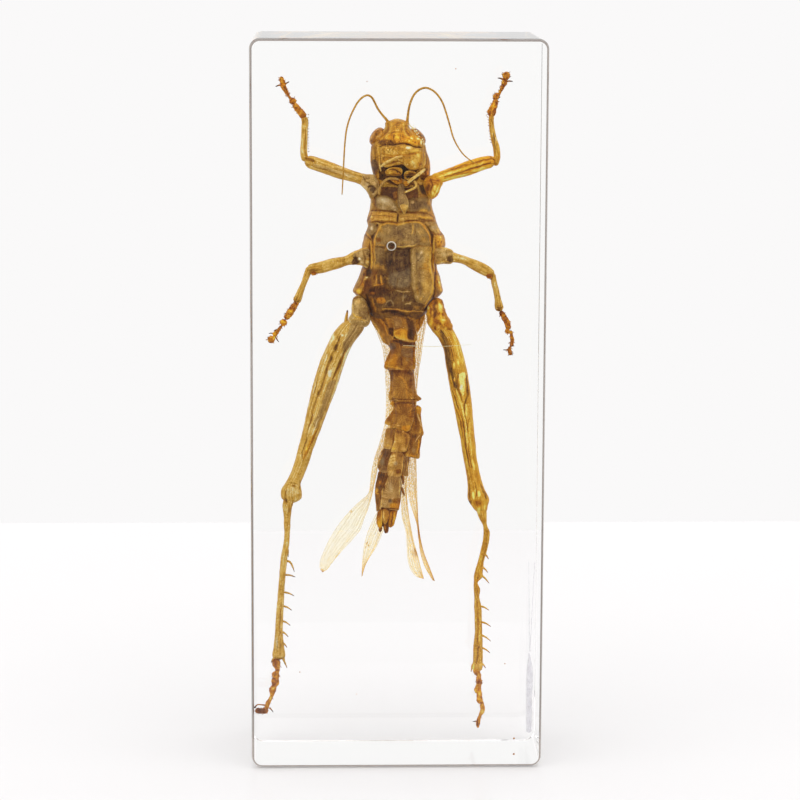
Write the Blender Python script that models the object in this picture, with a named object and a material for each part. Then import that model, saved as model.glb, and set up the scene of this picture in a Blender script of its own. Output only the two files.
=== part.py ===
"""A dried grasshopper cast in a standing clear resin block, modelled in metres with +Z up.

The block stands on its narrow end and the insect's underside faces -Y, the block's front.
The specimen is one solid. The casting is parted at mid-depth into a front and a back half,
each with its share of the pocket that the specimen lies in.
Sizes below are in millimetres and are scaled to metres when a mesh is made.
"""

import math

import bmesh
import bpy
from mathutils import Matrix, Vector

MM = 0.001
SHARP_ANGLE = math.radians(40.0)  # edges that turn more than this are shaded sharp

# The casting.
BLOCK_WIDTH = 44.0
BLOCK_DEPTH = 23.0
BLOCK_HEIGHT = 110.0
CORNER_RADIUS = 1.6  # the four corners of the big faces
FRONT_EDGE_RADIUS = 0.6  # the crisp rim of the front face
BACK_EDGE_RADIUS = 1.4  # the softer, polished rim of the back face
PARTING_GAP = 0.3
POCKET_CLEARANCE = 0.6

# Each limb or body part is a list of stations along it:
# x, y and z of its centre, half its width across the view and half its depth along Y.
HEAD = [
    (0.0, -0.4, 97.7, 0.8, 1.2),
    (0.05, -0.4, 96.8, 1.8, 2.2),
    (0.1, -0.4, 95.5, 3.1, 3.3),
    (0.1, -0.4, 94.0, 3.7, 3.9),
    (0.25, -0.3, 91.5, 4.1, 4.1),
    (0.4, 0.0, 89.0, 4.0, 3.9),
    (0.5, 0.3, 86.6, 3.7, 3.7),
]
PROTHORAX = [
    (0.5, 0.3, 88.2, 4.0, 3.8),
    (0.5, 0.4, 85.6, 4.4, 4.5),
    (0.7, 0.5, 82.4, 5.3, 5.2),
    (0.7, 0.5, 81.6, 4.6, 4.8),
]
PTEROTHORAX = [
    (0.9, 0.5, 82.2, 4.2, 4.6),
    (1.1, 0.5, 79.8, 6.0, 5.3),
    (0.6, 0.5, 78.3, 5.9, 5.4),
    (0.4, 0.5, 75.4, 5.6, 5.3),
    (0.1, 0.5, 71.6, 6.4, 5.0),
    (0.1, 0.4, 69.3, 5.4, 4.6),
    (0.1, 0.2, 66.6, 3.9, 3.8),
]
ABDOMEN = [
    (0.3, 0.4, 68.0, 3.2, 3.0),
    (0.5, 0.6, 64.3, 2.6, 2.7),
    (0.6, 0.6, 64.0, 2.0, 2.3),
    (0.9, 0.8, 60.1, 2.2, 2.4),
    (0.9, 0.8, 59.8, 1.8, 2.1),
    (1.0, 0.9, 55.4, 2.5, 2.2),
    (0.9, 0.9, 55.1, 1.5, 1.8),
    (0.9, 0.9, 51.3, 2.3, 2.1),
    (0.8, 0.9, 51.0, 1.7, 1.7),
    (0.7, 0.9, 47.3, 2.4, 2.0),
    (0.2, 0.9, 47.0, 1.7, 1.6),
    (-0.6, 0.8, 44.0, 2.2, 1.8),
    (-0.7, 0.8, 43.7, 1.9, 1.5),
    (-0.9, 0.7, 39.2, 2.1, 1.5),
    (-0.9, 0.6, 38.7, 1.6, 1.2),
    (-1.3, 0.5, 36.5, 1.3, 1.0),
    (-1.5, 0.4, 34.9, 0.5, 0.4),
]
LEFT_FORELEG = [
    (-3.0, -1.8, 88.3, 0.8, 0.8),
    (-7.0, -1.7, 89.3, 0.8, 0.7),
    (-11.8, -1.2, 91.05, 1.0, 0.8),
    (-13.6, -1.1, 92.0, 0.85, 0.7),
    (-13.9, -1.1, 93.6, 0.55, 0.5),
    (-13.9, -1.0, 97.5, 0.5, 0.5),
    (-14.3, -1.0, 98.3, 0.5, 0.5),
    (-15.5, -0.9, 100.0, 0.5, 0.5),
    (-15.8, -0.9, 100.7, 0.5, 0.5),
    (-16.2, -0.9, 101.0, 0.22, 0.25),
    (-17.0, -0.8, 102.6, 0.38, 0.35),
    (-17.5, -0.8, 104.0, 0.3, 0.3),
]
RIGHT_FORELEG = [
    (3.4, -1.8, 88.3, 0.9, 0.9),
    (8.0, -1.7, 89.3, 0.8, 0.7),
    (12.6, -1.2, 90.85, 1.0, 0.8),
    (14.4, -1.1, 91.8, 0.85, 0.7),
    (14.7, -1.1, 93.4, 0.5, 0.5),
    (14.0, -1.0, 97.3, 0.45, 0.5),
    (14.1, -1.0, 98.3, 0.55, 0.5),
    (14.6, -0.9, 100.3, 0.5, 0.5),
    (14.9, -0.9, 101.2, 0.5, 0.5),
    (15.3, -0.9, 101.6, 0.22, 0.25),
    (15.9, -0.8, 103.4, 0.4, 0.35),
    (16.1, -0.8, 104.7, 0.4, 0.35),
]
LEFT_MIDLEG = [
    (-4.9, -1.7, 77.1, 1.0, 0.9),
    (-7.0, -1.6, 76.4, 0.8, 0.8),
    (-9.6, -1.3, 75.8, 0.65, 0.65),
    (-12.0, -1.1, 75.1, 0.6, 0.6),
    (-13.5, -1.0, 74.8, 0.7, 0.6),
    (-15.0, -0.9, 70.3, 0.45, 0.5),
    (-15.4, -0.9, 69.6, 0.6, 0.5),
    (-16.6, -0.8, 67.6, 0.5, 0.5),
    (-17.1, -0.8, 66.9, 0.5, 0.5),
    (-17.5, -0.8, 66.5, 0.22, 0.25),
    (-18.4, -0.7, 65.2, 0.4, 0.35),
    (-19.0, -0.7, 64.2, 0.4, 0.35),
]
RIGHT_MIDLEG = [
    (6.4, -1.7, 77.4, 1.2, 1.0),
    (8.0, -1.6, 77.1, 0.9, 0.8),
    (9.8, -1.4, 76.7, 0.8, 0.7),
    (11.8, -1.2, 75.8, 0.65, 0.6),
    (14.1, -1.0, 74.7, 0.7, 0.6),
    (14.7, -1.0, 73.4, 0.45, 0.5),
    (15.6, -0.9, 69.0, 0.55, 0.5),
    (16.4, -0.8, 67.2, 0.45, 0.45),
    (16.9, -0.8, 66.0, 0.45, 0.45),
    (17.3, -0.8, 65.2, 0.3, 0.3),
    (17.3, -0.7, 63.4, 0.3, 0.3),
    (17.3, -0.7, 62.1, 0.25, 0.25),
]
LEFT_HINDLEG = [
    (-5.6, -1.3, 68.4, 1.5, 1.5),
    (-7.9, -1.3, 64.9, 1.9, 1.5),
    (-9.9, -1.3, 61.0, 1.6, 1.4),
    (-11.0, -1.3, 57.0, 1.6, 1.3),
    (-12.4, -1.2, 52.2, 1.3, 1.2),
    (-13.9, -1.2, 47.4, 0.95, 1.0),
    (-15.2, -1.1, 43.8, 1.0, 1.0),
    (-16.1, -1.1, 41.0, 1.55, 1.2),
    (-16.4, -1.1, 38.6, 0.9, 0.9),
    (-16.6, -1.0, 37.4, 0.55, 0.6),
    (-16.5, -1.0, 34.3, 0.45, 0.5),
    (-17.1, -1.0, 31.1, 0.6, 0.6),
    (-17.7, -0.9, 23.1, 0.5, 0.5),
    (-17.8, -0.9, 15.8, 0.8, 0.6),
    (-18.0, -0.8, 13.9, 0.6, 0.5),
    (-18.2, -0.8, 11.4, 0.5, 0.5),
    (-18.6, -0.8, 9.7, 0.5, 0.45),
    (-19.4, -0.7, 7.8, 0.25, 0.3),
    (-19.6, -0.7, 6.9, 0.45, 0.4),
    (-20.6, -0.7, 6.7, 0.4, 0.4),
]
RIGHT_HINDLEG = [
    (5.4, -1.3, 68.9, 1.3, 1.5),
    (7.6, -1.3, 65.1, 1.35, 1.5),
    (8.8, -1.3, 61.2, 1.25, 1.4),
    (9.6, -1.3, 57.2, 1.3, 1.3),
    (10.4, -1.2, 52.6, 1.15, 1.2),
    (11.2, -1.2, 48.0, 0.9, 1.0),
    (11.8, -1.1, 44.0, 0.85, 1.0),
    (12.6, -1.1, 40.5, 1.6, 1.2),
    (12.8, -1.1, 38.4, 0.9, 0.9),
    (13.5, -1.0, 36.0, 0.35, 0.45),
    (13.8, -1.0, 34.2, 0.5, 0.55),
    (12.6, -0.9, 28.0, 0.4, 0.5),
    (12.6, -0.9, 20.9, 0.55, 0.5),
    (12.7, -0.9, 13.4, 0.75, 0.6),
    (13.0, -0.8, 11.6, 0.5, 0.5),
    (13.1, -0.8, 10.0, 0.5, 0.5),
    (13.3, -0.8, 8.2, 0.4, 0.4),
    (13.8, -0.7, 6.6, 0.38, 0.35),
    (13.1, -0.7, 3.5, 0.35, 0.3),
]
LEFT_ANTENNA = [
    (-1.1, -0.6, 97.0, 0.25, 0.25),
    (-2.8, -0.8, 99.0, 0.19, 0.19),
    (-3.8, -1.0, 100.9, 0.18, 0.18),
    (-4.5, -1.2, 101.3, 0.18, 0.18),
    (-6.0, -1.6, 100.2, 0.17, 0.17),
    (-7.0, -2.0, 98.4, 0.16, 0.16),
    (-7.8, -2.6, 94.7, 0.15, 0.15),
    (-8.1, -3.2, 90.1, 0.13, 0.13),
    (-8.3, -3.4, 86.3, 0.1, 0.1),
]
RIGHT_ANTENNA = [
    (1.3, -0.6, 96.9, 0.25, 0.25),
    (1.5, -0.8, 98.3, 0.19, 0.19),
    (2.0, -1.0, 100.4, 0.18, 0.18),
    (3.0, -1.1, 102.0, 0.18, 0.18),
    (4.1, -1.2, 102.4, 0.18, 0.18),
    (5.4, -1.3, 101.8, 0.17, 0.17),
    (6.7, -1.5, 100.3, 0.16, 0.16),
    (7.8, -2.0, 96.8, 0.15, 0.15),
    (8.8, -2.4, 94.0, 0.14, 0.14),
    (10.7, -2.8, 91.8, 0.12, 0.12),
    (12.5, -3.0, 90.7, 0.1, 0.1),
]
PALPS = {
    "left_upper_palp": [
        (-2.7, -3.6, 90.7, 0.2, 0.2), (-1.1, -4.5, 91.8, 0.2, 0.2), (0.6, -4.7, 92.3, 0.17, 0.17),
    ],
    "right_upper_palp": [
        (4.0, -3.4, 89.9, 0.25, 0.25), (2.9, -4.2, 89.4, 0.22, 0.22), (1.5, -4.5, 88.3, 0.2, 0.2),
    ],
    "right_lower_palp": [
        (2.3, -3.0, 88.3, 0.2, 0.2), (2.6, -4.2, 87.6, 0.2, 0.2), (1.1, -4.6, 86.8, 0.17, 0.17),
    ],
    "left_lower_palp": [
        (-1.2, -3.2, 88.8, 0.2, 0.2), (-2.6, -4.2, 87.8, 0.2, 0.2), (-2.8, -4.6, 86.7, 0.17, 0.17),
    ],
}
BREAST_SPINE = [(0.5, -3.0, 86.4, 0.7, 0.7), (0.9, -4.6, 85.0, 0.9, 0.6), (1.1, -5.0, 83.5, 0.15, 0.15)]

# The pairs of claws at the ends of the feet.
CLAWS = [
    [(-17.0, -0.8, 103.0, 0.18, 0.18), (-18.1, -0.8, 102.5, 0.08, 0.08)],
    [(-17.1, -0.8, 102.7, 0.18, 0.18), (-16.1, -0.8, 103.1, 0.08, 0.08)],
    [(15.9, -0.8, 103.6, 0.18, 0.18), (15.0, -0.8, 103.9, 0.08, 0.08)],
    [(16.0, -0.8, 103.6, 0.18, 0.18), (17.1, -0.8, 103.3, 0.08, 0.08)],
    [(-18.5, -0.7, 65.2, 0.18, 0.18), (-19.4, -0.7, 65.4, 0.08, 0.08)],
    [(-18.6, -0.7, 64.7, 0.18, 0.18), (-17.7, -0.7, 64.1, 0.08, 0.08)],
    [(17.3, -0.7, 63.0, 0.18, 0.18), (16.1, -0.7, 62.8, 0.08, 0.08)],
    [(-19.4, -0.7, 7.2, 0.18, 0.18), (-18.7, -0.7, 6.6, 0.08, 0.08)],
    [(-19.6, -0.7, 7.3, 0.18, 0.18), (-20.5, -0.7, 7.6, 0.08, 0.08)],
    [(13.2, -0.7, 4.0, 0.18, 0.18), (12.3, -0.7, 4.7, 0.08, 0.08)],
]

# Rounded lumps: centre and half-sizes.
SIDE_LUMPS = {
    "left_eye": ((-3.1, 0.4, 95.2), (1.1, 1.8, 1.25)),
    "right_eye": ((3.2, 0.4, 95.1), (1.1, 1.8, 1.25)),
    "left_front_hip": ((-4.1, -1.9, 86.9), (1.1, 1.5, 1.4)),
    "right_front_hip": ((5.1, -1.9, 87.1), (1.5, 1.5, 1.6)),
    "left_middle_hip": ((-5.2, -1.8, 76.9), (1.4, 1.7, 1.5)),
    "right_middle_hip": ((6.2, -1.8, 77.4), (1.4, 1.7, 1.5)),
    "left_hind_hip": ((-5.3, -1.5, 69.5), (1.6, 2.0, 2.1)),
    "right_hind_hip": ((5.6, -1.5, 69.6), (1.5, 2.0, 2.2)),
}
FACE_LUMPS = {
    "face_plate": ((0.7, -3.7, 93.4), (2.2, 0.8, 1.0)),
    "right_lip": ((1.9, -3.8, 91.2), (1.9, 1.0, 1.6)),
    "left_lip": ((-1.0, -3.7, 91.0), (1.8, 0.9, 1.4)),
    "left_jaw": ((-0.8, -3.5, 89.4), (1.5, 0.9, 0.9)),
    "right_jaw": ((1.9, -3.5, 89.2), (1.2, 0.9, 0.9)),
}

# Wing blades: the depth of their middle and their outline as x, z.
WING_THICKNESS = 0.25
WINGS = [
    (
        3.7,
        [
            (-3.0, 69.0), (-2.6, 64.8), (-1.7, 59.6), (-1.3, 55.0), (-1.8, 51.4), (-3.8, 44.7),
            (-4.1, 41.0), (-7.0, 38.1), (-9.5, 34.5), (-11.1, 31.9), (-11.6, 30.4), (-11.3, 28.8),
            (-10.7, 28.8), (-8.9, 31.5), (-7.0, 33.4), (-5.2, 35.5), (-3.7, 38.7), (-1.5, 45.0),
            (0.3, 55.0), (0.3, 69.0),
        ],
    ),
    (
        3.3,
        [
            (-1.6, 69.0), (-0.6, 55.0), (-1.0, 46.0), (-2.8, 37.9), (-4.1, 35.7), (-5.0, 31.9),
            (-5.2, 27.9), (-4.3, 30.4), (-2.8, 32.6), (-1.5, 34.9), (0.0, 42.0), (0.6, 55.0),
            (0.6, 69.0),
        ],
    ),
    (
        3.5,
        [
            (0.8, 69.0), (0.8, 50.0), (0.9, 39.4), (1.7, 34.7), (1.7, 30.9), (2.8, 28.3),
            (4.3, 27.6), (3.2, 32.0), (2.2, 37.0), (2.6, 50.0), (3.0, 69.0),
        ],
    ),
    (
        3.9,
        [
            (4.2, 69.0), (4.1, 66.0), (3.7, 62.5), (3.1, 58.0), (2.8, 55.0), (3.1, 44.5),
            (3.2, 39.4), (3.6, 35.0), (4.3, 31.8), (5.9, 27.3), (5.2, 27.6), (3.5, 32.0),
            (2.9, 37.0), (2.0, 42.0), (1.4, 50.0), (1.4, 69.0),
        ],
    ),
]

# Spines of the hind shins: root and tip as x, z. All lie at one depth.
SPINE_RADIUS = 0.2
SPINE_TIP_RADIUS = 0.05
SHIN_DEPTH = -0.95
SPINES = [
    ((-17.0, 30.3), (-15.5, 28.7)), ((-17.0, 28.2), (-15.3, 27.9)), ((-17.2, 25.5), (-15.6, 24.9)),
    ((-17.4, 23.2), (-15.8, 22.6)), ((-17.5, 21.0), (-16.1, 20.3)), ((-17.5, 19.2), (-16.4, 18.5)),
    ((-17.5, 17.6), (-16.6, 16.8)), ((-17.8, 15.6), (-19.0, 14.8)), ((-17.6, 15.4), (-16.6, 13.6)),
    ((13.4, 31.3), (14.2, 30.6)), ((13.0, 29.1), (14.0, 28.5)), ((12.8, 27.7), (14.2, 26.8)),
    ((12.8, 23.2), (14.3, 22.6)), ((12.8, 20.7), (14.6, 20.1)), ((12.9, 18.6), (14.6, 17.8)),
    ((12.9, 16.7), (14.5, 15.9)), ((12.9, 14.3), (14.2, 13.2)),
]

LIMBS = {
    "left_foreleg": LEFT_FORELEG,
    "right_foreleg": RIGHT_FORELEG,
    "left_midleg": LEFT_MIDLEG,
    "right_midleg": RIGHT_MIDLEG,
    "left_hindleg": LEFT_HINDLEG,
    "right_hindleg": RIGHT_HINDLEG,
}

# The part of the pocket in front of the head, for the face, the palps and the breast spine.
MOUTH_POCKET = [
    (0.6, -2.6, 94.6, 2.8, 2.2),
    (0.6, -2.6, 92.5, 3.6, 2.6),
    (0.6, -2.7, 86.4, 3.7, 2.6),
    (1.0, -2.7, 83.4, 1.4, 2.6),
]

# The part of the pocket round the wings: front and back depth and outline as x, z.
WING_POCKET_FRONT = -0.5
WING_POCKET_BACK = 4.5
LEFT_WING_POCKET = [
    (0.5, 67.5), (-3.2, 67.5), (-2.2, 55.0), (-4.6, 44.0), (-5.3, 41.3), (-10.4, 35.4), (-12.2, 30.8),
    (-11.7, 28.2), (-10.2, 28.3), (-5.8, 33.6), (-5.8, 27.2), (-4.8, 27.2), (-1.0, 34.2), (1.5, 42.0),
]
RIGHT_WING_POCKET = [
    (0.0, 67.5), (4.7, 67.5), (3.6, 57.0), (3.8, 44.0), (4.4, 33.5), (6.8, 26.8), (4.0, 26.8),
    (2.1, 28.0), (1.1, 30.5), (1.1, 34.5), (0.0, 40.0),
]


def clear_scene():
    """Removes whatever the opened file holds."""
    for old in list(bpy.data.objects):
        bpy.data.objects.remove(old, do_unlink=True)


def make_material(name, colour, roughness, **inputs):
    """A Principled material. Keyword arguments name further inputs, with spaces as underscores."""
    material = bpy.data.materials.new(name)
    material.use_nodes = True
    shader = material.node_tree.nodes["Principled BSDF"]
    shader.inputs["Base Color"].default_value = (*colour, 1.0)
    shader.inputs["Roughness"].default_value = roughness
    for key, value in inputs.items():
        shader.inputs[key.replace("_", " ")].default_value = value
    return material


def make_object(name, bm, material=None):
    """Closes off a bmesh in millimetres as a named object in metres, with its faces turned out."""
    bmesh.ops.recalc_face_normals(bm, faces=bm.faces)
    bmesh.ops.scale(bm, vec=(MM, MM, MM), verts=bm.verts)
    mesh = bpy.data.meshes.new(name)
    bm.to_mesh(mesh)
    bm.free()
    mesh.shade_smooth()
    mesh.set_sharp_from_angle(angle=SHARP_ANGLE)
    if material:
        mesh.materials.append(material)
    made = bpy.data.objects.new(name, mesh)
    bpy.context.collection.objects.link(made)
    return made


def make_helper(name, bm, collection):
    """A helper object that a Boolean reads from its collection and that is never rendered."""
    helper = make_object(name, bm)
    helper.hide_render = True
    helper.display_type = "WIRE"
    bpy.context.collection.objects.unlink(helper)
    collection.objects.link(helper)


def section_matrices(stations):
    """One matrix for each station: X across the limb, Y along the block's depth, Z along the limb."""
    centres = [Vector(station[:3]) for station in stations]
    matrices = []
    for i, centre in enumerate(centres):
        before, after = centres[max(i - 1, 0)], centres[min(i + 1, len(centres) - 1)]
        along = (after - before).normalized()
        across = along.cross(Vector((0, 1, 0))).normalized()
        deep = along.cross(across)
        turn = Matrix((across, deep, along)).transposed().to_4x4()
        matrices.append(Matrix.Translation(centre) @ turn)
    return matrices


def add_limb(bm, stations, sides):
    """Adds a closed tube with elliptical sections through the stations."""
    rings = []
    for station, place in zip(stations, section_matrices(stations)):
        size = Matrix.Diagonal((station[3], station[4], 1.0, 1.0))
        made = bmesh.ops.create_circle(bm, segments=sides, radius=1.0, matrix=place @ size)
        rings.append(made["verts"])
    join_rings(bm, rings)


def add_slot(bm, stations, clearance):
    """Adds a closed rectangular channel that clears the stations and crosses the parting plane."""
    first = shifted_end(stations[0], stations[1], clearance)
    last = shifted_end(stations[-1], stations[-2], clearance)
    stations = [first, *stations[1:-1], last]
    rings = []
    for (x, y, z, half_width, half_depth), place in zip(stations, section_matrices(stations)):
        front = min(y - half_depth, 0.0) - clearance - y
        back = max(y + half_depth, 0.0) + clearance - y
        side = half_width + clearance
        across = place.col[0].to_3d()
        corners = ((-side, front), (side, front), (side, back), (-side, back))
        rings.append([bm.verts.new(Vector((x, y + dy, z)) + across * dx) for dx, dy in corners])
    join_rings(bm, rings)


def shifted_end(station, neighbour, distance):
    """The end station moved outwards along the limb."""
    away = (Vector(station[:3]) - Vector(neighbour[:3])).normalized() * distance
    return (*(Vector(station[:3]) + away), *station[3:])


def join_rings(bm, rings):
    """Bridges each ring of points to the next and caps both ends."""
    for ring, following in zip(rings, rings[1:]):
        for i in range(len(ring)):
            j = (i + 1) % len(ring)
            bm.faces.new((ring[i], ring[j], following[j], following[i]))
    bm.faces.new(rings[0])
    bm.faces.new(rings[-1])


def add_lump(bm, centre, half_sizes):
    """Adds an ellipsoid."""
    place = Matrix.Translation(centre) @ Matrix.Diagonal((*half_sizes, 1.0))
    bmesh.ops.create_uvsphere(bm, u_segments=12, v_segments=7, radius=1.0, matrix=place)


def add_plate(bm, outline, front, back):
    """Adds a flat plate with the given outline, from its front to its back depth."""
    face = bm.faces.new([bm.verts.new((x, front, z)) for x, z in outline])
    made = bmesh.ops.extrude_face_region(bm, geom=[face])
    moved = [item for item in made["geom"] if isinstance(item, bmesh.types.BMVert)]
    bmesh.ops.translate(bm, vec=(0, back - front, 0), verts=moved)


def body_stations():
    """Every tube of the insect: its name, its stations and how many sides it has."""
    tubes = [("head", HEAD, 16), ("prothorax", PROTHORAX, 16), ("pterothorax", PTEROTHORAX, 16)]
    tubes += [("abdomen", ABDOMEN, 12), ("breast_spine", BREAST_SPINE, 8)]
    tubes += [("left_antenna", LEFT_ANTENNA, 6), ("right_antenna", RIGHT_ANTENNA, 6)]
    tubes += [(name, stations, 8) for name, stations in LIMBS.items()]
    tubes += [(name, stations, 6) for name, stations in PALPS.items()]
    tubes += [(f"claw_{i}", stations, 5) for i, stations in enumerate(CLAWS)]
    for i, (root, tip) in enumerate(SPINES):
        ends = [
            (root[0], SHIN_DEPTH, root[1], SPINE_RADIUS, SPINE_RADIUS),
            (tip[0], SHIN_DEPTH, tip[1], SPINE_TIP_RADIUS, SPINE_TIP_RADIUS),
        ]
        tubes.append((f"shin_spine_{i}", ends, 5))
    return tubes


def helper_collection(name):
    """A collection of helper objects that one Boolean reads."""
    collection = bpy.data.collections.new(name)
    bpy.context.scene.collection.children.link(collection)
    return collection


def add_boolean(target, operation, helpers):
    """Joins or cuts a whole collection of helpers with one exact Boolean."""
    boolean = target.modifiers.new(operation.lower(), "BOOLEAN")
    boolean.operation = operation
    boolean.solver = "EXACT"
    boolean.operand_type = "COLLECTION"
    boolean.collection = helpers
    boolean.use_self = True


def make_specimen(material):
    """The whole insect: every part is joined to the thorax, which leaves one solid."""
    parts = helper_collection("specimen_parts")
    core = None
    for name, stations, sides in body_stations():
        bm = bmesh.new()
        add_limb(bm, stations, sides)
        if name == "pterothorax":
            core = make_object("grasshopper", bm, material)
        else:
            make_helper(name, bm, parts)
    for name, (centre, half_sizes) in {**SIDE_LUMPS, **FACE_LUMPS}.items():
        bm = bmesh.new()
        add_lump(bm, centre, half_sizes)
        make_helper(name, bm, parts)
    for i, (middle, outline) in enumerate(WINGS):
        bm = bmesh.new()
        add_plate(bm, outline, middle - WING_THICKNESS / 2, middle + WING_THICKNESS / 2)
        make_helper(f"wing_{i}", bm, parts)
    add_boolean(core, "UNION", parts)
    return core


def make_pocket():
    """The cutters for the space round the insect. Each one crosses the parting plane."""
    pocket = helper_collection("pocket_cutters")
    in_mouth = ("breast_spine", *PALPS)
    slots = {name: stations for name, stations, _ in body_stations() if name not in in_mouth}
    slots["abdomen"] = [ABDOMEN[0], *ABDOMEN[1::2], ABDOMEN[-1]]  # the flared rims alone
    slots["mouth"] = MOUTH_POCKET
    for name, ((x, y, z), (half_width, half_depth, half_height)) in SIDE_LUMPS.items():
        slots[name] = [(x, y, z + side * half_height, half_width, half_depth) for side in (1, -1)]
    for name, stations in slots.items():
        bm = bmesh.new()
        add_slot(bm, stations, POCKET_CLEARANCE)
        make_helper(f"{name}_slot", bm, pocket)
    for name, outline in (("left_wing", LEFT_WING_POCKET), ("right_wing", RIGHT_WING_POCKET)):
        bm = bmesh.new()
        add_plate(bm, outline, WING_POCKET_FRONT, WING_POCKET_BACK)
        make_helper(f"{name}_slot", bm, pocket)
    return pocket


def make_half(name, side, edge_radius, pocket, material):
    """One half of the casting. side is -1 for the front and 1 for the back."""
    bm = bmesh.new()
    depth = (BLOCK_DEPTH - PARTING_GAP) / 2
    middle = side * (PARTING_GAP + depth) / 2
    place = Matrix.Translation((0, middle, BLOCK_HEIGHT / 2))
    size = Matrix.Diagonal((BLOCK_WIDTH, depth, BLOCK_HEIGHT, 1))
    bmesh.ops.create_cube(bm, size=1, matrix=place @ size)
    corners = [edge for edge in bm.edges if abs(edge.verts[0].co.y - edge.verts[1].co.y) > depth / 2]
    bmesh.ops.bevel(bm, geom=corners, offset=CORNER_RADIUS, segments=4, profile=0.5, affect="EDGES")
    outer = side * BLOCK_DEPTH / 2
    rim = [edge for edge in bm.edges if all(abs(vert.co.y - outer) < 0.01 for vert in edge.verts)]
    bmesh.ops.bevel(bm, geom=rim, offset=edge_radius, segments=3, profile=0.5, affect="EDGES")
    half = make_object(name, bm, material)
    add_boolean(half, "DIFFERENCE", pocket)
    return half


def main():
    """Builds the casting's two halves and the specimen between them."""
    clear_scene()
    resin = make_material("clear_resin", (1.0, 1.0, 1.0), 0.02, Transmission_Weight=1.0, IOR=1.52)
    shell = make_material("insect_shell", (0.42, 0.24, 0.05), 0.45)
    pocket = make_pocket()
    make_half("resin_front", -1, FRONT_EDGE_RADIUS, pocket, resin)
    make_half("resin_back", 1, BACK_EDGE_RADIUS, pocket, resin)
    make_specimen(shell)


main()
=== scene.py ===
"""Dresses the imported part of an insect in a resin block: a dried grasshopper in a clear casting.

Lengths in the tables are millimetres in the part's frame: x to the right, y into the block and z up, with the
front face at minus half the depth. The insect's tables give x and z as the camera sees them on the block's
middle plane. sighted() then moves each point along the line of sight to its own depth.
"""

import logging
import math
from dataclasses import dataclass, field
from enum import Enum
from functools import cache
from typing import Callable, ClassVar

import bpy
import numpy as np
from mathutils import Matrix


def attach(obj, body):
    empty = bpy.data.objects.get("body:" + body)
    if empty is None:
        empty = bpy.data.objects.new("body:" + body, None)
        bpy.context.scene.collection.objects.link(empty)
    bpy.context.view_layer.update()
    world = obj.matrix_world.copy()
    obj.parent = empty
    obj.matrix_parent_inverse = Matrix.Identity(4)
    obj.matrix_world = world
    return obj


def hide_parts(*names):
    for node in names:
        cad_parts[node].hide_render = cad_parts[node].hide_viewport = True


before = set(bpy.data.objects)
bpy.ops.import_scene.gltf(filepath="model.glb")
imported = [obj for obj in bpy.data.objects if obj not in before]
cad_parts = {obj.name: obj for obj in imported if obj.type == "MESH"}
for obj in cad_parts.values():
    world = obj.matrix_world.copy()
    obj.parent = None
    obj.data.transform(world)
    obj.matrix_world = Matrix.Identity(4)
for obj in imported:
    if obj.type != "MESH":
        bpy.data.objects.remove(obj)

MM = 0.001
LATTICE = 4096  # how many values a random field repeats, a power of two
PRIMES = np.array((73856093, 19349663, 83492791))  # these scatter a cell's place over those values
LOG = logging.getLogger("grasshopper_block")
Array = np.ndarray
Table = list[tuple[float, ...]]
Ground = Callable[[Array, Array], Array]
Ramp = tuple[tuple[float, tuple[int, int, int]], ...]  # positions and display colours


# ---------------------------------------------------------------- curves and skins


def smooth(points: Array, marks: Array, at: Array) -> Array:
    """Reads a smooth path through points at given distances along it.

    Each span is the cubic that meets both its points with the slopes weighted from their neighbours.

    Args:
        points: The points to pass through, one row each.
        marks: How far along the path each of them lies.
        at: The distances to read.

    Returns:
        The points read, one row for each distance.
    """
    slopes = np.gradient(points, marks, axis=0)
    i = np.clip(np.searchsorted(marks, at, side="right") - 1, 0, len(marks) - 2)
    span = (marks[i + 1] - marks[i])[:, None]
    t = (at - marks[i])[:, None] / span
    start = (1 + 2 * t) * (1 - t) ** 2 * points[i] + t * (1 - t) ** 2 * span * slopes[i]
    return start + t * t * (3 - 2 * t) * points[i + 1] + t * t * (t - 1) * span * slopes[i + 1]


def curve(knots: Table, count: int, ends: float = 0.0) -> Array:
    """Carries a smooth path through knots, measured along the straight steps between them.

    The rows are spread evenly, or drawn in towards both ends.

    Args:
        knots: The points to pass through, one tuple each.
        count: How many points to return.
        ends: 0 spreads the points evenly and 0.9 gathers them strongly at both ends.

    Returns:
        The points, count rows of as many columns as a knot has.
    """
    points = np.asarray(knots, float)
    steps = np.maximum(np.linalg.norm(np.diff(points[:, :3], axis=0), axis=1), 1e-6)
    marks = np.concatenate(([0.0], np.cumsum(steps)))
    turn = np.linspace(0.0, 1.0, count)
    return smooth(points, marks, marks[-1] * (turn - ends * np.sin(2 * np.pi * turn) / (2 * np.pi)))


def ripple(points: Array, size: float, seed: int) -> Array:
    """Smooth random field: seeded values on a lattice of the given size, blended across each cell.

    Args:
        points: Places to read, with x, y and z in the last axis.
        size: Edge of one lattice cell in millimetres.
        seed: Picks the lattice's values.

    Returns:
        Values between -1 and 1, one for each point.
    """
    values = np.random.default_rng(seed).uniform(-1.0, 1.0, LATTICE)
    cell = points / size
    low = np.floor(cell).astype(np.int64)
    t = cell - low
    t = t * t * (3.0 - 2.0 * t)
    total = np.zeros(points.shape[:-1])
    for corner in np.ndindex(2, 2, 2):
        x, y, z = np.moveaxis((low + np.array(corner)) * PRIMES, -1, 0)
        index = (x ^ y ^ z) & (LATTICE - 1)
        weight = np.prod(np.where(np.array(corner) == 1, t, 1.0 - t), axis=-1)
        total += values[index] * weight
    return total


def sighted(points: Array) -> Array:
    """Moves points drawn on the middle plane along the camera's line of sight to their own depth."""
    x, y, z = points[..., 0], points[..., 1], points[..., 2]
    reach = y / Camera.APPARENT_REACH
    return np.stack((x + reach * (x - Camera.X), y, z + reach * (z - Camera.Z)), axis=-1)


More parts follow.
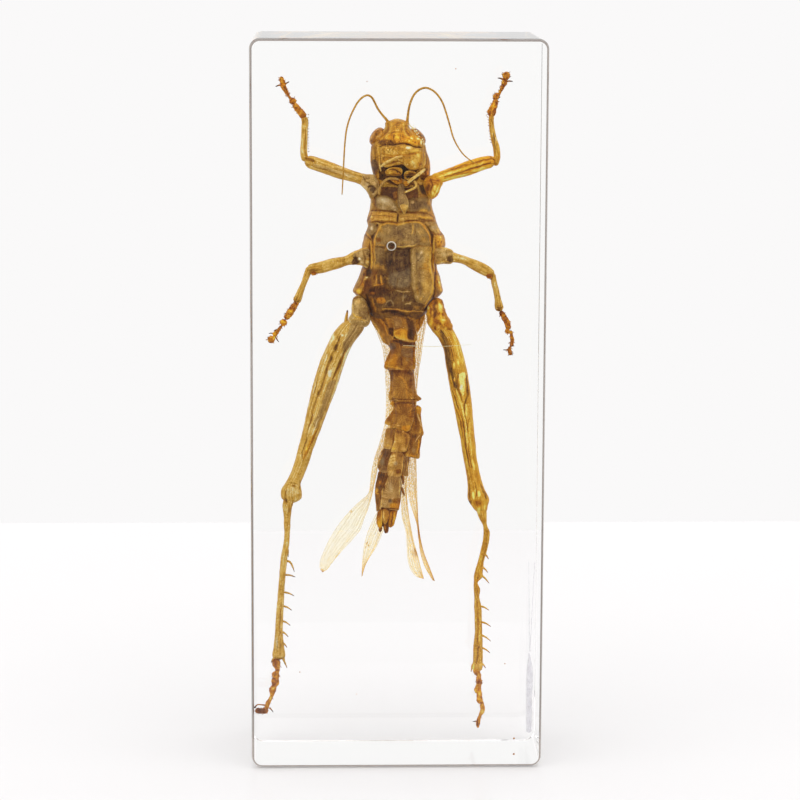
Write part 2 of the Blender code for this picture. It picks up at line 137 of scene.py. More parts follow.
@dataclass(frozen=True)
class Mark:
    """A soft spot on the insect, placed as the front view shows it.

    shade, glow and lift are added at its middle and fade as a bell over its two half-sizes. lean turns it
    clockwise from upright, in degrees.
    """

    x: float
    z: float
    wide: float
    tall: float
    shade: float = 0.0
    glow: float = 0.0
    lean: float = 0.0
    lift: float = 0.0

    def touch(self, skin: "Skin") -> None:
        """Adds the mark to a skin's front."""
        c, s = math.cos(math.radians(self.lean)), math.sin(math.radians(self.lean))
        dx, dz = skin.seen[..., 0] - self.x, skin.seen[..., 1] - self.z
        across, up = (c * dx - s * dz) / self.wide, (s * dx + c * dz) / self.tall
        weight = np.exp(-((across**2 + up**2) ** 1.5)) * skin.front
        skin.shade = skin.shade + self.shade * weight
        skin.glow = skin.glow + self.glow * weight
        skin.points[..., 1] -= self.lift * weight


@dataclass(frozen=True)
class Stroke:
    """A soft line along a smooth path of x and z, which takes on a tone and is raised or sunk."""

    path: Table
    half: float  # half its width
    shade: float
    glow: float = 0.0
    lift: float = 0.0
    force: float = 0.85  # how far the skin takes on the tone

    def touch(self, skin: "Skin") -> None:
        """Blends the line into a skin's front.

        The weight is a bell over the distance to the nearest of the path's straight steps, and it thins
        towards both ends.
        """
        steps = curve(self.path, 9 * len(self.path))
        low, high = steps.min(axis=0) - 3 * self.half, steps.max(axis=0) + 3 * self.half
        x, z = skin.seen[..., 0], skin.seen[..., 1]
        near = (x > low[0]) & (x < high[0]) & (z > low[1]) & (z < high[1])
        if not near.any():
            return
        spot = np.stack((x[near], z[near]), axis=-1)[:, None]
        start, leg = steps[None, :-1], np.diff(steps, axis=0)[None]
        share = np.clip(((spot - start) * leg).sum(-1) / np.maximum((leg**2).sum(-1), 1e-12), 0.0, 1.0)
        away = np.linalg.norm(spot - start - share[..., None] * leg, axis=-1)
        nearest = away.argmin(axis=1)
        place = (nearest + share[np.arange(len(nearest)), nearest]) / (len(steps) - 1)
        size = self.half * (1.0 - 0.6 * np.abs(2.0 * place - 1.0) ** 3)
        weight = np.zeros(x.shape)
        weight[near] = np.exp(-((away.min(axis=1) / size) ** 2))
        weight *= skin.front
        skin.blend(weight * self.force, self.shade, self.glow)
        skin.points[..., 1] -= self.lift * weight


@dataclass(frozen=True)
class Patch:
    """A field inside a smooth closed outline of x and z, which takes on a tone and is raised or sunk."""

    outline: Table
    shade: float
    glow: float = 0.0
    lift: float = 0.0
    soft: float = 0.15  # how wide the step at its edge is
    force: float = 0.9

    def touch(self, skin: "Skin") -> None:
        """Blends the field into a skin's front, by how far inside the outline each point lies."""
        within = inside(self.outline, skin.seen[..., 0], skin.seen[..., 1])
        weight = np.clip(0.5 + within / self.soft, 0.0, 1.0)
        weight = weight * weight * (3.0 - 2.0 * weight) * skin.front
        skin.blend(weight * self.force, self.shade, self.glow)
        skin.points[..., 1] -= self.lift * weight


def ring(outline: Table, count: int) -> Array:
    """Carries a smooth closed path through an outline, which goes on round past its first point."""
    points = np.asarray([*outline[-2:], *outline, *outline[:3]], float)
    marks = np.concatenate(([0.0], np.cumsum(np.linalg.norm(np.diff(points, axis=0), axis=1))))
    return smooth(points, marks, np.linspace(marks[2], marks[-3], count, endpoint=False))


def oval(turn: Array, square: float) -> tuple[Array, Array]:
    """Returns the cosine and sine of a turn, each to the power of 2 over square with its sign kept."""
    c, s = np.cos(turn), np.sin(turn)
    return np.sign(c) * np.abs(c) ** (2 / square), np.sign(s) * np.abs(s) ** (2 / square)


def capped(wide: Array, deep: Array, ends: tuple[tuple[Array, float], ...]) -> tuple[Array, Array]:
    """Shrinks a section's sizes towards both ends as a quarter circle does.

    Args:
        wide: Half width of each row.
        deep: Half depth of each row.
        ends: For each end, how far the rows lie from it and over how far they shrink.

    Returns:
        The half widths and half depths.
    """
    for distance, stretch in ends:
        reach = np.clip(1.0 - distance / max(stretch, 1e-3), 0.0, 1.0)
        cap = np.sqrt(np.maximum(1.0 - reach**2, 0.0))
        wide, deep = wide * cap, deep * cap
    return wide, deep


def inside(outline: Table, x: Array, z: Array) -> Array:
    """Returns how far each point lies inside a smooth closed outline, negative where it is outside.

    A point is inside where a ray to its right crosses the outline an odd number of times.
    """
    corners = ring(outline, 6 * len(outline))
    ahead = np.roll(corners, -1, axis=0)
    low, high = corners.min(axis=0) - 0.5, corners.max(axis=0) + 0.5
    near = (x > low[0]) & (x < high[0]) & (z > low[1]) & (z < high[1])
    result = np.full(x.shape, -9.0)
    px, pz = x[near][:, None], z[near][:, None]
    (ax, az), (bx, bz) = corners.T, ahead.T
    spans = (az[None] > pz) != (bz[None] > pz)
    rise = np.where(np.abs(bz - az) < 1e-9, 1e-9, bz - az)
    crossed = spans & (px < ax + (pz - az) * (bx - ax) / rise)
    lx, lz = bx - ax, bz - az
    share = np.clip(((px - ax) * lx + (pz - az) * lz) / np.maximum(lx**2 + lz**2, 1e-12), 0.0, 1.0)
    away = np.hypot(px - ax - share * lx, pz - az - share * lz).min(axis=1)
    result[near] = np.where(crossed.sum(axis=1) % 2 == 1, away, -away)
    return result


Feature = Mark | Stroke | Patch


@dataclass
class Skin:
    """A closed skin on a grid, one row for each step along a piece and one column for each step round it."""

    points: Array  # rows x columns x 3
    along: Array  # distance along the piece, one for each row
    shade: Array  # rows x columns, from 0 for the darkest shell to 1 for the palest
    glow: Array  # rows x columns, from -1 for a grey film over nothing to 1 for amber with light behind it
    front: Array  # rows x columns, 1 where the skin faces the front and 0 where it faces the back
    seen: Array  # rows x columns x 2, where features find each point: its x and z, made uneven

    @classmethod
    def of(cls, points: Array, shade: float, glow: float = 0.0) -> "Skin":
        """Makes a skin of one tone over a grid of points."""
        steps = np.linalg.norm(np.diff(points.mean(axis=1), axis=0), axis=1)
        flat = np.ones(points.shape[:2])
        uneven = [0.1 * ripple(points, 0.8, seed) + 0.06 * ripple(points, 0.33, seed + 1)
                  for seed in (11, 13)]
        made = cls(points, np.concatenate(([0.0], np.cumsum(steps))), flat * shade, flat * glow, flat,
                   points[..., (0, 2)] + np.stack(uneven, axis=-1))
        made.front = np.clip(0.35 - 1.6 * made.normals()[..., 1], 0.0, 1.0)
        return made

    def normals(self) -> Array:
        """Returns the unit normals: the cross product of the steps along rows and columns, outwards."""
        down = np.gradient(self.points, axis=0)
        across = np.roll(self.points, -1, axis=1) - np.roll(self.points, 1, axis=1)
        normal = np.cross(down, across)
        normal /= np.maximum(np.linalg.norm(normal, axis=-1, keepdims=True), 1e-12)
        ray = self.points - self.points.mean(axis=(0, 1))
        return normal if (ray * normal).sum() > 0 else -normal

    def roughen(self, size: float, depth: float, seed: int, tone: float = 0.0) -> "Skin":
        """Raises and sinks the skin by a smooth random field; paints shade on what sinks, by tone at most."""
        swell = 0.65 * ripple(self.points, size, seed) + 0.35 * ripple(self.points, size / 2.3, seed + 1)
        self.points = self.points + self.normals() * (depth * swell)[..., None]
        # painted shade: what sinks is darkened
        self.shade = self.shade + tone * swell
        return self

    def blend(self, weight: Array, shade: float, glow: float) -> None:
        """Moves the skin's tone towards another by a weight from 0 to 1."""
        self.shade = self.shade + weight * (shade - self.shade)
        self.glow = self.glow + weight * (glow - self.glow)

    def painted(self, features: list[Feature]) -> "Skin":
        """Lays features on the skin, one over the other."""
        for feature in features:
            feature.touch(self)
        return self

    def grain(self) -> Array:
        """Returns a place for streaks at each point: round the piece in x and y and along it in z."""
        turn = np.linspace(0.0, 2 * np.pi, self.points.shape[1], endpoint=False)
        girth = np.linalg.norm(self.points - self.points.mean(axis=1, keepdims=True), axis=-1).max()
        circle = np.stack((np.cos(turn), np.sin(turn)), axis=-1) * max(girth, 0.2)
        circle = np.broadcast_to(circle[None], self.points.shape[:2] + (2,))
        length = np.broadcast_to(self.along[:, None, None], self.points.shape[:2] + (1,))
        return np.concatenate((circle, length), axis=-1)


def limb(stations: Table, rows: int = 60, columns: int = 28, square: float = 2.0, shade: float = 0.6,
         glow: float = 0.0, ends: float = 0.6) -> Skin:
    """Carries an oval along a path, rounded off at both ends.

    The path runs through the stations. At each row the oval stands square to the path, with one axis across
    the view and one along y, and the last stretch at each end shrinks as a quarter circle does.

    Args:
        stations: x, y, z, half width across the view and half depth, from one end to the other.
        rows: Steps along the path.
        columns: Steps round the oval.
        square: 2 for an ellipse, more for a boxier section.
        shade: Tone of the whole skin.
        glow: Amber of the whole skin.
        ends: How far the rows gather at the ends.

    Returns:
        The skin.
    """
    table = curve(stations, rows, ends)
    path, wide, deep = table[:, :3], np.abs(table[:, 3]), np.abs(table[:, 4])
    steps = np.concatenate(([0.0], np.cumsum(np.linalg.norm(np.diff(path, axis=0), axis=1))))
    wide, deep = capped(wide, deep, ((steps, wide[0]), (steps[-1] - steps, wide[-1])))
    tangent = np.gradient(path, axis=0)
    tangent /= np.linalg.norm(tangent, axis=1, keepdims=True)
    across = np.cross(tangent, (0.0, 1.0, 0.0))
    across /= np.maximum(np.linalg.norm(across, axis=1, keepdims=True), 1e-6)
    inward = np.cross(across, tangent)
    c, s = oval(np.linspace(0.0, 2 * np.pi, columns, endpoint=False), square)
    points = (path[:, None] + across[:, None] * (wide[:, None] * c)[..., None]
              + inward[:, None] * (deep[:, None] * s)[..., None])
    return Skin.of(points, shade, glow)


def cuts(table: Table, rows: int = 120, columns: int = 40, square: float = 2.0, shade: float = 0.6,
         glow: float = 0.0) -> Skin:
    """Lofts level ovals, each given by the left and right edge that the camera sees.

    Args:
        table: z, left x, right x, middle y and half depth, from one end to the other.
        rows: Steps along the piece.
        columns: Steps round it.
        square: 2 for an ellipse, more for a boxier section.
        shade: Tone of the whole skin.
        glow: Amber of the whole skin.

    Returns:
        The skin, whose first and last stretch close as quarter circles. Its columns gather in front.
    """
    knots = [((left + right) / 2, y, z, (right - left) / 2, deep) for z, left, right, y, deep in table]
    x, y, z, wide, deep = curve(knots, rows, 0.5).T
    wide, deep = capped(wide, deep, ((np.abs(z - z[0]), wide[0] * 0.8), (np.abs(z - z[-1]), wide[-1] * 0.8)))
    turn = np.linspace(0.0, 2 * np.pi, columns, endpoint=False)
    c, s = oval(turn - 0.35 * np.sin(turn + np.pi) + np.pi / 2, square)
    points = np.stack((x[:, None] + wide[:, None] * c, y[:, None] + deep[:, None] * s,
                       np.broadcast_to(z[:, None], (rows, columns))), axis=-1)
    return Skin.of(points, shade, glow)


@dataclass
class Shield:
    """A rounded plate of shell inside a closed outline, domed to the front and closed behind."""

    outline: Table  # x and z round its rim
    lift: float = 0.2  # how far its rim stands in front of what carries it
    dome: float = 0.3  # how far its middle stands in front of its rim
    shade: float = 0.5
    glow: float = 0.0
    rim: float = 0.12  # added shade at the rim
    rim_width: float = 0.2
    thick: float = 0.4
    square: float = 2.6  # 2 for a round dome, more for a flat one with a steep rim
    features: list[Feature] = field(default_factory=list)

    def skin(self, ground: Ground, rows: int = 44, columns: int = 96, overlap_shade: float = 0.0) -> Skin:
        """Works out the plate over a ground.

        Each row is the outline shrunk towards its middle by the root of a sine, and the rows go from the
        middle of the front over the rim to the middle of the back. The front stands off the ground by the
        lift and by the dome times the root of a cosine, and the back by its thickness.

        Args:
            ground: Gives the depth of what carries the plate at x and z.
            rows: Steps from the middle of the front to the middle of the back.
            columns: Steps round it.
            overlap_shade: Painted shade: how much darker the upper end and paler the lower end are than the
                middle.

        Returns:
            The skin, painted.
        """
        edge = ring(self.outline, columns)
        middle = edge.mean(axis=0)
        turn = np.linspace(0.04, np.pi - 0.04, rows)[:, None]
        share = np.sin(turn) ** (2 / self.square)
        high = np.sign(np.cos(turn)) * np.abs(np.cos(turn)) ** (2 / self.square)
        flat = middle + (edge - middle) * share[..., None]
        x, z = flat[..., 0], flat[..., 1]
        off = self.lift + np.where(high > 0, self.dome, self.thick) * high
        made = Skin.of(np.stack((x, ground(x, z) - off, z), axis=-1), self.shade, self.glow)
        inwards = (1.0 - share) * np.linalg.norm(edge - middle, axis=1)
        made.shade = made.shade + self.rim * np.exp(-((inwards / self.rim_width) ** 2))
        # painted shade: darker towards the upper end, where a plate above overlaps, and paler towards the
        # lower end
        made.shade = made.shade - overlap_shade * (z - middle[1]) / np.ptp(edge[:, 1]) * 2.0
        return made.painted(self.features)


def at_depth(y: float) -> Ground:
    """Returns an upright ground at one depth."""
    return lambda x, z: np.full(x.shape, y)


def blob(x: float, y: float, z: float, wide: float, deep: float, tall: float, shade: float = 0.5,
         lean: float = 0.0, rows: int = 22, columns: int = 24, square: float = 2.2) -> Skin:
    """Makes a rounded lump: ovals whose size follows the root of one minus the height to a power.

    Args:
        x, y, z: Its middle.
        wide, deep, tall: Its half-sizes.
        shade: Tone of the whole skin.
        lean: Turn in the view, clockwise in degrees.
        rows: Steps from pole to pole.
        columns: Steps round it.
        square: 2 for an egg, more for a boxier lump.

    Returns:
        The skin.
    """
    up = -np.cos(np.linspace(0.0, np.pi, rows))
    size = np.maximum(1.0 - np.abs(up) ** square, 0.0) ** (1 / square)
    turn = np.linspace(0.0, 2 * np.pi, columns, endpoint=False) + np.pi / 2
    px, py = wide * size[:, None] * np.cos(turn), deep * size[:, None] * np.sin(turn)
    pz = np.broadcast_to(tall * up[:, None], px.shape)
    c, s = math.cos(math.radians(lean)), math.sin(math.radians(lean))
    return Skin.of(np.stack((x + c * px + s * pz, y + py, z - s * px + c * pz), axis=-1), shade)


def strand(knots: Table, rows: int = 60, columns: int = 10, shade: float = 0.6, glow: float = 0.0) -> Skin:
    """Carries a small circle along a path of x, y, z and radius."""
    return limb([(x, y, z, r, r) for x, y, z, r in knots], rows, columns, shade=shade, glow=glow)


def build(name: str, skins: list[Skin], finish: "Finish") -> bpy.types.Object:
    """Puts skins into one mesh, in metres, with their tones and streak places as attributes.

    Neighbouring rows are joined by four-sided faces all the way round. Each end is closed by a fan to a
    point in its middle, and a skin whose signed volume is negative is turned right side out.

    Args:
        name: Name of the object.
        skins: What it is made of.
        finish: What it is dressed in.

    Returns:
        The object.
    """
    places, faces, shades, glows, grains = [], [], [], [], []
    first = 0
    for skin in skins:
        rows, columns = skin.points.shape[:2]
        poles = skin.points[[0, -1]].mean(axis=1)
        grain = skin.grain()
        places.append(np.concatenate((skin.points.reshape(-1, 3), poles)))
        shades.append(np.concatenate((skin.shade.ravel(), skin.shade[[0, -1]].mean(axis=1))))
        glows.append(np.concatenate((skin.glow.ravel(), skin.glow[[0, -1]].mean(axis=1))))
        grains.append(np.concatenate((grain.reshape(-1, 3), grain[[0, -1]].mean(axis=1))))
        index = np.arange(rows * columns).reshape(rows, columns)
        ahead = np.roll(index, -1, axis=1)
        quads = np.stack((index[:-1], ahead[:-1], ahead[1:], index[1:]), axis=-1).reshape(-1, 4)
        start = np.stack((np.full(columns, rows * columns), ahead[0], index[0]), axis=-1)
        stop = np.stack((np.full(columns, rows * columns + 1), index[-1], ahead[-1]), axis=-1)
        a, b, c, d = (skin.points.reshape(-1, 3)[quads[:, k]] for k in range(4))
        volume = sum(np.einsum("ij,ij->i", a, np.cross(p, q)).sum() for p, q in ((b, c), (c, d)))
        for group in (quads, start, stop):
            faces += ((group[:, ::-1] if volume < 0 else group) + first).tolist()
        first += rows * columns + 2
    mesh = bpy.data.meshes.new(name)
    mesh.from_pydata((sighted(np.concatenate(places)) * MM).tolist(), [], faces)
    mesh.polygons.foreach_set("use_smooth", np.ones(len(mesh.polygons), dtype=bool))
    layers = {"shade": ("FLOAT", "value", shades), "glow": ("FLOAT", "value", glows),
              "grain": ("FLOAT_VECTOR", "vector", grains)}
    for key, (kind, part, values) in layers.items():
        layer = mesh.attributes.new(key, kind, "POINT")
        layer.data.foreach_set(part, np.concatenate(values).astype(np.float32).ravel())
    mesh.materials.append(finish.material())
    mesh.update()
    piece = bpy.data.objects.new(name, mesh)
    bpy.context.collection.objects.link(piece)
    LOG.info("%s: %d skins, %d faces", name, len(skins), len(faces))
    return piece


def insect_piece(name: str, skins: list[Skin], finish: "Finish") -> bpy.types.Object:
    """Builds a piece of the insect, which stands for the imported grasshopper."""
    piece = build(name, skins, finish)
    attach(piece, "root")
    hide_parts("grasshopper")
    return piece


# ---------------------------------------------------------------- finishes


def linear(colour: tuple[int, int, int]) -> tuple[float, float, float, float]:
    """Turns a display colour of 0 to 255 into a scene-linear one."""
    parts = [c / 255 / 12.92 if c < 11 else ((c / 255 + 0.055) / 1.055) ** 2.4 for c in colour]
    return (*parts, 1.0)


class Nodes:
    """A tree of shader nodes, with what adds them and joins them."""

    def __init__(self, tree: bpy.types.NodeTree) -> None:
        """Keeps the tree."""
        self.tree = tree

    def fill(self, socket: bpy.types.NodeSocket, value: object) -> None:
        """Joins a socket to the one that feeds it, or gives it a plain value."""
        if isinstance(value, bpy.types.NodeSocket):
            self.tree.links.new(value, socket)
        else:
            socket.default_value = value

    def add(self, kind: str, inputs: dict[str | int, object], **settings: object) -> bpy.types.Node:
        """Adds a node and fills its inputs.

        Args:
            kind: Node type, without its ShaderNode prefix.
            inputs: Input name or number, and a value or the socket that feeds it.
            **settings: Plain properties of the node.

        Returns:
            The node.
        """
        node = self.tree.nodes.new("ShaderNode" + kind)
        for key, value in settings.items():
            setattr(node, key, value)
        for key, value in inputs.items():
            self.fill(node.inputs[key], value)
        return node

    def stops(self, factor: object, stops: list[tuple[float, tuple[float, ...]]]) -> bpy.types.NodeSocket:
        """Returns a colour ramp over scene-linear colours, given as position and red, green and blue."""
        node = self.add("ValToRGB", {"Fac": factor})
        elements = node.color_ramp.elements
        while len(elements) < len(stops):
            elements.new(0.5)
        for element, (position, colour) in zip(elements, stops):
            element.position = position
            element.color = (*colour, 1.0)
        return node.outputs["Color"]


class Sheet(Nodes):
    """The nodes of one material."""

    def __init__(self, name: str) -> None:
        """Starts a material with its shader and output alone."""
        self.material = bpy.data.materials.new(name)
        self.material.use_nodes = True
        super().__init__(self.material.node_tree)
        self.shader = self.tree.nodes["Principled BSDF"]

    def math(self, operation: str, first: object, second: object = 0.0) -> bpy.types.NodeSocket:
        """Returns the result of a Math node."""
        return self.add("Math", {0: first, 1: second}, operation=operation).outputs[0]

    def attribute(self, name: str, vector: bool = False) -> bpy.types.NodeSocket:
        """Returns one of the mesh's own attributes."""
        return self.add("Attribute", {}, attribute_name=name).outputs["Vector" if vector else "Fac"]

    def place(self) -> bpy.types.NodeSocket:
        """Returns Object coordinates."""
        return self.add("TexCoord", {}).outputs["Object"]

    def noise(self, vector: object, scale: float, detail: float = 3.0,
              rough: float = 0.55) -> bpy.types.NodeSocket:
        """Returns fractal noise about 0.5."""
        inputs = {"Vector": vector, "Scale": scale, "Detail": detail, "Roughness": rough}
        return self.add("TexNoise", inputs).outputs["Fac"]

    def stretched(self, vector: object, scale: tuple[float, float, float]) -> bpy.types.NodeSocket:
        """Returns coordinates multiplied along each axis."""
        return self.add("Mapping", {"Vector": vector, "Scale": scale}).outputs[0]

    def ramp(self, factor: object, shown: Ramp, gain: float = 1.0) -> bpy.types.NodeSocket:
        """Returns a colour ramp over display colours, brightened by a gain."""
        stops = [(position, tuple(min(c * gain, 1.0) for c in linear(colour)[:3]))
                 for position, colour in shown]
        return self.stops(factor, stops)

    def blend(self, factor: object, first: object, second: object, how: str = "MIX") -> bpy.types.NodeSocket:
        """Returns a mix of two colours."""
        node = self.add("Mix", {0: factor}, data_type="RGBA", blend_type=how, clamp_factor=True)
        self.fill(node.inputs[6], first)
        self.fill(node.inputs[7], second)
        return node.outputs[2]

    def feed(self, **inputs: object) -> None:
        """Fills inputs of the shader, whose names have underscores for spaces."""
        for key, value in inputs.items():
            self.fill(self.shader.inputs[key.replace("_", " ")], value)


class Finish:
    """What a piece is dressed in."""

    def material(self) -> bpy.types.Material:
        """Returns the material, made on its first use."""
        raise NotImplementedError


OCHRE: Ramp = ((0.0, (44, 22, 0)), (0.2, (96, 56, 8)), (0.4, (146, 98, 22)), (0.6, (188, 138, 42)),
               (0.8, (218, 180, 88)), (1.0, (246, 230, 184)))
LOAM: Ramp = ((0.0, (38, 18, 2)), (0.2, (88, 52, 14)), (0.4, (132, 92, 34)), (0.6, (174, 132, 58)),
              (0.8, (210, 172, 96)), (1.0, (244, 226, 182)))
RUST: Ramp = ((0.0, (44, 20, 0)), (0.2, (100, 54, 10)), (0.4, (144, 90, 24)), (0.6, (184, 130, 46)),
              (0.8, (216, 172, 88)), (1.0, (242, 220, 172)))
FOOT: Ramp = ((0.0, (52, 22, 0)), (0.25, (120, 62, 10)), (0.5, (174, 108, 26)), (0.72, (206, 148, 50)),
              (1.0, (238, 204, 124)))
GREY: Ramp = ((0.0, (44, 30, 24)), (0.3, (96, 76, 54)), (0.55, (140, 118, 82)), (0.8, (184, 164, 126)),
              (1.0, (226, 214, 194)))
AMBER: Ramp = ((0.0, (112, 44, 0)), (0.35, (174, 94, 4)), (0.6, (222, 148, 14)), (0.8, (246, 192, 48)),
               (1.0, (255, 230, 124)))
STRAW: Ramp = ((0.0, (247, 228, 112)), (0.35, (240, 206, 76)), (0.7, (216, 166, 48)), (1.0, (172, 112, 26)))
FACET: Ramp = ((0.0, (92, 52, 14)), (0.35, (168, 108, 26)), (0.6, (214, 160, 62)), (0.85, (238, 210, 140)),
               (1.0, (250, 242, 220)))
GAIN = 1.27  # makes up for what the studio's light takes off a colour on the way to the picture
SPREAD = 2.2  # stretches noise, which keeps near a half, to about the whole range


@dataclass(frozen=True)
class ShellFinish(Finish):
    """Dried insect shell: browns over tone, mottle and streaks, and amber where light comes through."""

    name: str
    ramp: Ramp = OCHRE
    mottle: float = 0.35  # how much cloudy mottle moves the tone
    mottle_scale: float = 900.0
    streak: float = 0.3  # how much the streaks along the piece move the tone
    streak_scale: tuple[float, float, float] = (2.6, 2.6, 0.22)
    speckle: float = 0.12
    # painted shade: the creases' darkening stands for the shade in their sunken hollows
    crease: float = 0.2  # how much darker the fine wandering creases are
    crease_scale: float = 1300.0
    crease_edge: float = 34.0  # more makes the creases finer
    # painted highlights: the few brightest specks stand for tiny glints of light
    glint: float = 1.2  # how much paler the few brightest specks are
    glint_from: float = 0.64  # the level from which a speck counts as bright
    roughness: float = 0.42
    bump: float = 0.25

    @cache
    def material(self) -> bpy.types.Material:
        """Returns the shell's material.

        Its tone is the painted shade attribute plus mottle, streaks and speckle, each less a half. The tone
        picks from the ramp, wandering creases darken it as painted shade in their sunken hollows, the few
        brightest specks are lifted as painted glints, and the painted glow blends in the grey film where it
        is below nothing and the amber where it is above.
        """
        s = Sheet(self.name)
        place, grain = s.place(), s.attribute("grain", vector=True)
        cloud = s.noise(place, self.mottle_scale, 4.0, 0.6)
        streaks = s.noise(s.stretched(grain, self.streak_scale), 1.0, 4.0, 0.65)
        specks = s.noise(place, self.mottle_scale * 6.5, 2.0, 0.5)
        tone = s.attribute("shade")
        for source, share in ((cloud, self.mottle), (streaks, self.streak), (specks, self.speckle)):
            centred = s.math("SUBTRACT", source, 0.5)
            tone = s.math("ADD", tone, s.math("MULTIPLY", centred, share * SPREAD))
        # painted shade: darkens the tone along the creases, which the bump below also sinks
        level = s.math("ABSOLUTE", s.math("SUBTRACT", s.noise(place, self.crease_scale, 2.0), 0.5))
        crease = s.math("MAXIMUM", s.math("SUBTRACT", 1.0, s.math("MULTIPLY", level, self.crease_edge)), 0.0)
        tone = s.math("SUBTRACT", tone, s.math("MULTIPLY", crease, self.crease))
        # painted highlights: specks above glint_from are made paler as glints
        glint = s.math("MAXIMUM", s.math("SUBTRACT", specks, self.glint_from), 0.0)
        tone = s.math("ADD", tone, s.math("MULTIPLY", glint, self.glint * 2.0))
        glow = s.attribute("glow")
        brown = s.ramp(tone, self.ramp, GAIN)
        film = s.blend(s.math("MULTIPLY", glow, -1.0), brown, s.ramp(tone, GREY, GAIN))
        amber = s.ramp(s.math("ADD", tone, s.math("MULTIPLY", glow, 0.12)), AMBER, GAIN)
        s.feed(Base_Color=s.blend(glow, film, amber))
        s.feed(Roughness=s.math("ADD", s.math("MULTIPLY", cloud, 0.3), self.roughness - 0.15))
        height = s.math("ADD", s.math("MULTIPLY", streaks, 0.7), s.math("MULTIPLY", specks, 0.3))
        height = s.math("SUBTRACT", height, s.math("MULTIPLY", crease, 0.5))
        bump = s.add("Bump", {"Strength": self.bump, "Distance": 0.00012, "Height": height})
        s.feed(Normal=bump.outputs[0], IOR=1.25)
        return s.material


@dataclass(frozen=True)
class WingFinish(Finish):
    """Thin wing membrane: clear straw between ochre veins, with the light behind it."""

    name: str = "wing_membrane"

    @cache
    def material(self) -> bpy.types.Material:
        """Returns the membrane, whose alpha and colour follow the veins and, near the body, fine crinkles."""
        s = Sheet(self.name)
        cloud = s.noise(s.place(), 1400.0, 4.0, 0.6)
        fine = s.noise(s.stretched(s.attribute("grain", vector=True), (9.0, 9.0, 1.2)), 1.0, 3.0, 0.6)
        crinkle = s.noise(s.place(), 5200.0, 2.0, 0.6)
        folds = s.math("MULTIPLY", s.math("SUBTRACT", crinkle, 0.42), s.attribute("glow"))
        web = s.math("ADD", s.attribute("shade"), s.math("MULTIPLY", s.math("SUBTRACT", fine, 0.5), 0.8))
        web = s.math("ADD", web, s.math("MULTIPLY", folds, 2.0))
        colour = s.ramp(web, STRAW)
        alpha = s.math("ADD", s.math("MULTIPLY", web, 0.75), s.math("MULTIPLY", cloud, 0.24))
        alpha = s.add("Clamp", {"Value": alpha, "Min": 0.12, "Max": 0.9}).outputs[0]
        s.feed(Base_Color=colour, Alpha=alpha, Roughness=0.5, IOR=1.1)
        # painted glow: the membrane gives off its own colour, standing for the light that shines through it
        # from behind
        s.feed(Emission_Color=colour, Emission_Strength=0.3)
        return s.material


@dataclass(frozen=True)
class EyeFinish(Finish):
    """Dried faceted eye: golden brown with fine facets and a glassy skin."""

    name: str = "eye_facets"

    @cache
    def material(self) -> bpy.types.Material:
        """Returns the eye, whose brown darkens towards the edge of each cell."""
        s = Sheet(self.name)
        place = s.place()
        cells = s.add("TexVoronoi", {"Vector": place, "Scale": 3200.0}).outputs["Distance"]
        cloud = s.noise(place, 1100.0, 3.0)
        tone = s.math("ADD", s.attribute("shade"), s.math("MULTIPLY", s.math("SUBTRACT", cloud, 0.5), 1.3))
        tone = s.math("SUBTRACT", tone, s.math("MULTIPLY", cells, 0.2))
        bump = s.add("Bump", {"Strength": 0.4, "Distance": 0.0001, "Height": cells})
        s.feed(Base_Color=s.ramp(tone, FACET, GAIN), Normal=bump.outputs[0], Roughness=0.25, IOR=1.3)
        return s.material


@dataclass(frozen=True)
class BubbleFinish(Finish):
    """The skin of an air bubble: clear in the middle and bright round its rim, a painted reflection."""

    name: str = "bubble_skin"

    @cache
    def material(self) -> bpy.types.Material:
        """Returns the bubble's skin, whose alpha follows its rim."""
        s = Sheet(self.name)
        rim = s.attribute("shade")
        alpha = s.add("Clamp", {"Value": rim, "Min": 0.12, "Max": 0.95}).outputs[0]
        colour = s.ramp(rim, ((0.0, (60, 34, 18)), (0.5, (200, 180, 140)), (1.0, (250, 246, 236))))
        s.feed(Base_Color=colour, Alpha=alpha, Roughness=0.1)
        return s.material


@dataclass(frozen=True)
class FilmFinish(Finish):
    """A thin milky film in the resin, uneven and faintly violet."""

    name: str = "milky_film"

    @cache
    def material(self) -> bpy.types.Material:
        """Returns the film, whose alpha and colour drift along it."""
        s = Sheet(self.name)
        cloud = s.noise(s.place(), 900.0, 4.0, 0.6)
        colour = s.ramp(cloud, ((0.3, (196, 190, 218)), (0.7, (226, 222, 236))))
        s.feed(Base_Color=colour, Alpha=s.math("MULTIPLY", cloud, 0.42), Roughness=0.4)
        return s.material


@dataclass(frozen=True)
class ResinFinish(Finish):
    """Clear cast resin, polished, with a very faint warm tint."""

    name: str = "polished_resin"
    colour: tuple[float, float, float] = (1.0, 1.0, 1.0)
    ior: float = 1.52
    tint: tuple[float, float, float] = (0.97, 0.955, 0.93)
    density: float = 0.9

    @cache
    def material(self) -> bpy.types.Material:
        """Returns plain transmission with plain absorption."""
        s = Sheet(self.name)
        s.feed(Base_Color=(*self.colour, 1.0), Roughness=0.0, IOR=self.ior, Transmission_Weight=1.0)
        volume = s.add("VolumeAbsorption", {"Color": (*self.tint, 1.0), "Density": self.density})
        s.tree.links.new(volume.outputs[0], s.tree.nodes["Material Output"].inputs["Volume"])
        return s.material


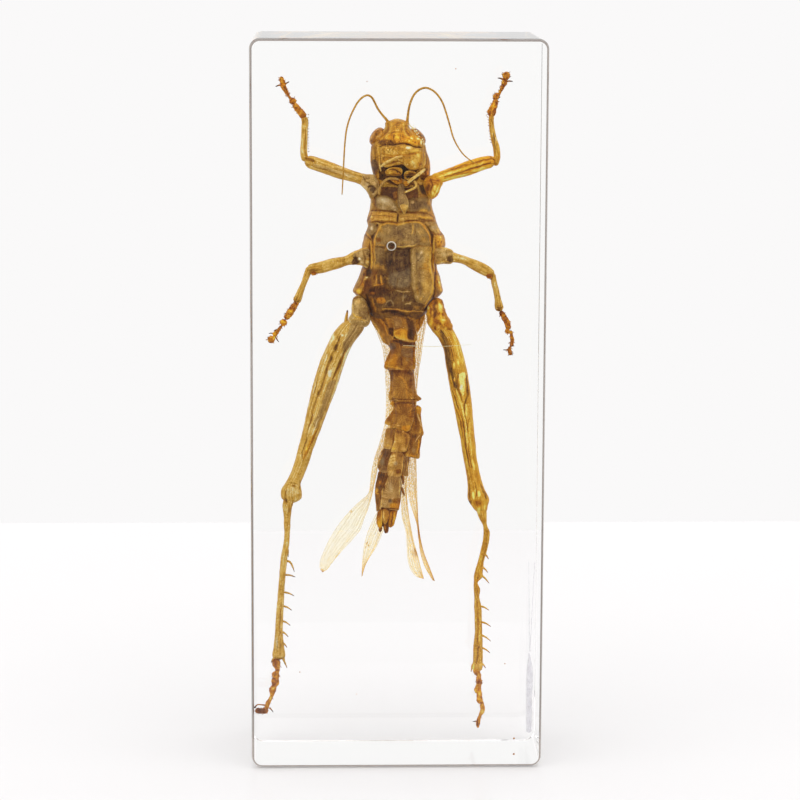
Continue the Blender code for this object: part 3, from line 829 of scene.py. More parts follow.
HEAD_SHELL = ShellFinish("head_shell", OCHRE, mottle=0.3, streak=0.1, crease=0.28)
BODY_SHELL = ShellFinish("body_shell", LOAM, mottle=0.28, streak=0.14, mottle_scale=1000.0, crease=0.18,
                         speckle=0.08)
LEG_SHELL = ShellFinish("leg_shell", OCHRE, mottle=0.2, streak=0.4, streak_scale=(3.6, 3.6, 0.3), crease=0.14)
THIGH_SHELL = ShellFinish("thigh_shell", OCHRE, mottle=0.14, streak=0.46, streak_scale=(4.6, 4.6, 0.14),
                          crease=0.14)
BELLY_SHELL = ShellFinish("belly_shell", RUST, mottle=0.17, streak=0.3, streak_scale=(3.4, 3.4, 0.4),
                          crease=0.12, speckle=0.06)
FOOT_SHELL = ShellFinish("foot_shell", FOOT, mottle=0.44, streak=0.2, mottle_scale=1500.0)
HORN_SHELL = ShellFinish("feeler_shell", OCHRE, mottle=0.12, streak=0.1)
PALE_SHELL = ShellFinish("palp_shell", OCHRE, mottle=0.15, streak=0.15)
CLAW_SHELL = ShellFinish("claw_shell", FOOT, mottle=0.1, streak=0.0, roughness=0.3)


class View(Enum):
    """The camera's turn from the block's axes, in degrees."""

    PAN = 1.76
    PITCH = -9.47
    ROLL = 0.24


@dataclass
class Camera:
    """The camera, placed by the block's edges in the picture."""

    X: ClassVar[float] = -13.4
    Y: ClassVar[float] = -456.5
    Z: ClassVar[float] = 130.8
    APPARENT_REACH: ClassVar[float] = 676.0  # from where the lines of sight inside the resin seem to spread
    SENSOR: ClassVar[float] = 36.0
    FOCAL: ClassVar[float] = 3033.2 / 800 * SENSOR

    def build(self) -> bpy.types.Object:
        """Makes the camera and gives it to the scene."""
        pan, pitch, roll = (math.radians(v.value) for v in (View.PAN, View.PITCH, View.ROLL))
        ahead = np.array((math.sin(pan) * math.cos(pitch), math.cos(pan) * math.cos(pitch), math.sin(pitch)))
        level = np.array((math.cos(pan), -math.sin(pan), 0.0))
        upward = np.cross(level, ahead)
        right = math.cos(roll) * level + math.sin(roll) * upward
        upward = math.cos(roll) * upward - math.sin(roll) * level
        data = bpy.data.cameras.new("camera")
        data.lens, data.sensor_width, data.clip_start = self.FOCAL, self.SENSOR, 0.01
        camera = bpy.data.objects.new("camera", data)
        columns = (*right, 0.0), (*upward, 0.0), (*-ahead, 0.0), (self.X * MM, self.Y * MM, self.Z * MM, 1.0)
        camera.matrix_world = Matrix(columns).transposed()
        bpy.context.collection.objects.link(camera)
        bpy.context.scene.camera = camera
        return camera


@dataclass
class Studio:
    """Pale table and soft light all round.

    Behind the block the light is nearly even, and brighter high up. In front it comes from above the camera
    and from the table, with a dark band between them, so the front face mirrors a dark room and the insect
    stays clear behind it.
    """

    table_front: float = 75.0
    table_back: float = 171.0
    table_half: float = 400.0
    table_drop: float = 0.1
    table_glow: float = 0.25
    front_strength: float = 2.2
    rear_strength: float = 1.5
    # elevations, as the sine of the angle above the table, and the light's tone there
    front_tones: tuple[tuple[float, float], ...] = ((-1.0, 0.45), (-0.26, 0.45), (-0.21, 0.12), (-0.03, 0.12),
                                                    (0.2, 0.8), (0.9, 1.0))
    rear_tones: tuple[tuple[float, float], ...] = ((-1.0, 0.62), (-0.3, 0.66), (0.0, 0.68), (0.08, 0.6),
                                                   (0.35, 0.6), (0.7, 0.9))

    def build(self) -> None:
        """Makes the table and the surroundings."""
        bpy.context.scene.view_settings.view_transform = "Standard"
        self.table()
        self.surroundings()

    def table(self) -> bpy.types.Object:
        """Makes the white table top just under the block, with a soft sheen."""
        mesh = bpy.data.meshes.new("table_top")
        half, near, far = self.table_half * MM, -self.table_front * MM, self.table_back * MM
        corners = ((-half, near), (half, near), (half, far), (-half, far))
        mesh.from_pydata([(x, y, -self.table_drop * MM) for x, y in corners], [], [(0, 1, 2, 3)])
        sheet = Sheet("white_table")
        tone = sheet.noise(sheet.place(), 6.0)
        sheet.feed(Base_Color=sheet.ramp(tone, ((0.3, (178, 177, 178)), (0.7, (181, 180, 181)))))
        sheet.feed(Roughness=0.3, Specular_IOR_Level=0.2)
        sheet.feed(Emission_Color=(1.0, 0.99, 0.995, 1.0), Emission_Strength=self.table_glow)
        mesh.materials.append(sheet.material)
        top = bpy.data.objects.new("table_top", mesh)
        bpy.context.collection.objects.link(top)
        return top

    def surroundings(self) -> None:
        """Lights the scene: an even near-white to the camera, and shaped as above for all else."""
        sky = Sky("soft_light")
        _, depth, height = sky.split()
        level = sky.spread(height, -1.0, 1.0)
        rear = sky.stops(level, [(elevation / 2 + 0.5, (tone, tone * 0.996, tone * 0.99))
                                 for elevation, tone in self.rear_tones])
        front = sky.stops(level, [(elevation / 2 + 0.5, (tone, tone * 0.99, tone * 0.98))
                                  for elevation, tone in self.front_tones])
        behind = sky.spread(depth, -0.2, 0.2)
        lit = sky.mix(behind, sky.light(front, self.front_strength), sky.light(rear, self.rear_strength))
        direct = sky.add("LightPath", {}).outputs["Is Camera Ray"]
        plain = sky.light(linear((250, 249, 249)), 1.0)
        sky.finish(sky.mix(direct, lit, plain))


class Sky(Nodes):
    """The nodes of the world's light."""

    def __init__(self, name: str) -> None:
        """Starts a world of its own and gives it to the scene."""
        world = bpy.data.worlds.new(name)
        world.use_nodes = True
        bpy.context.scene.world = world
        super().__init__(world.node_tree)

    def split(self) -> tuple[bpy.types.NodeSocket, ...]:
        """Returns the direction looked in, as x, y and z."""
        direction = self.add("TexCoord", {}).outputs["Generated"]
        return tuple(self.add("SeparateXYZ", {0: direction}).outputs)

    def spread(self, value: object, low: float, high: float) -> bpy.types.NodeSocket:
        """Carries low to high over to 0 to 1."""
        return self.add("MapRange", {"Value": value, "From Min": low, "From Max": high}).outputs[0]

    def light(self, colour: object, strength: object) -> bpy.types.NodeSocket:
        """Returns a light of one colour and strength."""
        return self.add("Background", {"Color": colour, "Strength": strength}).outputs[0]

    def mix(self, factor: object, first: object, second: object) -> bpy.types.NodeSocket:
        """Returns the first light at 0 and the second at 1."""
        return self.add("MixShader", {0: factor, 1: first, 2: second}).outputs[0]

    def finish(self, light: bpy.types.NodeSocket) -> None:
        """Joins the light to the world."""
        output = next(node for node in self.tree.nodes if node.type == "OUTPUT_WORLD")
        self.tree.links.new(light, output.inputs["Surface"])


@dataclass
class ResinBlock:
    """The clear casting: a tall slab with rounded corners, a soft front rim and a crisp back rim."""

    width: float = 44.0
    depth: float = 23.0
    height: float = 110.0
    corner: float = 1.6
    front_rim: tuple[float, float] = (0.4, 1.1)  # how far it reaches over the face and along the side
    back_rim: tuple[float, float] = (0.1, 0.1)  # the same at the back
    finish: ResinFinish = field(default_factory=ResinFinish)
    # painted shade: a dark brown tint in the front rim draws the dark line along the block's front edge
    painted_rim_shade: ResinFinish = field(default_factory=lambda: ResinFinish("painted_shade_resin_rim", (0.24, 0.185, 0.155)))

    def outline(self, inset: float) -> Array:
        """Returns the rounded rectangle of the front view, moved in by inset, as x and z.

        Four quarter circles, each followed by points on the straight side that keep its face flat.
        """
        radius = max(self.corner - inset, 0.05)
        x, low, high = self.width / 2 - inset - radius, inset + radius, self.height - inset - radius
        parts = []
        corners = ((x, high), (-x, high), (-x, low), (x, low))
        for number, (cx, cz) in enumerate(corners):
            turn = np.radians(np.linspace(0.0, 90.0, 18) + 90.0 * number)
            arc = np.stack((cx + radius * np.cos(turn), cz + radius * np.sin(turn)), axis=1)
            outward = np.array((np.cos(turn[-1]), np.sin(turn[-1])))
            ahead = np.array(corners[(number + 1) % 4]) + radius * outward
            share = np.array((0.002, 0.5, 0.998))[:, None]
            parts += [arc, arc[-1] + (ahead - arc[-1]) * share]
        return np.concatenate(parts)

    def build(self) -> bpy.types.Object:
        """Makes the block.

        The section is carried round the outline: from the face, over a quarter ellipse to the side, and over
        another to the back. A ring just inside each rim keeps both big faces flat.

        Returns:
            The block, which replaces the casting's two halves.
        """
        turn = np.radians(np.linspace(0.0, 90.0, 20))
        (fx, fy), (bx, by), half = self.front_rim, self.back_rim, self.depth / 2
        front = np.stack((fx * (1 - np.sin(turn)), -half + fy * (1 - np.cos(turn))), axis=1)
        back = np.stack((bx * (1 - np.cos(turn)), half - by * (1 - np.sin(turn))), axis=1)
        side = np.array(((0.0, -half + fy + 0.05), (0.0, 0.0), (0.0, half - by - 0.05)))
        section = np.concatenate((((fx + 0.06, -half),), front, side, back, ((bx + 0.06, half),)))
        rings = [self.outline(inset) for inset, _ in section]
        points = np.stack([np.insert(level, 1, y, axis=1) for level, (_, y) in zip(rings, section)])
        rows, columns = points.shape[:2]
        index = np.arange(rows * columns).reshape(rows, columns)
        ahead = np.roll(index, -1, axis=1)
        quads = np.stack((index[:-1], index[1:], ahead[1:], ahead[:-1]), axis=-1).reshape(-1, 4)
        faces = quads.tolist() + [index[0].tolist(), index[-1][::-1].tolist()]
        mesh = bpy.data.meshes.new("resin_block")
        mesh.from_pydata((points.reshape(-1, 3) * MM).tolist(), [], faces)
        mesh.polygons.foreach_set("use_smooth", np.ones(len(mesh.polygons), dtype=bool))
        for finish in (self.finish, self.painted_rim_shade):
            mesh.materials.append(finish.material())
        bands = np.zeros((rows - 1, columns), dtype=np.int32)
        bands[1:len(front)] = 1  # the front rim takes the dark tint: painted shade for its dark edge line
        mesh.polygons.foreach_set("material_index", np.concatenate((bands.ravel(), (0, 0))).astype(np.int32))
        mesh.update()
        block = bpy.data.objects.new("resin_block", mesh)
        bpy.context.collection.objects.link(block)
        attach(block, "root")
        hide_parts("resin_front", "resin_back")
        LOG.info("resin_block: %d faces", len(faces))
        return block


# ---------------------------------------------------------------- the grasshopper


@dataclass
class Trunk:
    """The head capsule and the thorax, each one skin, on which the shields lie.

    Tables of z, left x, right x, middle y and half depth.
    """

    head: Table = field(default_factory=lambda: [(97.8, -0.8, 0.6, -0.3, 0.9), (97.3, -1.75, 1.5, -0.3, 1.6),
        (96.6, -1.9, 1.7, -0.35, 2.1), (95.9, -2.25, 2.3, -0.4, 2.6), (95.2, -2.75, 3.1, -0.4, 3),
        (94.5, -3.3, 3.8, -0.4, 3.4), (93.9, -3.85, 4.1, -0.4, 3.6), (93, -4.02, 4.3, -0.35, 3.7),
        (92.2, -4.06, 4.6, -0.3, 3.7), (91.3, -4.04, 4.85, -0.25, 3.7), (90.4, -3.87, 4.9, -0.2, 3.7),
        (89.5, -3.66, 4.85, 0, 3.6), (88.5, -3.72, 4.95, 0.2, 3.4), (87.4, -3.7, 4.8, 0.4, 2.9),
        (84.4, -3.6, 4.6, 0.6, 2.3)])
    thorax: Table = field(default_factory=lambda: [(93, -3.2, 3.9, 0.8, 2), (90.2, -3.5, 4.5, 0.6, 2.8),
        (89.2, -3.7, 4.85, 0.6, 3.05), (88.1, -3.95, 5, 0.5, 3.4), (87, -3.95, 5.1, 0.5, 3.7),
        (85.85, -4.08, 5.2, 0.5, 4.1), (85.05, -4.05, 5.1, 0.5, 4.3), (84.15, -4.15, 5.3, 0.5, 4.5),
        (83.25, -4.4, 5.65, 0.5, 4.6), (82.4, -4.58, 5.86, 0.5, 4.7), (81.8, -4.45, 6.05, 0.5, 4.6),
        (80.9, -4.68, 6.5, 0.5, 4.75), (80.3, -4.93, 6.95, 0.5, 4.8), (79.5, -5.13, 7.18, 0.5, 4.9),
        (78.8, -5.3, 7.2, 0.5, 4.9), (78, -5.35, 6.6, 0.5, 4.9), (77, -5.25, 6, 0.5, 4.9),
        (75.9, -5.15, 5.92, 0.5, 4.9), (75, -5.42, 6.07, 0.5, 4.85), (74.3, -5.66, 6.34, 0.5, 4.8),
        (73.5, -6, 6.55, 0.5, 4.75), (72.6, -6.4, 6.77, 0.5, 4.7), (71.8, -6.67, 6.87, 0.5, 4.6),
        (71.3, -6.25, 6.5, 0.45, 4.5), (70.4, -5.45, 5.5, 0.4, 4.3), (69.4, -4.85, 4.95, 0.4, 4.1),
        (68.4, -4.4, 4.4, 0.3, 3.7), (67.4, -3.8, 3.9, 0.3, 3.3), (66.4, -3.2, 3.3, 0.3, 3)])

    def front(self, x: Array, z: Array) -> Array:
        """Returns the depth of the trunk's front at x and z.

        The tables give each level's middle, half width and half depth, and the depth follows the section's
        superellipse. Past its side it stays at the side's depth.
        """
        # the last three rows of the head and the first two of the thorax lie inside the other one
        table = np.array(sorted(self.head[:-3] + self.thorax[2:]))
        level, left, right, middle, deep = table.T
        left, right, middle, deep = (np.interp(z, level, column) for column in (left, right, middle, deep))
        off = np.clip(np.abs(x - (left + right) / 2) / ((right - left) / 2), 0.0, 0.97)
        return middle - deep * (1.0 - off**2.5) ** (1 / 2.5)


@dataclass
class Head:
    """Head capsule, eyes, feelers, face plates and mouthparts."""

    trunk: Trunk
    left_feeler: Table = field(default_factory=lambda: [(-1.35, -0.7, 97.2, 0.24), (-1.75, -0.8, 97.7, 0.2),
        (-2.35, -0.8, 98.4, 0.17), (-3, -0.9, 99.3, 0.16), (-3.5, -1, 100.3, 0.16),
        (-3.9, -1.1, 100.95, 0.16), (-4.5, -1.2, 101.25, 0.15), (-5.1, -1.3, 101.05, 0.15),
        (-5.9, -1.5, 100.3, 0.14), (-6.5, -1.8, 99.3, 0.14), (-7.1, -2.1, 98, 0.13), (-7.6, -2.4, 96.3, 0.13),
        (-7.85, -2.7, 94.4, 0.12), (-8, -3, 92.2, 0.12), (-8.1, -3.2, 90, 0.11), (-8.2, -3.3, 88.2, 0.1),
        (-8.3, -3.4, 86.4, 0.08)])
    right_feeler: Table = field(default_factory=lambda: [(1.5, -0.6, 96.7, 0.28), (1.42, -0.7, 97.3, 0.24),
        (1.5, -0.8, 98.2, 0.19), (1.65, -0.9, 99.3, 0.17), (1.95, -1, 100.4, 0.17), (2.45, -1.1, 101.4, 0.16),
        (3.2, -1.1, 102.1, 0.16), (4.1, -1.2, 102.38, 0.16), (5, -1.3, 102.1, 0.15),
        (5.9, -1.4, 101.35, 0.15), (6.6, -1.5, 100.3, 0.14), (7.2, -1.7, 98.7, 0.14), (7.8, -2, 96.7, 0.13),
        (8.3, -2.3, 95, 0.12), (9, -2.5, 93.6, 0.11), (10, -2.7, 92.3, 0.1), (11.1, -2.8, 91.45, 0.09),
        (12.5, -3, 90.7, 0.07)])
    capsule_features: list[Feature] = field(default_factory=lambda: [
        # the brow: a golden wedge with ridges, pits and a shadow under it
        Mark(-0.2, 96.8, 1.5, 1, 0, 0.3), Mark(0.3, 95, 2.8, 1, -0.04, 0.75),
        Stroke([(-1.5, 97.2), (-1.4, 96.3), (-1.9, 95.5), (-2.6, 94.9)], 0.13, 0.3, 0.3, -0.12),
        Stroke([(-1.1, 97.3), (-0.95, 96.4), (-1.2, 95.6), (-1.8, 94.9)], 0.12, 0.74, 0.25, 0.12),
        Stroke([(1.3, 97.1), (1.2, 96.3), (1.6, 95.5), (2.3, 94.9)], 0.12, 0.3, 0.4, -0.12),
        Stroke([(0.9, 97.2), (0.8, 96.4), (1, 95.7), (1.6, 95.1)], 0.11, 0.74, 0.3, 0.1),
        Mark(-0.2, 97, 0.45, 0.3, -0.2, lift=-0.08), Mark(0.5, 96.1, 0.25, 0.5, -0.16),
        Mark(-0.5, 96, 0.25, 0.4, -0.14), Mark(-0.1, 97.6, 0.6, 0.15, 0.15, 0.2),
        Stroke([(-0.9, 96.5), (0, 96.7), (0.8, 96.5)], 0.07, 0.44, 0.2),
        Stroke([(-1.2, 95.9), (-0.2, 96.1), (0.9, 95.9)], 0.07, 0.72, 0.3),
        Stroke([(-1.4, 95.6), (-0.2, 95.75), (1.2, 95.6)], 0.06, 0.42, 0.3),
        Stroke([(-1.3, 97.5), (-0.9, 97.75), (-0.5, 97.6)], 0.08, 0.22, 0.4),
        Stroke([(0.2, 97.6), (0.6, 97.75), (1, 97.5)], 0.08, 0.24, 0.4), Mark(-1, 95.1, 0.35, 0.3, -0.2),
        Mark(0.9, 95, 0.3, 0.35, -0.2), Mark(0, 95, 0.3, 0.25, 0.14, 0.2),
        Stroke([(-0.5, 95.4), (-0.6, 94.8), (-0.3, 94.3)], 0.08, 0.26, 0.2), Mark(1.6, 94.9, 0.3, 0.2, -0.16),
        Stroke([(0.5, 95.5), (0.35, 94.9), (0.6, 94.4)], 0.08, 0.24, 0.3),
        Patch([(-2.9, 94.4), (-1.9, 94.7), (-0.9, 94.5), (-0.3, 94.2), (-0.9, 93.8), (-1.9, 93.8),
            (-2.6, 93.9)], 0.2, 0.1, -0.15, 0.35),
        Patch([(1.2, 94.8), (2.1, 95.3), (3.2, 95), (3.7, 94.3), (3.4, 93.9), (2.2, 94), (1.3, 94.2)], 0.62,
            0.9, 0.1, 0.3),
        Mark(2.1, 94.9, 0.18, 0.14, 0.5, -0.3), Mark(3, 94.7, 0.22, 0.12, 0.6, -0.6),
        Mark(3.5, 94.2, 0.16, 0.3, 0.6, -0.6), Mark(2.6, 94.3, 0.12, 0.2, -0.35),
        Mark(3.2, 94.1, 0.1, 0.25, -0.3), Mark(1.7, 94.5, 0.15, 0.1, 0.3),
        Stroke([(-2.6, 93.6), (-1.6, 93.85), (-0.8, 93.8), (-0.25, 93.95), (0.63, 94.1), (1.5, 94),
            (2.2, 93.65), (2.9, 93.5), (3.6, 93.5)], 0.16, 0.1, 0, -0.15, 0.95),
        # cheeks
        Patch([(-3.9, 93.9), (-2.9, 93.7), (-2.6, 92.5), (-2.6, 91.2), (-2.8, 90), (-3.6, 89.4), (-4, 90.8),
            (-4.1, 92.3)], 0.46, 0.1, 0, 0.3),
        Stroke([(-3.7, 93.6), (-3.6, 92.3), (-3.45, 91.2)], 0.12, 0.66, 0.1, 0.06),
        Stroke([(-3.35, 93.4), (-3.3, 92.4), (-3.2, 91.3)], 0.08, 0.24),
        Stroke([(-2.95, 93.9), (-2.85, 92.6), (-2.7, 91.3), (-2.6, 90)], 0.11, 0.74, 0.4, 0.1),
        Stroke([(-3.9, 93.2), (-3.9, 92.2), (-3.8, 91.4)], 0.08, 0.24),
        Patch([(-3.85, 91.4), (-3.2, 91.6), (-2.9, 91), (-2.9, 90.2), (-3.6, 90.1)], 0.26, -0.5, -0.1, 0.3),
        Mark(-3.4, 89.6, 0.35, 0.5, -0.2), Mark(-2.9, 89.3, 0.2, 0.4, 0.15, 0.4),
        Patch([(3.95, 93.7), (4.3, 92.9), (4.63, 92), (4.9, 91.2), (4.8, 90.2), (4.2, 89.9), (3.95, 91.3),
            (3.95, 92.4)], 0.42, 0.15, 0, 0.3),
        Stroke([(4.2, 93.2), (4.3, 92), (4.25, 91)], 0.09, 0.24, 0.1),
        Stroke([(4.05, 92.6), (4.1, 91.6), (4, 90.8)], 0.08, 0.8, -0.3, 0.06),
        Stroke([(4.6, 92), (4.75, 91.2), (4.7, 90.2)], 0.1, 0.62, 0.6, 0.05),
        Patch([(3.5, 90.4), (4.4, 90.3), (4.8, 89.4), (4.5, 88.5), (3.5, 88.8)], 0.2, 0.1, -0.15, 0.35),
        Mark(4.5, 89.6, 0.25, 0.5, 0.14, 0.7), Mark(3.9, 89.6, 0.15, 0.3, 0.2, 0.3),
        # painted shade: the dark hollow behind the jaws, and the darker gap between them
        Patch([(-2.7, 90.6), (2.9, 90.6), (3.3, 89.5), (2.6, 88.2), (-1, 88), (-2.7, 89)], 0.07, 0, -0.4,
            0.4),
        Patch([(0.68, 90.7), (1, 90.6), (1.1, 89.9), (1.02, 88.3), (0.7, 88.2), (0.66, 89.4)], 0, -0.9,
            -0.3)])
    face: list[Shield] = field(default_factory=lambda: [
        # face plate with its upper lip
        Shield([(-2.37, 93.3), (-1.2, 93.6), (0.2, 93.8), (1.6, 93.8), (2.8, 93.4), (3.74, 93.25),
            (3.9, 92.4), (3.85, 91.5), (3.6, 90.8), (3.1, 90.25), (2.4, 90.05), (1.74, 90.2), (1.2, 90.6),
            (0.7, 90.98), (0.2, 90.85), (-0.6, 90.75), (-1.4, 90.5), (-2.2, 90.6), (-2.5, 91.5),
            (-2.52, 92.4)], 0.15, 0.6, 0.64, 0.16, -0.1, 0.2, 0.6, 3, [
                Stroke([(-2.3, 92.5), (-1, 92.3), (0, 92.25), (0.8, 92.3), (2.2, 92.5), (3.6, 92.8)], 0.13,
                    0.44, 0.6, -0.12),
                Stroke([(-1.9, 90.85), (-1.2, 91.1), (-0.5, 91.35), (0.2, 91.45), (0.8, 91.25)], 0.1, 0.2,
                    0.2, -0.12),
                Stroke([(-1.1, 93.3), (-1.25, 92.9), (-1.45, 92.6)], 0.07, 0.16, 0, -0.08),
                Stroke([(0.75, 91.1), (0.85, 91.7), (0.7, 92.2)], 0.1, 0.4, 0.3, -0.12),
                # the first mark is a painted highlight: the white glint on the face plate
                Mark(1.6, 93.45, 0.34, 0.24, 0.6, -0.7), Mark(2.25, 91.35, 1, 0.6, 0.06, 0.1, lift=0.18),
                Mark(-1.4, 92.9, 0.7, 0.3, 0.1), Mark(0.4, 93.1, 0.7, 0.3, -0.06, 0.1, lift=0.1),
                Stroke([(-2.3, 93.3), (-2.1, 92.8), (-2.1, 92.4)], 0.08, 0.3, 0.1, -0.06),
                Mark(-0.3, 92.75, 0.3, 0.2, 0.14),
                Stroke([(-0.5, 93.5), (-0.65, 93), (-0.6, 92.7)], 0.07, 0.3, 0.1, -0.06),
                Mark(0.9, 92.75, 0.3, 0.2, 0.12, 0.3), Mark(-1.75, 93.35, 0.25, 0.15, 0.16),
                Mark(3.1, 92.3, 0.3, 0.3, 0.14, 0.4), Mark(-2.4, 91.9, 0.25, 0.3, 0.14),
                Mark(-1.9, 92, 0.35, 0.15, -0.18), Mark(0.1, 91.9, 0.5, 0.12, -0.16, 0.2),
                Mark(2.4, 92.6, 0.5, 0.12, -0.14, 0.2), Mark(-1.2, 91.8, 0.9, 0.3, -0.12, 0.1),
                Mark(3.4, 91.8, 0.25, 0.8, -0.14, 0.2), Mark(2.7, 93, 0.5, 0.2, 0.08, 0.4),
                Mark(1.6, 92.1, 0.6, 0.2, -0.1), Mark(2.2, 91.1, 0.5, 0.3, 0.1),
                Mark(1.6, 91.6, 0.2, 0.3, -0.08), Mark(3.2, 90.9, 0.5, 0.25, -0.12, 0.3)]),
        # jaws and lower lip
        Shield([(-1.9, 89.85), (-1.1, 90.45), (-0.1, 90.55), (0.62, 90.3), (0.68, 89.6), (0.25, 89.2),
            (-0.75, 89.05), (-1.6, 89.3)], 0.15, 0.4, 0.56, 0.25, 0.06, 0.14, features=[
                Stroke([(-1.3, 90.15), (-0.4, 90.1), (0.2, 89.8), (0.45, 89.5)], 0.1, 0.14, 0.1, -0.15),
                Stroke([(-0.5, 90.35), (-0.1, 90), (0, 89.6)], 0.06, 0.26),
                Mark(-1.1, 89.65, 0.5, 0.2, 0.14, 0.3)]),
        Shield([(-1.4, 89.1), (-0.4, 89.15), (0.62, 88.95), (0.68, 88.25), (0.1, 87.95), (-0.9, 88.5)], 0,
            0.35, 0.46, 0.65, 0.05, 0.15,
            features=[Stroke([(-0.9, 88.9), (-0.1, 88.6), (0.4, 88.3)], 0.1, 0.16, 0.2)]),
        Shield([(1.02, 88.9), (1.05, 89.75), (1.64, 90.05), (2.6, 89.85), (3, 89.3), (2.5, 88.85),
            (1.64, 88.6)], 0.1, 0.35, 0.5, 0.2, 0.2, 0.13,
            features=[Patch([(1.3, 89.3), (1.7, 89.75), (2.3, 89.65), (1.7, 89.1)], 0.2, 0.1, -0.12)]),
        Shield([(0.85, 88.3), (1.35, 88.5), (1.8, 88.25), (1.6, 87.8), (1.1, 87.7)], 0, 0.3, 0.5, 0.6, 0.05,
            0.12),
        Shield([(2.9, 90), (3.4, 90.15), (3.9, 89.9), (4, 89.4), (3.4, 88.9), (3, 89.2)], -0.1, 0.3, 0.34,
            0.1, 0.2, 0.15)])

    def palps(self) -> list[Skin]:
        """Carries small circles along the four palps, thicker at their joints."""
        tables = (
            [(-2.5, -3.9, 90.6, 0.16), (-2.1, -4.3, 90.95, 0.2), (-1.4, -4.7, 91.4, 0.19),
                (-0.7, -4.9, 91.75, 0.18), (0.1, -5, 92.05, 0.17), (0.75, -5, 92.2, 0.12)],
            [(4.1, -3.7, 90.3, 0.2), (3.5, -4.3, 89.75, 0.24), (2.7, -4.6, 89.15, 0.23),
                (2, -4.7, 88.6, 0.24), (1.5, -4.7, 88.2, 0.2)],
            [(2.5, -3.8, 88.5, 0.15), (2.72, -4.2, 88.1, 0.19), (2.7, -4.5, 87.6, 0.18),
                (2.1, -4.6, 87.2, 0.18), (1.05, -4.7, 86.75, 0.13)],
            [(0.2, -3.9, 88.7, 0.15), (-0.6, -4.3, 88.85, 0.19), (-1.4, -4.4, 88.8, 0.19),
                (-2.1, -4.6, 88.3, 0.19), (-2.5, -4.6, 87.7, 0.18), (-2.7, -4.6, 87, 0.2),
                (-2.8, -4.7, 86.4, 0.16)],
            [(-2.72, -3.8, 91.5, 0.1), (-2.66, -3.9, 90.8, 0.13), (-2.5, -3.9, 89.9, 0.1)])
        tones = ((0.8, 0.0), (0.8, 0.0), (0.76, 0.0), (0.58, -0.3), (0.7, 0.0))
        return [strand(table, 50, 14, shade, glow) for table, (shade, glow) in zip(tables, tones)]

    def eye(self, x: float, z: float, wide: float, lean: float, pale: float) -> Skin:
        """Makes one bulging eye: an egg set slantwise in the side of the head, pale along its inner side."""
        made = blob(x, 0.1, z, wide, 2.0, 1.5, shade=0.48, lean=lean, rows=44, columns=48)
        inner = x - math.copysign(0.35, x)
        return made.painted([Mark(inner, z - 0.1, 0.3, 1.0, pale, lean=lean), Mark(x, z, 0.5, 0.12, 0.2),
                             Mark(x + math.copysign(0.6, x), z - 0.2, 0.3, 1.4, -0.25, lean=lean)])

    def glare_flakes(self) -> list[Skin]:
        """Scatters small white specks along the outer side of the right eye, painted highlights for its
        glare.
        """
        rng = np.random.default_rng(8)
        count, stray = 26, 0.16
        share = rng.uniform(0.0, 1.0, count)
        x = 1.9 + 2.0 * share + rng.normal(0.0, stray, count)
        z = 96.7 - 2.6 * share**1.3 + rng.normal(0.0, stray, count)
        return [blob(a, -2.6 - 0.5 * size, b, 0.06 + 0.09 * size, 0.1, 0.05 + 0.05 * size, 1.0, 50.0, 10, 12)
                for a, b, size in zip(x, z, rng.uniform(0.0, 1.0, count))]

    def build(self) -> list[bpy.types.Object]:
        """Makes and dresses every piece of the head."""
        capsule = cuts(self.trunk.head, 200, 200, square=2.3, shade=0.58)
        capsule = capsule.roughen(1.1, 0.07, seed=3, tone=0.1).painted(self.capsule_features)
        plates = [shield.skin(self.trunk.front).roughen(0.6, 0.04, seed=4, tone=0.06) for shield in self.face]
        feelers = [strand(t, 220, 10, shade=0.6) for t in (self.left_feeler, self.right_feeler)]
        eyes = [self.eye(-3.05, 95.1, 0.95, 34.0, 0.2), self.eye(3.0, 95.15, 0.8, -42.0, 0.5)]
        return [insect_piece("head_capsule", [capsule], HEAD_SHELL),
                insect_piece("face_and_jaws", plates, HEAD_SHELL),
                insect_piece("feelers", feelers, HORN_SHELL),
                insect_piece("eyes", eyes, EyeFinish()),
                insect_piece("eye_glare_flakes", self.glare_flakes(), PALE_SHELL),
                insect_piece("palps", self.palps(), PALE_SHELL)]


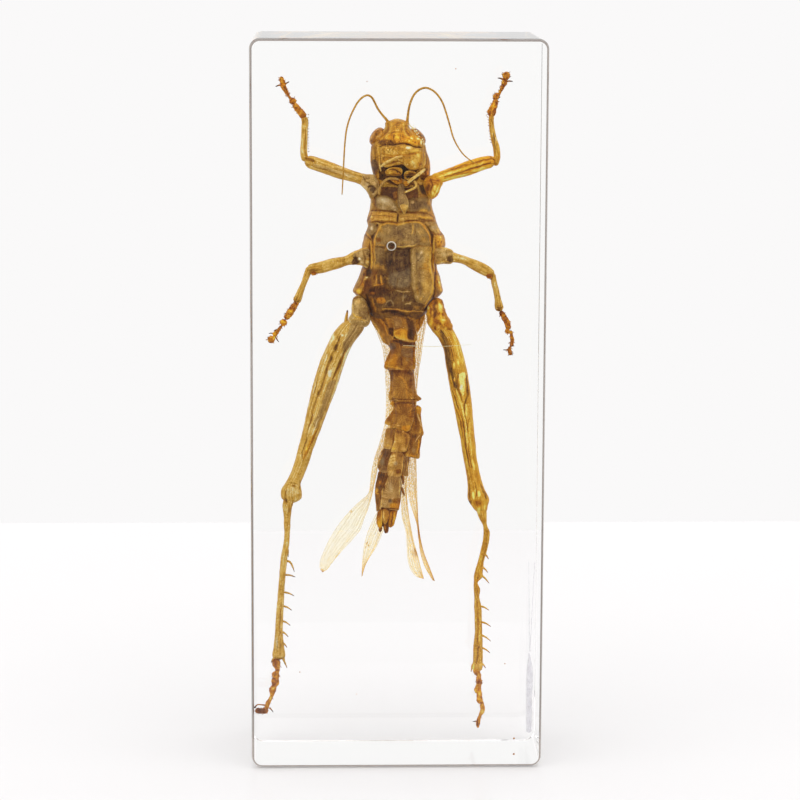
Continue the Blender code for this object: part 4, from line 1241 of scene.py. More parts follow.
@dataclass
class Thorax:
    """The breast: one ringed skin with its seams and plates, the hips and the breast spine."""

    trunk: Trunk
    fields: list[Feature] = field(default_factory=lambda: [
        # broad tones: amber flanks, a grey middle plate, and rust towards the hind body
        Stroke([(-4.1, 88.5), (-4.2, 84), (-4.9, 80.5), (-5.3, 77.5), (-5.6, 75), (-6.4, 72)], 0.8, 0.54,
            0.3),
        Stroke([(5.1, 88.5), (5.3, 84.5), (6.4, 81), (6.6, 78.5), (6, 75.5), (6.5, 72.5)], 0.9, 0.54, 0.6),
        Patch([(-5.4, 76), (-3, 75.2), (-0.5, 74.8), (2, 74.8), (2.4, 72), (4.6, 69.5), (4, 67), (-4, 67),
            (-5.6, 70.5), (-6.4, 72)], 0.28, 0.08, 0, 0.8),
        # the hollow round the breast spine, with the mouth's shadow over it
        Patch([(-2.6, 88), (-1.75, 88.5), (-0.95, 88.6), (-0.15, 88.3), (0.85, 88.1), (2.2, 88.1),
            (2.6, 87.6), (1.4, 87), (1, 86.35), (0.2, 85.8), (-0.95, 85.5), (-1.95, 85.9), (-2.6, 86.75)],
            0.12, 0.1, -0.5, 0.6),
        Patch([(-0.55, 86.75), (0, 86.85), (0.1, 86.1), (-0.45, 85.95)], 0.34, 0.45, 0, 0.2),
        Patch([(1.2, 86.8), (2.95, 87.2), (3.3, 86.05), (2.05, 85.4), (1.3, 86)], 0.17, 0.2, -0.35, 0.5),
        Patch([(3.4, 88.1), (4.3, 88.1), (4.9, 87.5), (4.75, 86.75), (3.9, 86.5), (3.4, 87.2)], 0.22, -0.6,
            -0.2, 0.35),
        Stroke([(3.1, 88.3), (3.2, 87.2), (3.15, 85.9)], 0.18, 0.56, 0.1, 0.15),
        Patch([(2.2, 89.9), (3.4, 90), (4.5, 89.5), (4.6, 88.4), (3.1, 88), (2.4, 88.7)], 0.32, 0.4, 0, 0.3),
        Patch([(-3.8, 89.2), (-2.7, 89.3), (-2.3, 88.4), (-2.6, 86.9), (-3.9, 87)], 0.26, 0.1, -0.1, 0.4),
        # the pale film left of the spine and the dull plate right of it
        Patch([(-3.2, 85.9), (-2.4, 86.3), (-1.2, 86), (-0.5, 85.4), (-0.1, 84.5), (-0.05, 83.95),
            (-0.95, 84.05), (-2.35, 84.2), (-3.2, 84.8)], 0.68, -0.55, 0.25, 0.6),
        Mark(-2, 85.6, 0.8, 0.35, 0.14, -0.1), Mark(-0.5, 84.6, 0.2, 0.25, 0.2),
        Mark(-0.35, 84.05, 0.15, 0.1, 0.3), Mark(-2.6, 84.8, 0.5, 0.3, -0.16, 0.2),
        Mark(-1.4, 84.5, 0.5, 0.25, -0.14, 0.3),
        Patch([(1.7, 85.6), (3.2, 86), (4.9, 85.9), (5, 84.9), (5, 84.2), (3.4, 84), (1.9, 84)], 0.42, -0.35,
            0.15, 0.4),
        Mark(2.25, 85.25, 0.25, 0.2, 0.4), Mark(3.9, 84.1, 0.6, 0.25, 0.2, 0.7),
        Mark(3.2, 84.9, 0.5, 0.4, -0.14), Mark(4.6, 85.2, 0.3, 0.6, 0.14, 0.6),
        Mark(2.6, 84.6, 0.3, 0.3, -0.12), Mark(3.4, 85.7, 0.6, 0.2, 0.12),
        Stroke([(-3.95, 86.2), (-3.9, 84.9), (-3.95, 84)], 0.22, 0.74, 0, 0.12),
        Stroke([(-3.4, 86), (-3.35, 84.6)], 0.16, 0.26, 0.2, -0.1),
        Stroke([(4.75, 86.8), (4.8, 85.5), (5, 84.2)], 0.14, 0.7, 0.5, 0.1),
        # the hind rim's two golden plates
        Patch([(-4, 83.75), (-2.6, 83.9), (-1.2, 83.75), (-0.05, 83.5), (0.02, 82.9), (-0.08, 82.4),
            (-1.3, 82.35), (-2.6, 82.4), (-3.95, 82.5), (-4.2, 83)], 0.6, 0.4, 0.3, 0.25),
        Patch([(0.25, 83.2), (0.85, 83.5), (1.95, 83.6), (2.9, 83.45), (3.3, 83.05), (2.85, 82.7),
            (1.85, 82.6), (0.95, 82.5), (0.28, 82.45)], 0.66, 0.3, 0.3, 0.2),
        Stroke([(-3.8, 83.2), (-2.6, 83.25), (-1.2, 83.15), (-0.2, 82.95)], 0.1, 0.34, 0.3, -0.1),
        Stroke([(-3.5, 82.7), (-2.2, 82.75), (-0.8, 82.65)], 0.08, 0.76, 0.3, 0.08),
        Stroke([(0.6, 83), (1.6, 83.15), (2.8, 83.1)], 0.07, 0.44, 0.3, -0.08),
        Mark(-2.6, 83.5, 0.5, 0.12, 0.14, 0.2),
        Stroke([(-3.8, 84.05), (-2.3, 84.05), (-1.2, 83.9), (-0.1, 83.65)], 0.14, 0.18, 0.2, -0.15),
        Stroke([(0.2, 83.8), (1.4, 83.85), (2.8, 83.75), (4.4, 83.6)], 0.14, 0.2, 0.3, -0.12),
        Stroke([(0.12, 83.5), (0.14, 82.3)], 0.1, 0.05, 0, -0.15),
        Stroke([(1, 82.35), (1.95, 82.5), (2.75, 82.5), (3.5, 82.3)], 0.14, 0.1, 0.1, -0.12),
        Stroke([(-3.8, 82.3), (-2.4, 82.3), (-1.2, 82.25), (0, 82.25)], 0.12, 0.14, 0.1, -0.15),
        Stroke([(3.05, 83.15), (4.2, 83), (5.6, 82.85)], 0.2, 0.66, 0.7, 0.18),
        Stroke([(3.3, 82.75), (4.4, 82.6), (5.5, 82.45)], 0.11, 0.2, 0.2, -0.12),
        Stroke([(4.3, 83.65), (5.2, 83.2), (5.85, 82.6)], 0.1, 0.2, 0.2),
        Stroke([(3.5, 82.4), (4.8, 82.3), (5.9, 82.1)], 0.1, 0.24, 0.2, -0.12),
        Stroke([(-3.85, 83.6), (-4.25, 83), (-4.6, 82.35)], 0.12, 0.18, 0.2, -0.1),
        Mark(-3.95, 83.05, 0.2, 0.14, 0.4), Mark(-2.85, 82.1, 0.25, 0.1, 0.4),
        Mark(4.3, 82.2, 0.2, 0.12, 0.4)])
    middle: list[Feature] = field(default_factory=lambda: [
        # the grey-green middle plate inside its golden rim
        Stroke([(-2.9, 81.95), (-3.45, 81.1), (-3.7, 80.2), (-3.85, 79.3)], 0.22, 0.06, 0, -0.3),
        Stroke([(4.5, 81.75), (5, 80.8), (5.25, 80), (5.3, 79.1)], 0.2, 0.08, 0, -0.3),
        Patch([(-3.2, 79.2), (-3.15, 80.3), (-2.95, 81), (-2.45, 81.7), (-1.7, 82), (0, 81.9), (1.4, 82.15),
            (2.6, 82.2), (3.5, 82), (4.15, 81.5), (4.55, 80.6), (4.85, 79.8), (4.95, 78.9), (3.2, 78.8),
            (2.2, 78.55), (0.6, 78.5), (-1, 78.8), (-3.2, 78.7)], 0.5, -0.35, 0.3, 0.2),
        Mark(-1.8, 80.9, 0.8, 0.5, 0.08, 0.15), Mark(0.6, 80.4, 0.8, 0.9, -0.08, lift=0.1),
        Mark(3.5, 80.9, 0.6, 0.6, 0.1, 0.35), Mark(1.1, 79.2, 1.1, 0.3, 0.08, 0.2),
        Mark(-2.4, 79.7, 0.5, 0.5, -0.1, 0.2), Mark(4, 79.6, 0.6, 0.5, 0.02, 0.4),
        Mark(-0.6, 79.6, 0.6, 0.5, 0.05, 0.2), Mark(-2.5, 81.2, 0.3, 0.5, 0.08, 0.4),
        Stroke([(0.9, 81.8), (0.8, 80.9), (0.9, 79.9), (1, 78.9)], 0.12, 0.4, -0.3, -0.1),
        Stroke([(2.25, 82), (2.3, 81.3), (2.2, 80.5)], 0.13, 0.68, 0.5, 0.06),
        Stroke([(2.6, 81.4), (2.7, 80.8), (2.6, 80.4)], 0.08, 0.3, 0.2),
        Mark(-1.2, 81.5, 0.3, 0.15, 0.1, 0.2),
        Stroke([(-3.35, 79), (-3.3, 79.7), (-3.18, 80.24), (-3, 80.8), (-2.7, 81.36), (-2.27, 81.85),
            (-1.7, 82.08), (-0.7, 82.02), (0, 81.97), (0.62, 82.02), (1.4, 82.25), (2.4, 82.3), (3.5, 82.13),
            (4.07, 81.7), (4.45, 81), (4.78, 80.36), (4.95, 79.9), (5.02, 79)], 0.17, 0.66, 0.65, 0.2),
        Patch([(-3.1, 79.9), (-2.6, 79.95), (-2.45, 79.5), (-3, 79.35)], 0.2, 0.35, 0, 0.25),
        Mark(-0.9, 78.7, 0.6, 0.6, -0.3, 0.1),
        # the ridge over the sunken middle
        Stroke([(-0.5, 78.25), (0.6, 78.25), (1.6, 78.25), (2.6, 78.4)], 0.18, 0.08, 0, -0.25),
        Stroke([(-0.1, 78.65), (0.62, 78.6), (1.5, 78.6), (2.18, 78.65), (2.62, 78.8), (3, 79)], 0.15, 0.8,
            0.35, 0.3),
        Stroke([(-3.6, 78.85), (-2.7, 78.9), (-1.8, 78.76)], 0.11, 0.66, 0.5, 0.12),
        Stroke([(-3.4, 78.55), (-2.5, 78.55), (-1.7, 78.4)], 0.1, 0.24, 0.1, -0.1),
        Patch([(-1.5, 78.1), (0.2, 78.15), (1.9, 78.2), (2.05, 76.9), (2.15, 75.6), (2.1, 74.4), (0.5, 74),
            (-1.2, 74.2), (-1.8, 75.4), (-2, 76.8)], 0.19, -0.25, -0.45, 0.6),
        Patch([(0, 74.8), (1.9, 75.3), (2.2, 73.6), (1.8, 72.6), (0, 72.4), (-1.3, 73), (-1, 74.6)], 0.42,
            -0.8, 0.1, 0.8),
        Stroke([(-0.38, 77.9), (-0.42, 77.2), (-0.38, 76.4)], 0.1, 0.56, -0.2, 0.15),
        Stroke([(0.15, 77.6), (0.2, 76.6), (0.15, 75.4)], 0.09, 0.34, -0.2), Mark(-1, 76.2, 0.3, 0.6, -0.1),
        Stroke([(1.1, 77.8), (1.15, 76.4), (1.1, 75)], 0.12, 0.12), Mark(1.6, 76.8, 0.2, 0.9, 0.1),
        Stroke([(-1.4, 77.6), (-1.5, 76.6), (-1.4, 75.8)], 0.1, 0.36, -0.3),
        Mark(0.7, 76.4, 0.25, 0.8, 0.1, -0.1),
        Patch([(-3.35, 78.3), (-2, 78.3), (-1.85, 77.4), (-2.05, 76.6), (-2.2, 75.9), (-3.2, 75.9)], 0.44,
            -0.35, 0.1, 0.4),
        Mark(-2.6, 77.6, 0.4, 0.3, 0.1), Mark(-2.4, 76.2, 0.4, 0.5, -0.16),
        Mark(-2.9, 75.9, 0.3, 0.3, 0.12, 0.4)])
    flanks: list[Feature] = field(default_factory=lambda: [
        # left
        Patch([(-4.5, 82.15), (-3.6, 82.1), (-3.1, 81.7), (-3.85, 80.4), (-4.7, 80.9)], 0.56, -0.3, 0.1,
            0.25),
        Mark(-3.8, 81.36, 0.22, 0.3, 0.4, -0.3), Mark(-4.25, 81, 0.2, 0.4, -0.15),
        Mark(-4.4, 81.9, 0.2, 0.3, 0.1, 0.5),
        Patch([(-5.1, 79.7), (-4.2, 80), (-3.98, 78.9), (-4.2, 78.4), (-5.25, 78.6)], 0.52, 0.3, 0.1, 0.25),
        Stroke([(-4.95, 80.6), (-4.3, 80), (-3.85, 79.5)], 0.13, 0.22, 0.2, -0.12),
        Stroke([(-5, 80.95), (-4.4, 80.4), (-3.95, 79.9)], 0.1, 0.7, 0.6, 0.1),
        Stroke([(-4.15, 79.4), (-4.15, 77.8), (-4.1, 76.3), (-4.2, 75.3)], 0.13, 0.14, 0.1, -0.2),
        Stroke([(-3.63, 79.5), (-3.63, 77.8), (-3.58, 76.2)], 0.1, 0.32, 0.4),
        Stroke([(-3.88, 79.8), (-3.88, 78), (-3.82, 76.3), (-3.87, 75.2)], 0.13, 0.68, 0.65, 0.2),
        Stroke([(-3.43, 79.5), (-3.43, 78), (-3.4, 76.4), (-3.45, 75.2)], 0.1, 0.66, 0.5, 0.16),
        Patch([(-5.3, 75.4), (-4.6, 75.2), (-4.75, 73.4), (-5.1, 72.2), (-5.8, 71.4), (-6.6, 71.5),
            (-6.5, 72.3), (-5.9, 73.6)], 0.52, 0.3, 0.15, 0.3),
        Stroke([(-5.4, 74.8), (-5.9, 73.4), (-6.4, 72.1)], 0.14, 0.76, 0.2, 0.05),
        Mark(-5.8, 71.8, 0.45, 0.4, 0.2, 0.7),
        Stroke([(-4.95, 74.6), (-5.25, 73.4), (-5.8, 72.3)], 0.1, 0.24, 0.3),
        Mark(-5.2, 72.9, 0.2, 0.5, -0.14, 0.4),
        Patch([(-4.6, 75.2), (-3.95, 75.1), (-3.9, 74.2), (-4.35, 73.9)], 0.12, 0, -0.2, 0.3),
        Mark(-4.57, 74, 0.17, 0.14, 0.6, 0), Mark(-4.8, 73.7, 0.13, 0.12, 0.5),
        Mark(-4.9, 74.4, 0.2, 0.2, -0.25),
        Patch([(-4.7, 73.6), (-4.1, 73.6), (-4, 72.6), (-4.6, 71.8), (-5.3, 71.4), (-4.9, 72.8)], 0.16, 0.3,
            -0.2, 0.4),
        Patch([(-3.6, 75), (-2.9, 75), (-2.8, 73.6), (-2.9, 72.6), (-3.5, 72.5)], 0.3, 0.25, 0.1, 0.5),
        Patch([(-2.8, 75), (-1.9, 75), (-1.5, 73.4), (-1.4, 72.8), (-2.6, 72.9)], 0.26, 0, 0, 0.5),
        Stroke([(-2.55, 74.2), (-2.4, 73.5), (-2.2, 72.9)], 0.15, 0.7, 0.85, 0.12),
        Stroke([(-3.2, 74.4), (-3.1, 73.6), (-3.2, 72.9)], 0.08, 0.68, 0.6),
        Mark(-3.5, 73.9, 0.12, 0.3, -0.25),
        Patch([(-4.2, 72.3), (-2.6, 72.5), (-1.3, 72.2), (-1.3, 71.4), (-2.6, 71.1), (-4.2, 71.1)], 0.12, 0.1,
            -0.2, 0.5),
        Stroke([(-3.5, 72.75), (-2.7, 72.9), (-2, 73)], 0.12, 0.46, 0.8, 0.08),
        Mark(-3.7, 71.6, 0.4, 0.2, 0.2, 0.6), Mark(1.4, 73.5, 0.4, 0.25, 0.12),
        Mark(0.6, 73, 0.3, 0.25, -0.12), Mark(-0.6, 72.7, 0.3, 0.25, 0.1, -0.2),
        Stroke([(0, 74.2), (0.02, 73.2), (0.05, 72.2)], 0.08, 0.16, -0.2),
        Mark(-1.4, 73.8, 0.3, 0.3, 0.12, 0.2),
        # right
        Patch([(4.3, 82.15), (5.8, 82.15), (6, 81.5), (6.4, 80.9), (5.6, 80.5), (5, 81.1)], 0.58, 0, 0.12,
            0.25),
        Mark(5.4, 81.5, 0.4, 0.3, 0.16, -0.4),
        Stroke([(5.1, 80.9), (5.8, 80.4), (6.8, 80.6)], 0.12, 0.2, 0.3, -0.12),
        Mark(6.2, 81, 0.3, 0.3, 0.1, 0.5), Mark(4.9, 81.7, 0.25, 0.2, -0.2),
        Mark(5.9, 80.9, 0.12, 0.15, -0.25),
        Patch([(5.9, 80.3), (6.7, 80.4), (7.15, 79.6), (7.15, 78.95), (6.5, 78.8), (5.9, 79)], 0.56, 0.7,
            0.15, 0.3),
        Mark(6.18, 79.36, 0.13, 0.14, -0.5), Mark(6.6, 79.36, 0.12, 0.14, -0.45),
        Mark(6.4, 80, 0.2, 0.12, 0.25),
        Stroke([(5.22, 80.2), (5.22, 78), (5.22, 76), (5.32, 75)], 0.11, 0.14, 0.1, -0.2),
        Stroke([(5.5, 80.4), (5.5, 78), (5.52, 76), (5.52, 75)], 0.13, 0.7, 0.6, 0.18),
        Stroke([(5.84, 79.7), (5.8, 77.5), (5.75, 76)], 0.11, 0.2, 0.2, -0.12),
        # the tan plate down to its point
        Patch([(2.05, 78.3), (3.5, 78.6), (5, 78.6), (5.15, 76.5), (5.1, 74.9), (5.4, 73.8), (5.55, 72.64),
            (5.35, 71.5), (4.86, 70.7), (4.2, 69.7), (3.6, 70), (2.8, 70.5), (2.5, 71.3), (2.3, 72.3),
            (2.15, 73.4), (2.08, 75), (2.1, 77)], 0.6, -0.15, 0.4, 0.2),
        Mark(4.6, 76.5, 0.7, 2.6, 0.06, 0.4), Mark(4.5, 72.4, 0.8, 1.6, 0.05, 0.35),
        Mark(3.3, 76.9, 0.7, 1, 0.04, -0.3),
        Stroke([(2.4, 78.2), (2.4, 76.5), (2.45, 74.9), (2.6, 73), (2.85, 71.6), (3.2, 70.5)], 0.2, 0.68,
            -0.25, 0.1),
        Stroke([(2.9, 77.8), (2.9, 76), (2.95, 74.5)], 0.14, 0.42, -0.3), Mark(3, 72, 0.3, 0.8, -0.06, 0.3),
        Stroke([(3.4, 75.5), (3.4, 73.5), (3.5, 71.4)], 0.3, 0.44, -0.25, -0.05),
        Mark(4.9, 75, 0.2, 0.3, -0.14, 0.5), Mark(3.65, 77.8, 0.3, 0.25, 0.3),
        Mark(3.07, 77.5, 0.25, 0.3, -0.1, -0.2),
        Stroke([(3.2, 75.3), (4.2, 75.2), (5, 75.1)], 0.08, 0.4, 0.5, -0.05),
        Stroke([(2.84, 76.36), (3.3, 76.8), (3.75, 77.25)], 0.09, 0.26, -0.5),
        Mark(4.2, 75.7, 0.5, 0.4, -0.08, 0.2), Mark(4, 73.6, 0.4, 0.9, 0.06),
        Mark(4.6, 74.2, 0.25, 0.5, -0.08), Mark(3.6, 70.7, 0.3, 0.3, 0.1, 0.4),
        Stroke([(5.02, 78.5), (5.02, 76.5), (5, 74.9), (5.34, 73.8), (5.47, 72.64), (5.27, 71.55),
            (4.8, 70.75), (4.25, 69.9)], 0.16, 0.68, 0.75, 0.16),
        Stroke([(5.72, 76), (5.72, 74), (5.76, 72.4), (5.64, 71.3)], 0.13, 0.07, 0.1, -0.25),
        Stroke([(6, 75.7), (6.05, 73.9), (6.15, 72.2)], 0.2, 0.34, 0.6, 0.06),
        Stroke([(6.2, 74.2), (6.45, 72.9), (6.65, 71.9)], 0.26, 0.76, 1, 0.12),
        Mark(6, 74.9, 0.2, 0.4, 0.15, 0.5), Mark(6.4, 73.2, 0.12, 0.2, 0.3),
        Mark(6.1, 73.3, 0.12, 0.25, -0.3), Mark(6.5, 72.4, 0.12, 0.15, -0.25),
        Stroke([(5.55, 71.3), (4.65, 69.7), (4, 68.9)], 0.16, 0.07, 0.1, -0.3),
        # the rear breast plate
        Patch([(-3.9, 71), (-1.3, 71.4), (0.3, 72.2), (2.1, 72.2), (2.5, 71.1), (2.8, 70.4), (3.7, 69.7),
            (3.7, 68.9), (1.7, 68.9), (0.1, 69.2), (-1.7, 69.3), (-3.4, 70)], 0.26, -0.1, -0.05, 0.6),
        Patch([(-2.95, 70.75), (-1.9, 70.85), (-1.6, 70.4), (-2.3, 69.95), (-3, 70.2)], 0.46, 0.7, 0.08,
            0.25),
        Stroke([(-1.75, 69.8), (-1.5, 70.25), (-1.1, 70.42), (-0.7, 70.2), (-0.6, 69.7)], 0.12, 0.58, -0.6,
            0.1),
        Mark(-1.15, 69.9, 0.3, 0.25, -0.12, -0.3), Mark(0.2, 70.4, 0.5, 0.5, 0.08),
        Mark(-3.1, 70.8, 0.4, 0.3, 0.06, 0.3),
        Stroke([(-0.3, 71.95), (0.5, 71.85), (1.1, 71.8), (2.2, 71.75)], 0.08, 0.86, -0.2),
        Mark(2, 70.1, 0.2, 0.15, 0.4), Mark(2.9, 69.4, 0.4, 0.25, 0.15, 0.3),
        Mark(1.2, 71.1, 0.5, 0.3, 0.14, -0.5),
        Stroke([(0.9, 71.5), (0.95, 70.9), (0.9, 70.3)], 0.12, 0.66, -0.4, 0.06),
        Stroke([(1.2, 69.85), (1.7, 70.05), (2.2, 69.8)], 0.08, 0.82, -0.3),
        Stroke([(-2.2, 68.75), (0, 68.6), (0.9, 68.3), (2.2, 67.8)], 0.3, 0.04, 0.1, -0.3),
        Stroke([(-2.2, 69.2), (0.1, 69.08), (1.7, 68.8), (3.7, 68.8)], 0.12, 0.66, 0.65, 0.16),
        Stroke([(5.05, 70.85), (4.55, 70), (4, 69.34)], 0.1, 0.7, 0.6, 0.1), Mark(3.8, 68.7, 0.2, 0.14, 0.5),
        Stroke([(-4.6, 71.3), (-4.1, 69.4), (-3.7, 67.7)], 0.2, 0.06, 0.1, -0.35),
        Stroke([(-3.75, 70.9), (-3.55, 69.8), (-3.2, 68.8)], 0.16, 0.4, 0.6, 0.05)])
    hip_shields: list[Shield] = field(default_factory=lambda: [
        Shield([(-5.45, 89.5), (-4.4, 89.5), (-3.4, 89.3), (-2.9, 88.4), (-2.8, 87.3), (-3.3, 86.2),
            (-4, 85.8), (-4.35, 86.5), (-4.95, 87.3), (-5.55, 88.1), (-5.7, 88.8)], 0.5, 1.3, 0.68, -0.15,
            0.1, 0.2, 1.3, 2.3, [
                Stroke([(-4.4, 87.6), (-3.9, 87.75), (-3.45, 87.2), (-3.7, 86.7)], 0.2, 0.12, -0.3, -0.15),
                Mark(-3.85, 87.15, 0.3, 0.3, -0.25, -0.4), Mark(-3.65, 86.45, 0.25, 0.2, 0.25, -0.2),
                Stroke([(-5.4, 88.2), (-4.9, 87.3), (-4.4, 86.3)], 0.14, 0.78, 0.1, 0.08),
                Mark(-4.6, 88.9, 0.5, 0.2, -0.2), Stroke([(-5.2, 89.2), (-4.6, 88.3), (-4, 88)], 0.12, 0.3),
                Mark(-4.6, 88, 0.3, 0.3, 0.12, -0.3)]),
        Shield([(3.9, 88.6), (4.7, 89.2), (5.6, 89.4), (6.5, 89), (6.75, 88.3), (6.4, 87.3), (5.8, 86.1),
            (5.2, 85.8), (4.5, 86.2), (4.1, 87.2)], 0.5, 1.3, 0.5, 0.7, 0.1, 0.2, 1.3, 2.3, [
                Stroke([(6.35, 88.2), (6.05, 87.2), (5.5, 86.2)], 0.15, 0.84, 0.9, 0.1),
                Mark(4.6, 87.4, 0.4, 0.7, -0.3, -0.4), Mark(5.6, 87.6, 0.25, 0.5, 0.3),
                Mark(5.2, 88.6, 0.5, 0.15, -0.3), Mark(5.3, 86.8, 0.2, 0.3, 0.25),
                Stroke([(4.9, 88.8), (5.2, 87.8), (5, 86.6)], 0.12, 0.16, 0.3, -0.1),
                Mark(6, 88.6, 0.25, 0.15, -0.3)]),
        Shield([(-6.7, 77.7), (-5.8, 78.1), (-5, 78.5), (-4.2, 78.5), (-3.95, 77.5), (-4.05, 76.2),
            (-4.3, 75.4), (-5.1, 75.7), (-6, 75.9), (-6.9, 75.9), (-7, 76.9)], 0.5, 1.2, 0.6, -0.25, 0.1, 0.2,
            1.3, 2.3, [
                Stroke([(-6.7, 77.6), (-5.6, 78.2), (-4.5, 78.5)], 0.15, 0.7, 0.5, 0.1),
                Mark(-4.4, 76.4, 0.3, 0.6, 0.1, 0.6),
                Patch([(-6.8, 76.9), (-6, 76.9), (-5.7, 76.1), (-6.7, 76)], 0.14, 0, -0.1, 0.3),
                # painted highlight: a small white-blue glint on the hip
                Mark(-5.8, 76.7, 0.25, 0.2, 0.5, -0.4),
                Stroke([(-5.2, 78), (-4.9, 77), (-4.9, 76.1)], 0.13, 0.24, 0.1),
                Mark(-5.5, 77.3, 0.4, 0.4, 0.08),
                Stroke([(-6.2, 75.95), (-5.2, 75.8), (-4.4, 75.5)], 0.12, 0.7, 0.5)]),
        Shield([(5.6, 78.7), (6.6, 78.6), (7.5, 78.4), (8.3, 78), (8.5, 76.9), (8.2, 76.1), (7, 76.05),
            (5.9, 75.95), (5.5, 77.2)], 0.5, 1.2, 0.68, -0.1, 0.1, 0.2, 1.3, 2.3, [
                Stroke([(5.9, 78.5), (6.9, 78.5), (8, 78.1)], 0.14, 0.74, 0.5, 0.1),
                Mark(7.5, 76.6, 0.2, 0.15, 0.6, -0.3),
                Patch([(7.4, 77), (8.4, 77.1), (8.4, 76.4), (7.5, 76.4)], 0.2, 0, -0.1, 0.3),
                Mark(6.3, 77.4, 0.3, 0.6, -0.16),
                Stroke([(6, 76.2), (6.9, 76.3), (7.8, 76.3)], 0.12, 0.74, 0.4),
                Mark(7.1, 77.5, 0.4, 0.3, 0.12, -0.2)]),
        Shield([(-6.5, 70.95), (-5.9, 71.3), (-5.1, 70.9), (-4.5, 70), (-4.1, 68.6), (-4, 67.5), (-4.6, 66.5),
            (-5.6, 66.4), (-6.9, 66.6), (-7.3, 67.6), (-6.85, 68.5), (-6.84, 69.5)], 0.5, 1.5, 0.66, -0.2,
            0.1, 0.2, 1.5, 2.3, [
                Patch([(-5.6, 69.2), (-4.6, 69.4), (-4.2, 68.2), (-4.7, 67.6), (-5.5, 67.9)], 0.4, -0.3, 0,
                    0.4),
                Stroke([(-6.8, 68.6), (-6.2, 68), (-5.3, 67.9)], 0.16, 0.66, 0.7, 0.08),
                Stroke([(-7, 67.6), (-5.7, 67.6), (-4.3, 67.4)], 0.12, 0.76, 0.4, 0.14),
                Mark(-5.2, 70.1, 0.4, 0.3, -0.12),
                Stroke([(-4.7, 70.9), (-4.4, 69.6), (-4.2, 68.4)], 0.12, 0.22, 0.2),
                Mark(-5.9, 70.3, 0.4, 0.4, 0.1, 0.3),
                Stroke([(-6.8, 70.3), (-6.2, 70.9), (-5.4, 71)], 0.12, 0.22, 0.3),
                Mark(-6.2, 69.4, 0.3, 0.4, -0.1, -0.1),
                Stroke([(-6.7, 70), (-6.6, 69.2), (-6.6, 68.7)], 0.1, 0.76, 0.3),
                Mark(-5, 66.9, 0.6, 0.25, -0.2)]),
        Shield([(4.5, 69.2), (5.2, 70.3), (5.9, 70.9), (6.7, 70.7), (7.1, 69.5), (7.55, 68.2), (8.25, 67),
            (8.4, 65.9), (6.9, 65.6), (5.5, 65.8), (4.8, 67), (4.45, 68.2)], 0.5, 1.5, 0.46, 0.6, 0.05, 0.2,
            1.5, 2.3, [
                Stroke([(5.6, 70.8), (5.8, 69.4), (5.6, 67.8)], 0.42, 0.16, 0.2, -0.15),
                Stroke([(6.35, 70.2), (6.5, 69), (6.6, 67.6), (7, 66.6)], 0.28, 0.74, 1, 0.1),
                Mark(5.1, 66.9, 0.3, 0.5, 0.2, 0.3),
                Stroke([(4.6, 68.9), (4.8, 68.2), (5.2, 67.3)], 0.26, 0.66, 0.9, 0.1),
                Mark(4.7, 69.3, 0.25, 0.25, 0.35), Mark(5.9, 69.6, 0.14, 0.3, 0.3, 0.3),
                Mark(6.4, 68.5, 0.14, 0.2, -0.35), Mark(6.6, 69.5, 0.1, 0.2, 0.3),
                Stroke([(6.75, 70.6), (7.15, 69.4), (7.5, 68.2)], 0.13, 0.26, 0.5),
                Mark(6, 67.2, 0.3, 0.4, -0.2), Mark(7.5, 66.9, 0.35, 0.5, -0.1, 0.3),
                Mark(6.2, 66.4, 0.3, 0.4, 0.2), Mark(6.9, 68.3, 0.12, 0.3, -0.4),
                Mark(5.3, 68.6, 0.2, 0.3, 0.3, 0.3), Mark(7, 67.5, 0.2, 0.14, 0.35),
                Mark(5.8, 66.2, 0.14, 0.3, -0.35), Mark(6.5, 66.9, 0.1, 0.2, -0.35),
                Stroke([(4.9, 69.8), (5.1, 68.8), (5, 67.8)], 0.12, 0.2, 0.5),
                Mark(7.3, 66.2, 0.15, 0.3, 0.3)])])

    def hips(self) -> list[Skin]:
        """Makes the six hip joints as rounded lumps."""
        return [shield.skin(at_depth(-1.6), 60, 90).roughen(0.6, 0.13, seed=50 + number, tone=0.18)
                for number, shield in enumerate(self.hip_shields)]

    def breast_spine(self) -> Skin:
        """Makes the peg between the front hips, waisted above and pointed below."""
        stations = [(0.55, -3.4, 88, 0.5, 0.5), (0.55, -3.8, 87, 0.52, 0.5), (0.7, -4.3, 86, 0.68, 0.5),
            (0.85, -4.8, 85.2, 0.82, 0.5), (0.98, -5, 84.6, 0.72, 0.45), (1, -5.1, 84.1, 0.45, 0.35),
            (1.05, -5.1, 83.55, 0.1, 0.12)]
        return limb(stations, 90, 60, 2.3, shade=0.5, glow=-0.35).painted([
            Patch([(0.3, 84.75), (1.05, 84.95), (1.7, 84.75), (1.4, 84), (1.05, 83.5), (0.65, 84)], 0.76,
                0.3),
            Stroke([(1.1, 86.35), (1.45, 85.85), (1.62, 85.2), (1.62, 84.6)], 0.09, 0.76, -0.1),
            Stroke([(0.2, 86.6), (0.15, 85.6), (0.2, 84.9)], 0.08, 0.3), Mark(0.75, 85.6, 0.3, 0.5, 0.08),
            Mark(0.6, 87.2, 0.4, 0.5, -0.15)])

    def build(self) -> list[bpy.types.Object]:
        """Makes and dresses every piece of the breast."""
        skin = cuts(self.trunk.thorax, 320, 280, square=2.5, shade=0.48, glow=0.15)
        skin = skin.roughen(1.3, 0.09, seed=5, tone=0.1).painted(self.fields + self.middle + self.flanks)
        return [insect_piece("thorax", [skin], BODY_SHELL),
                insect_piece("hips", self.hips(), BODY_SHELL),
                insect_piece("breast_spine", [self.breast_spine()], BODY_SHELL)]


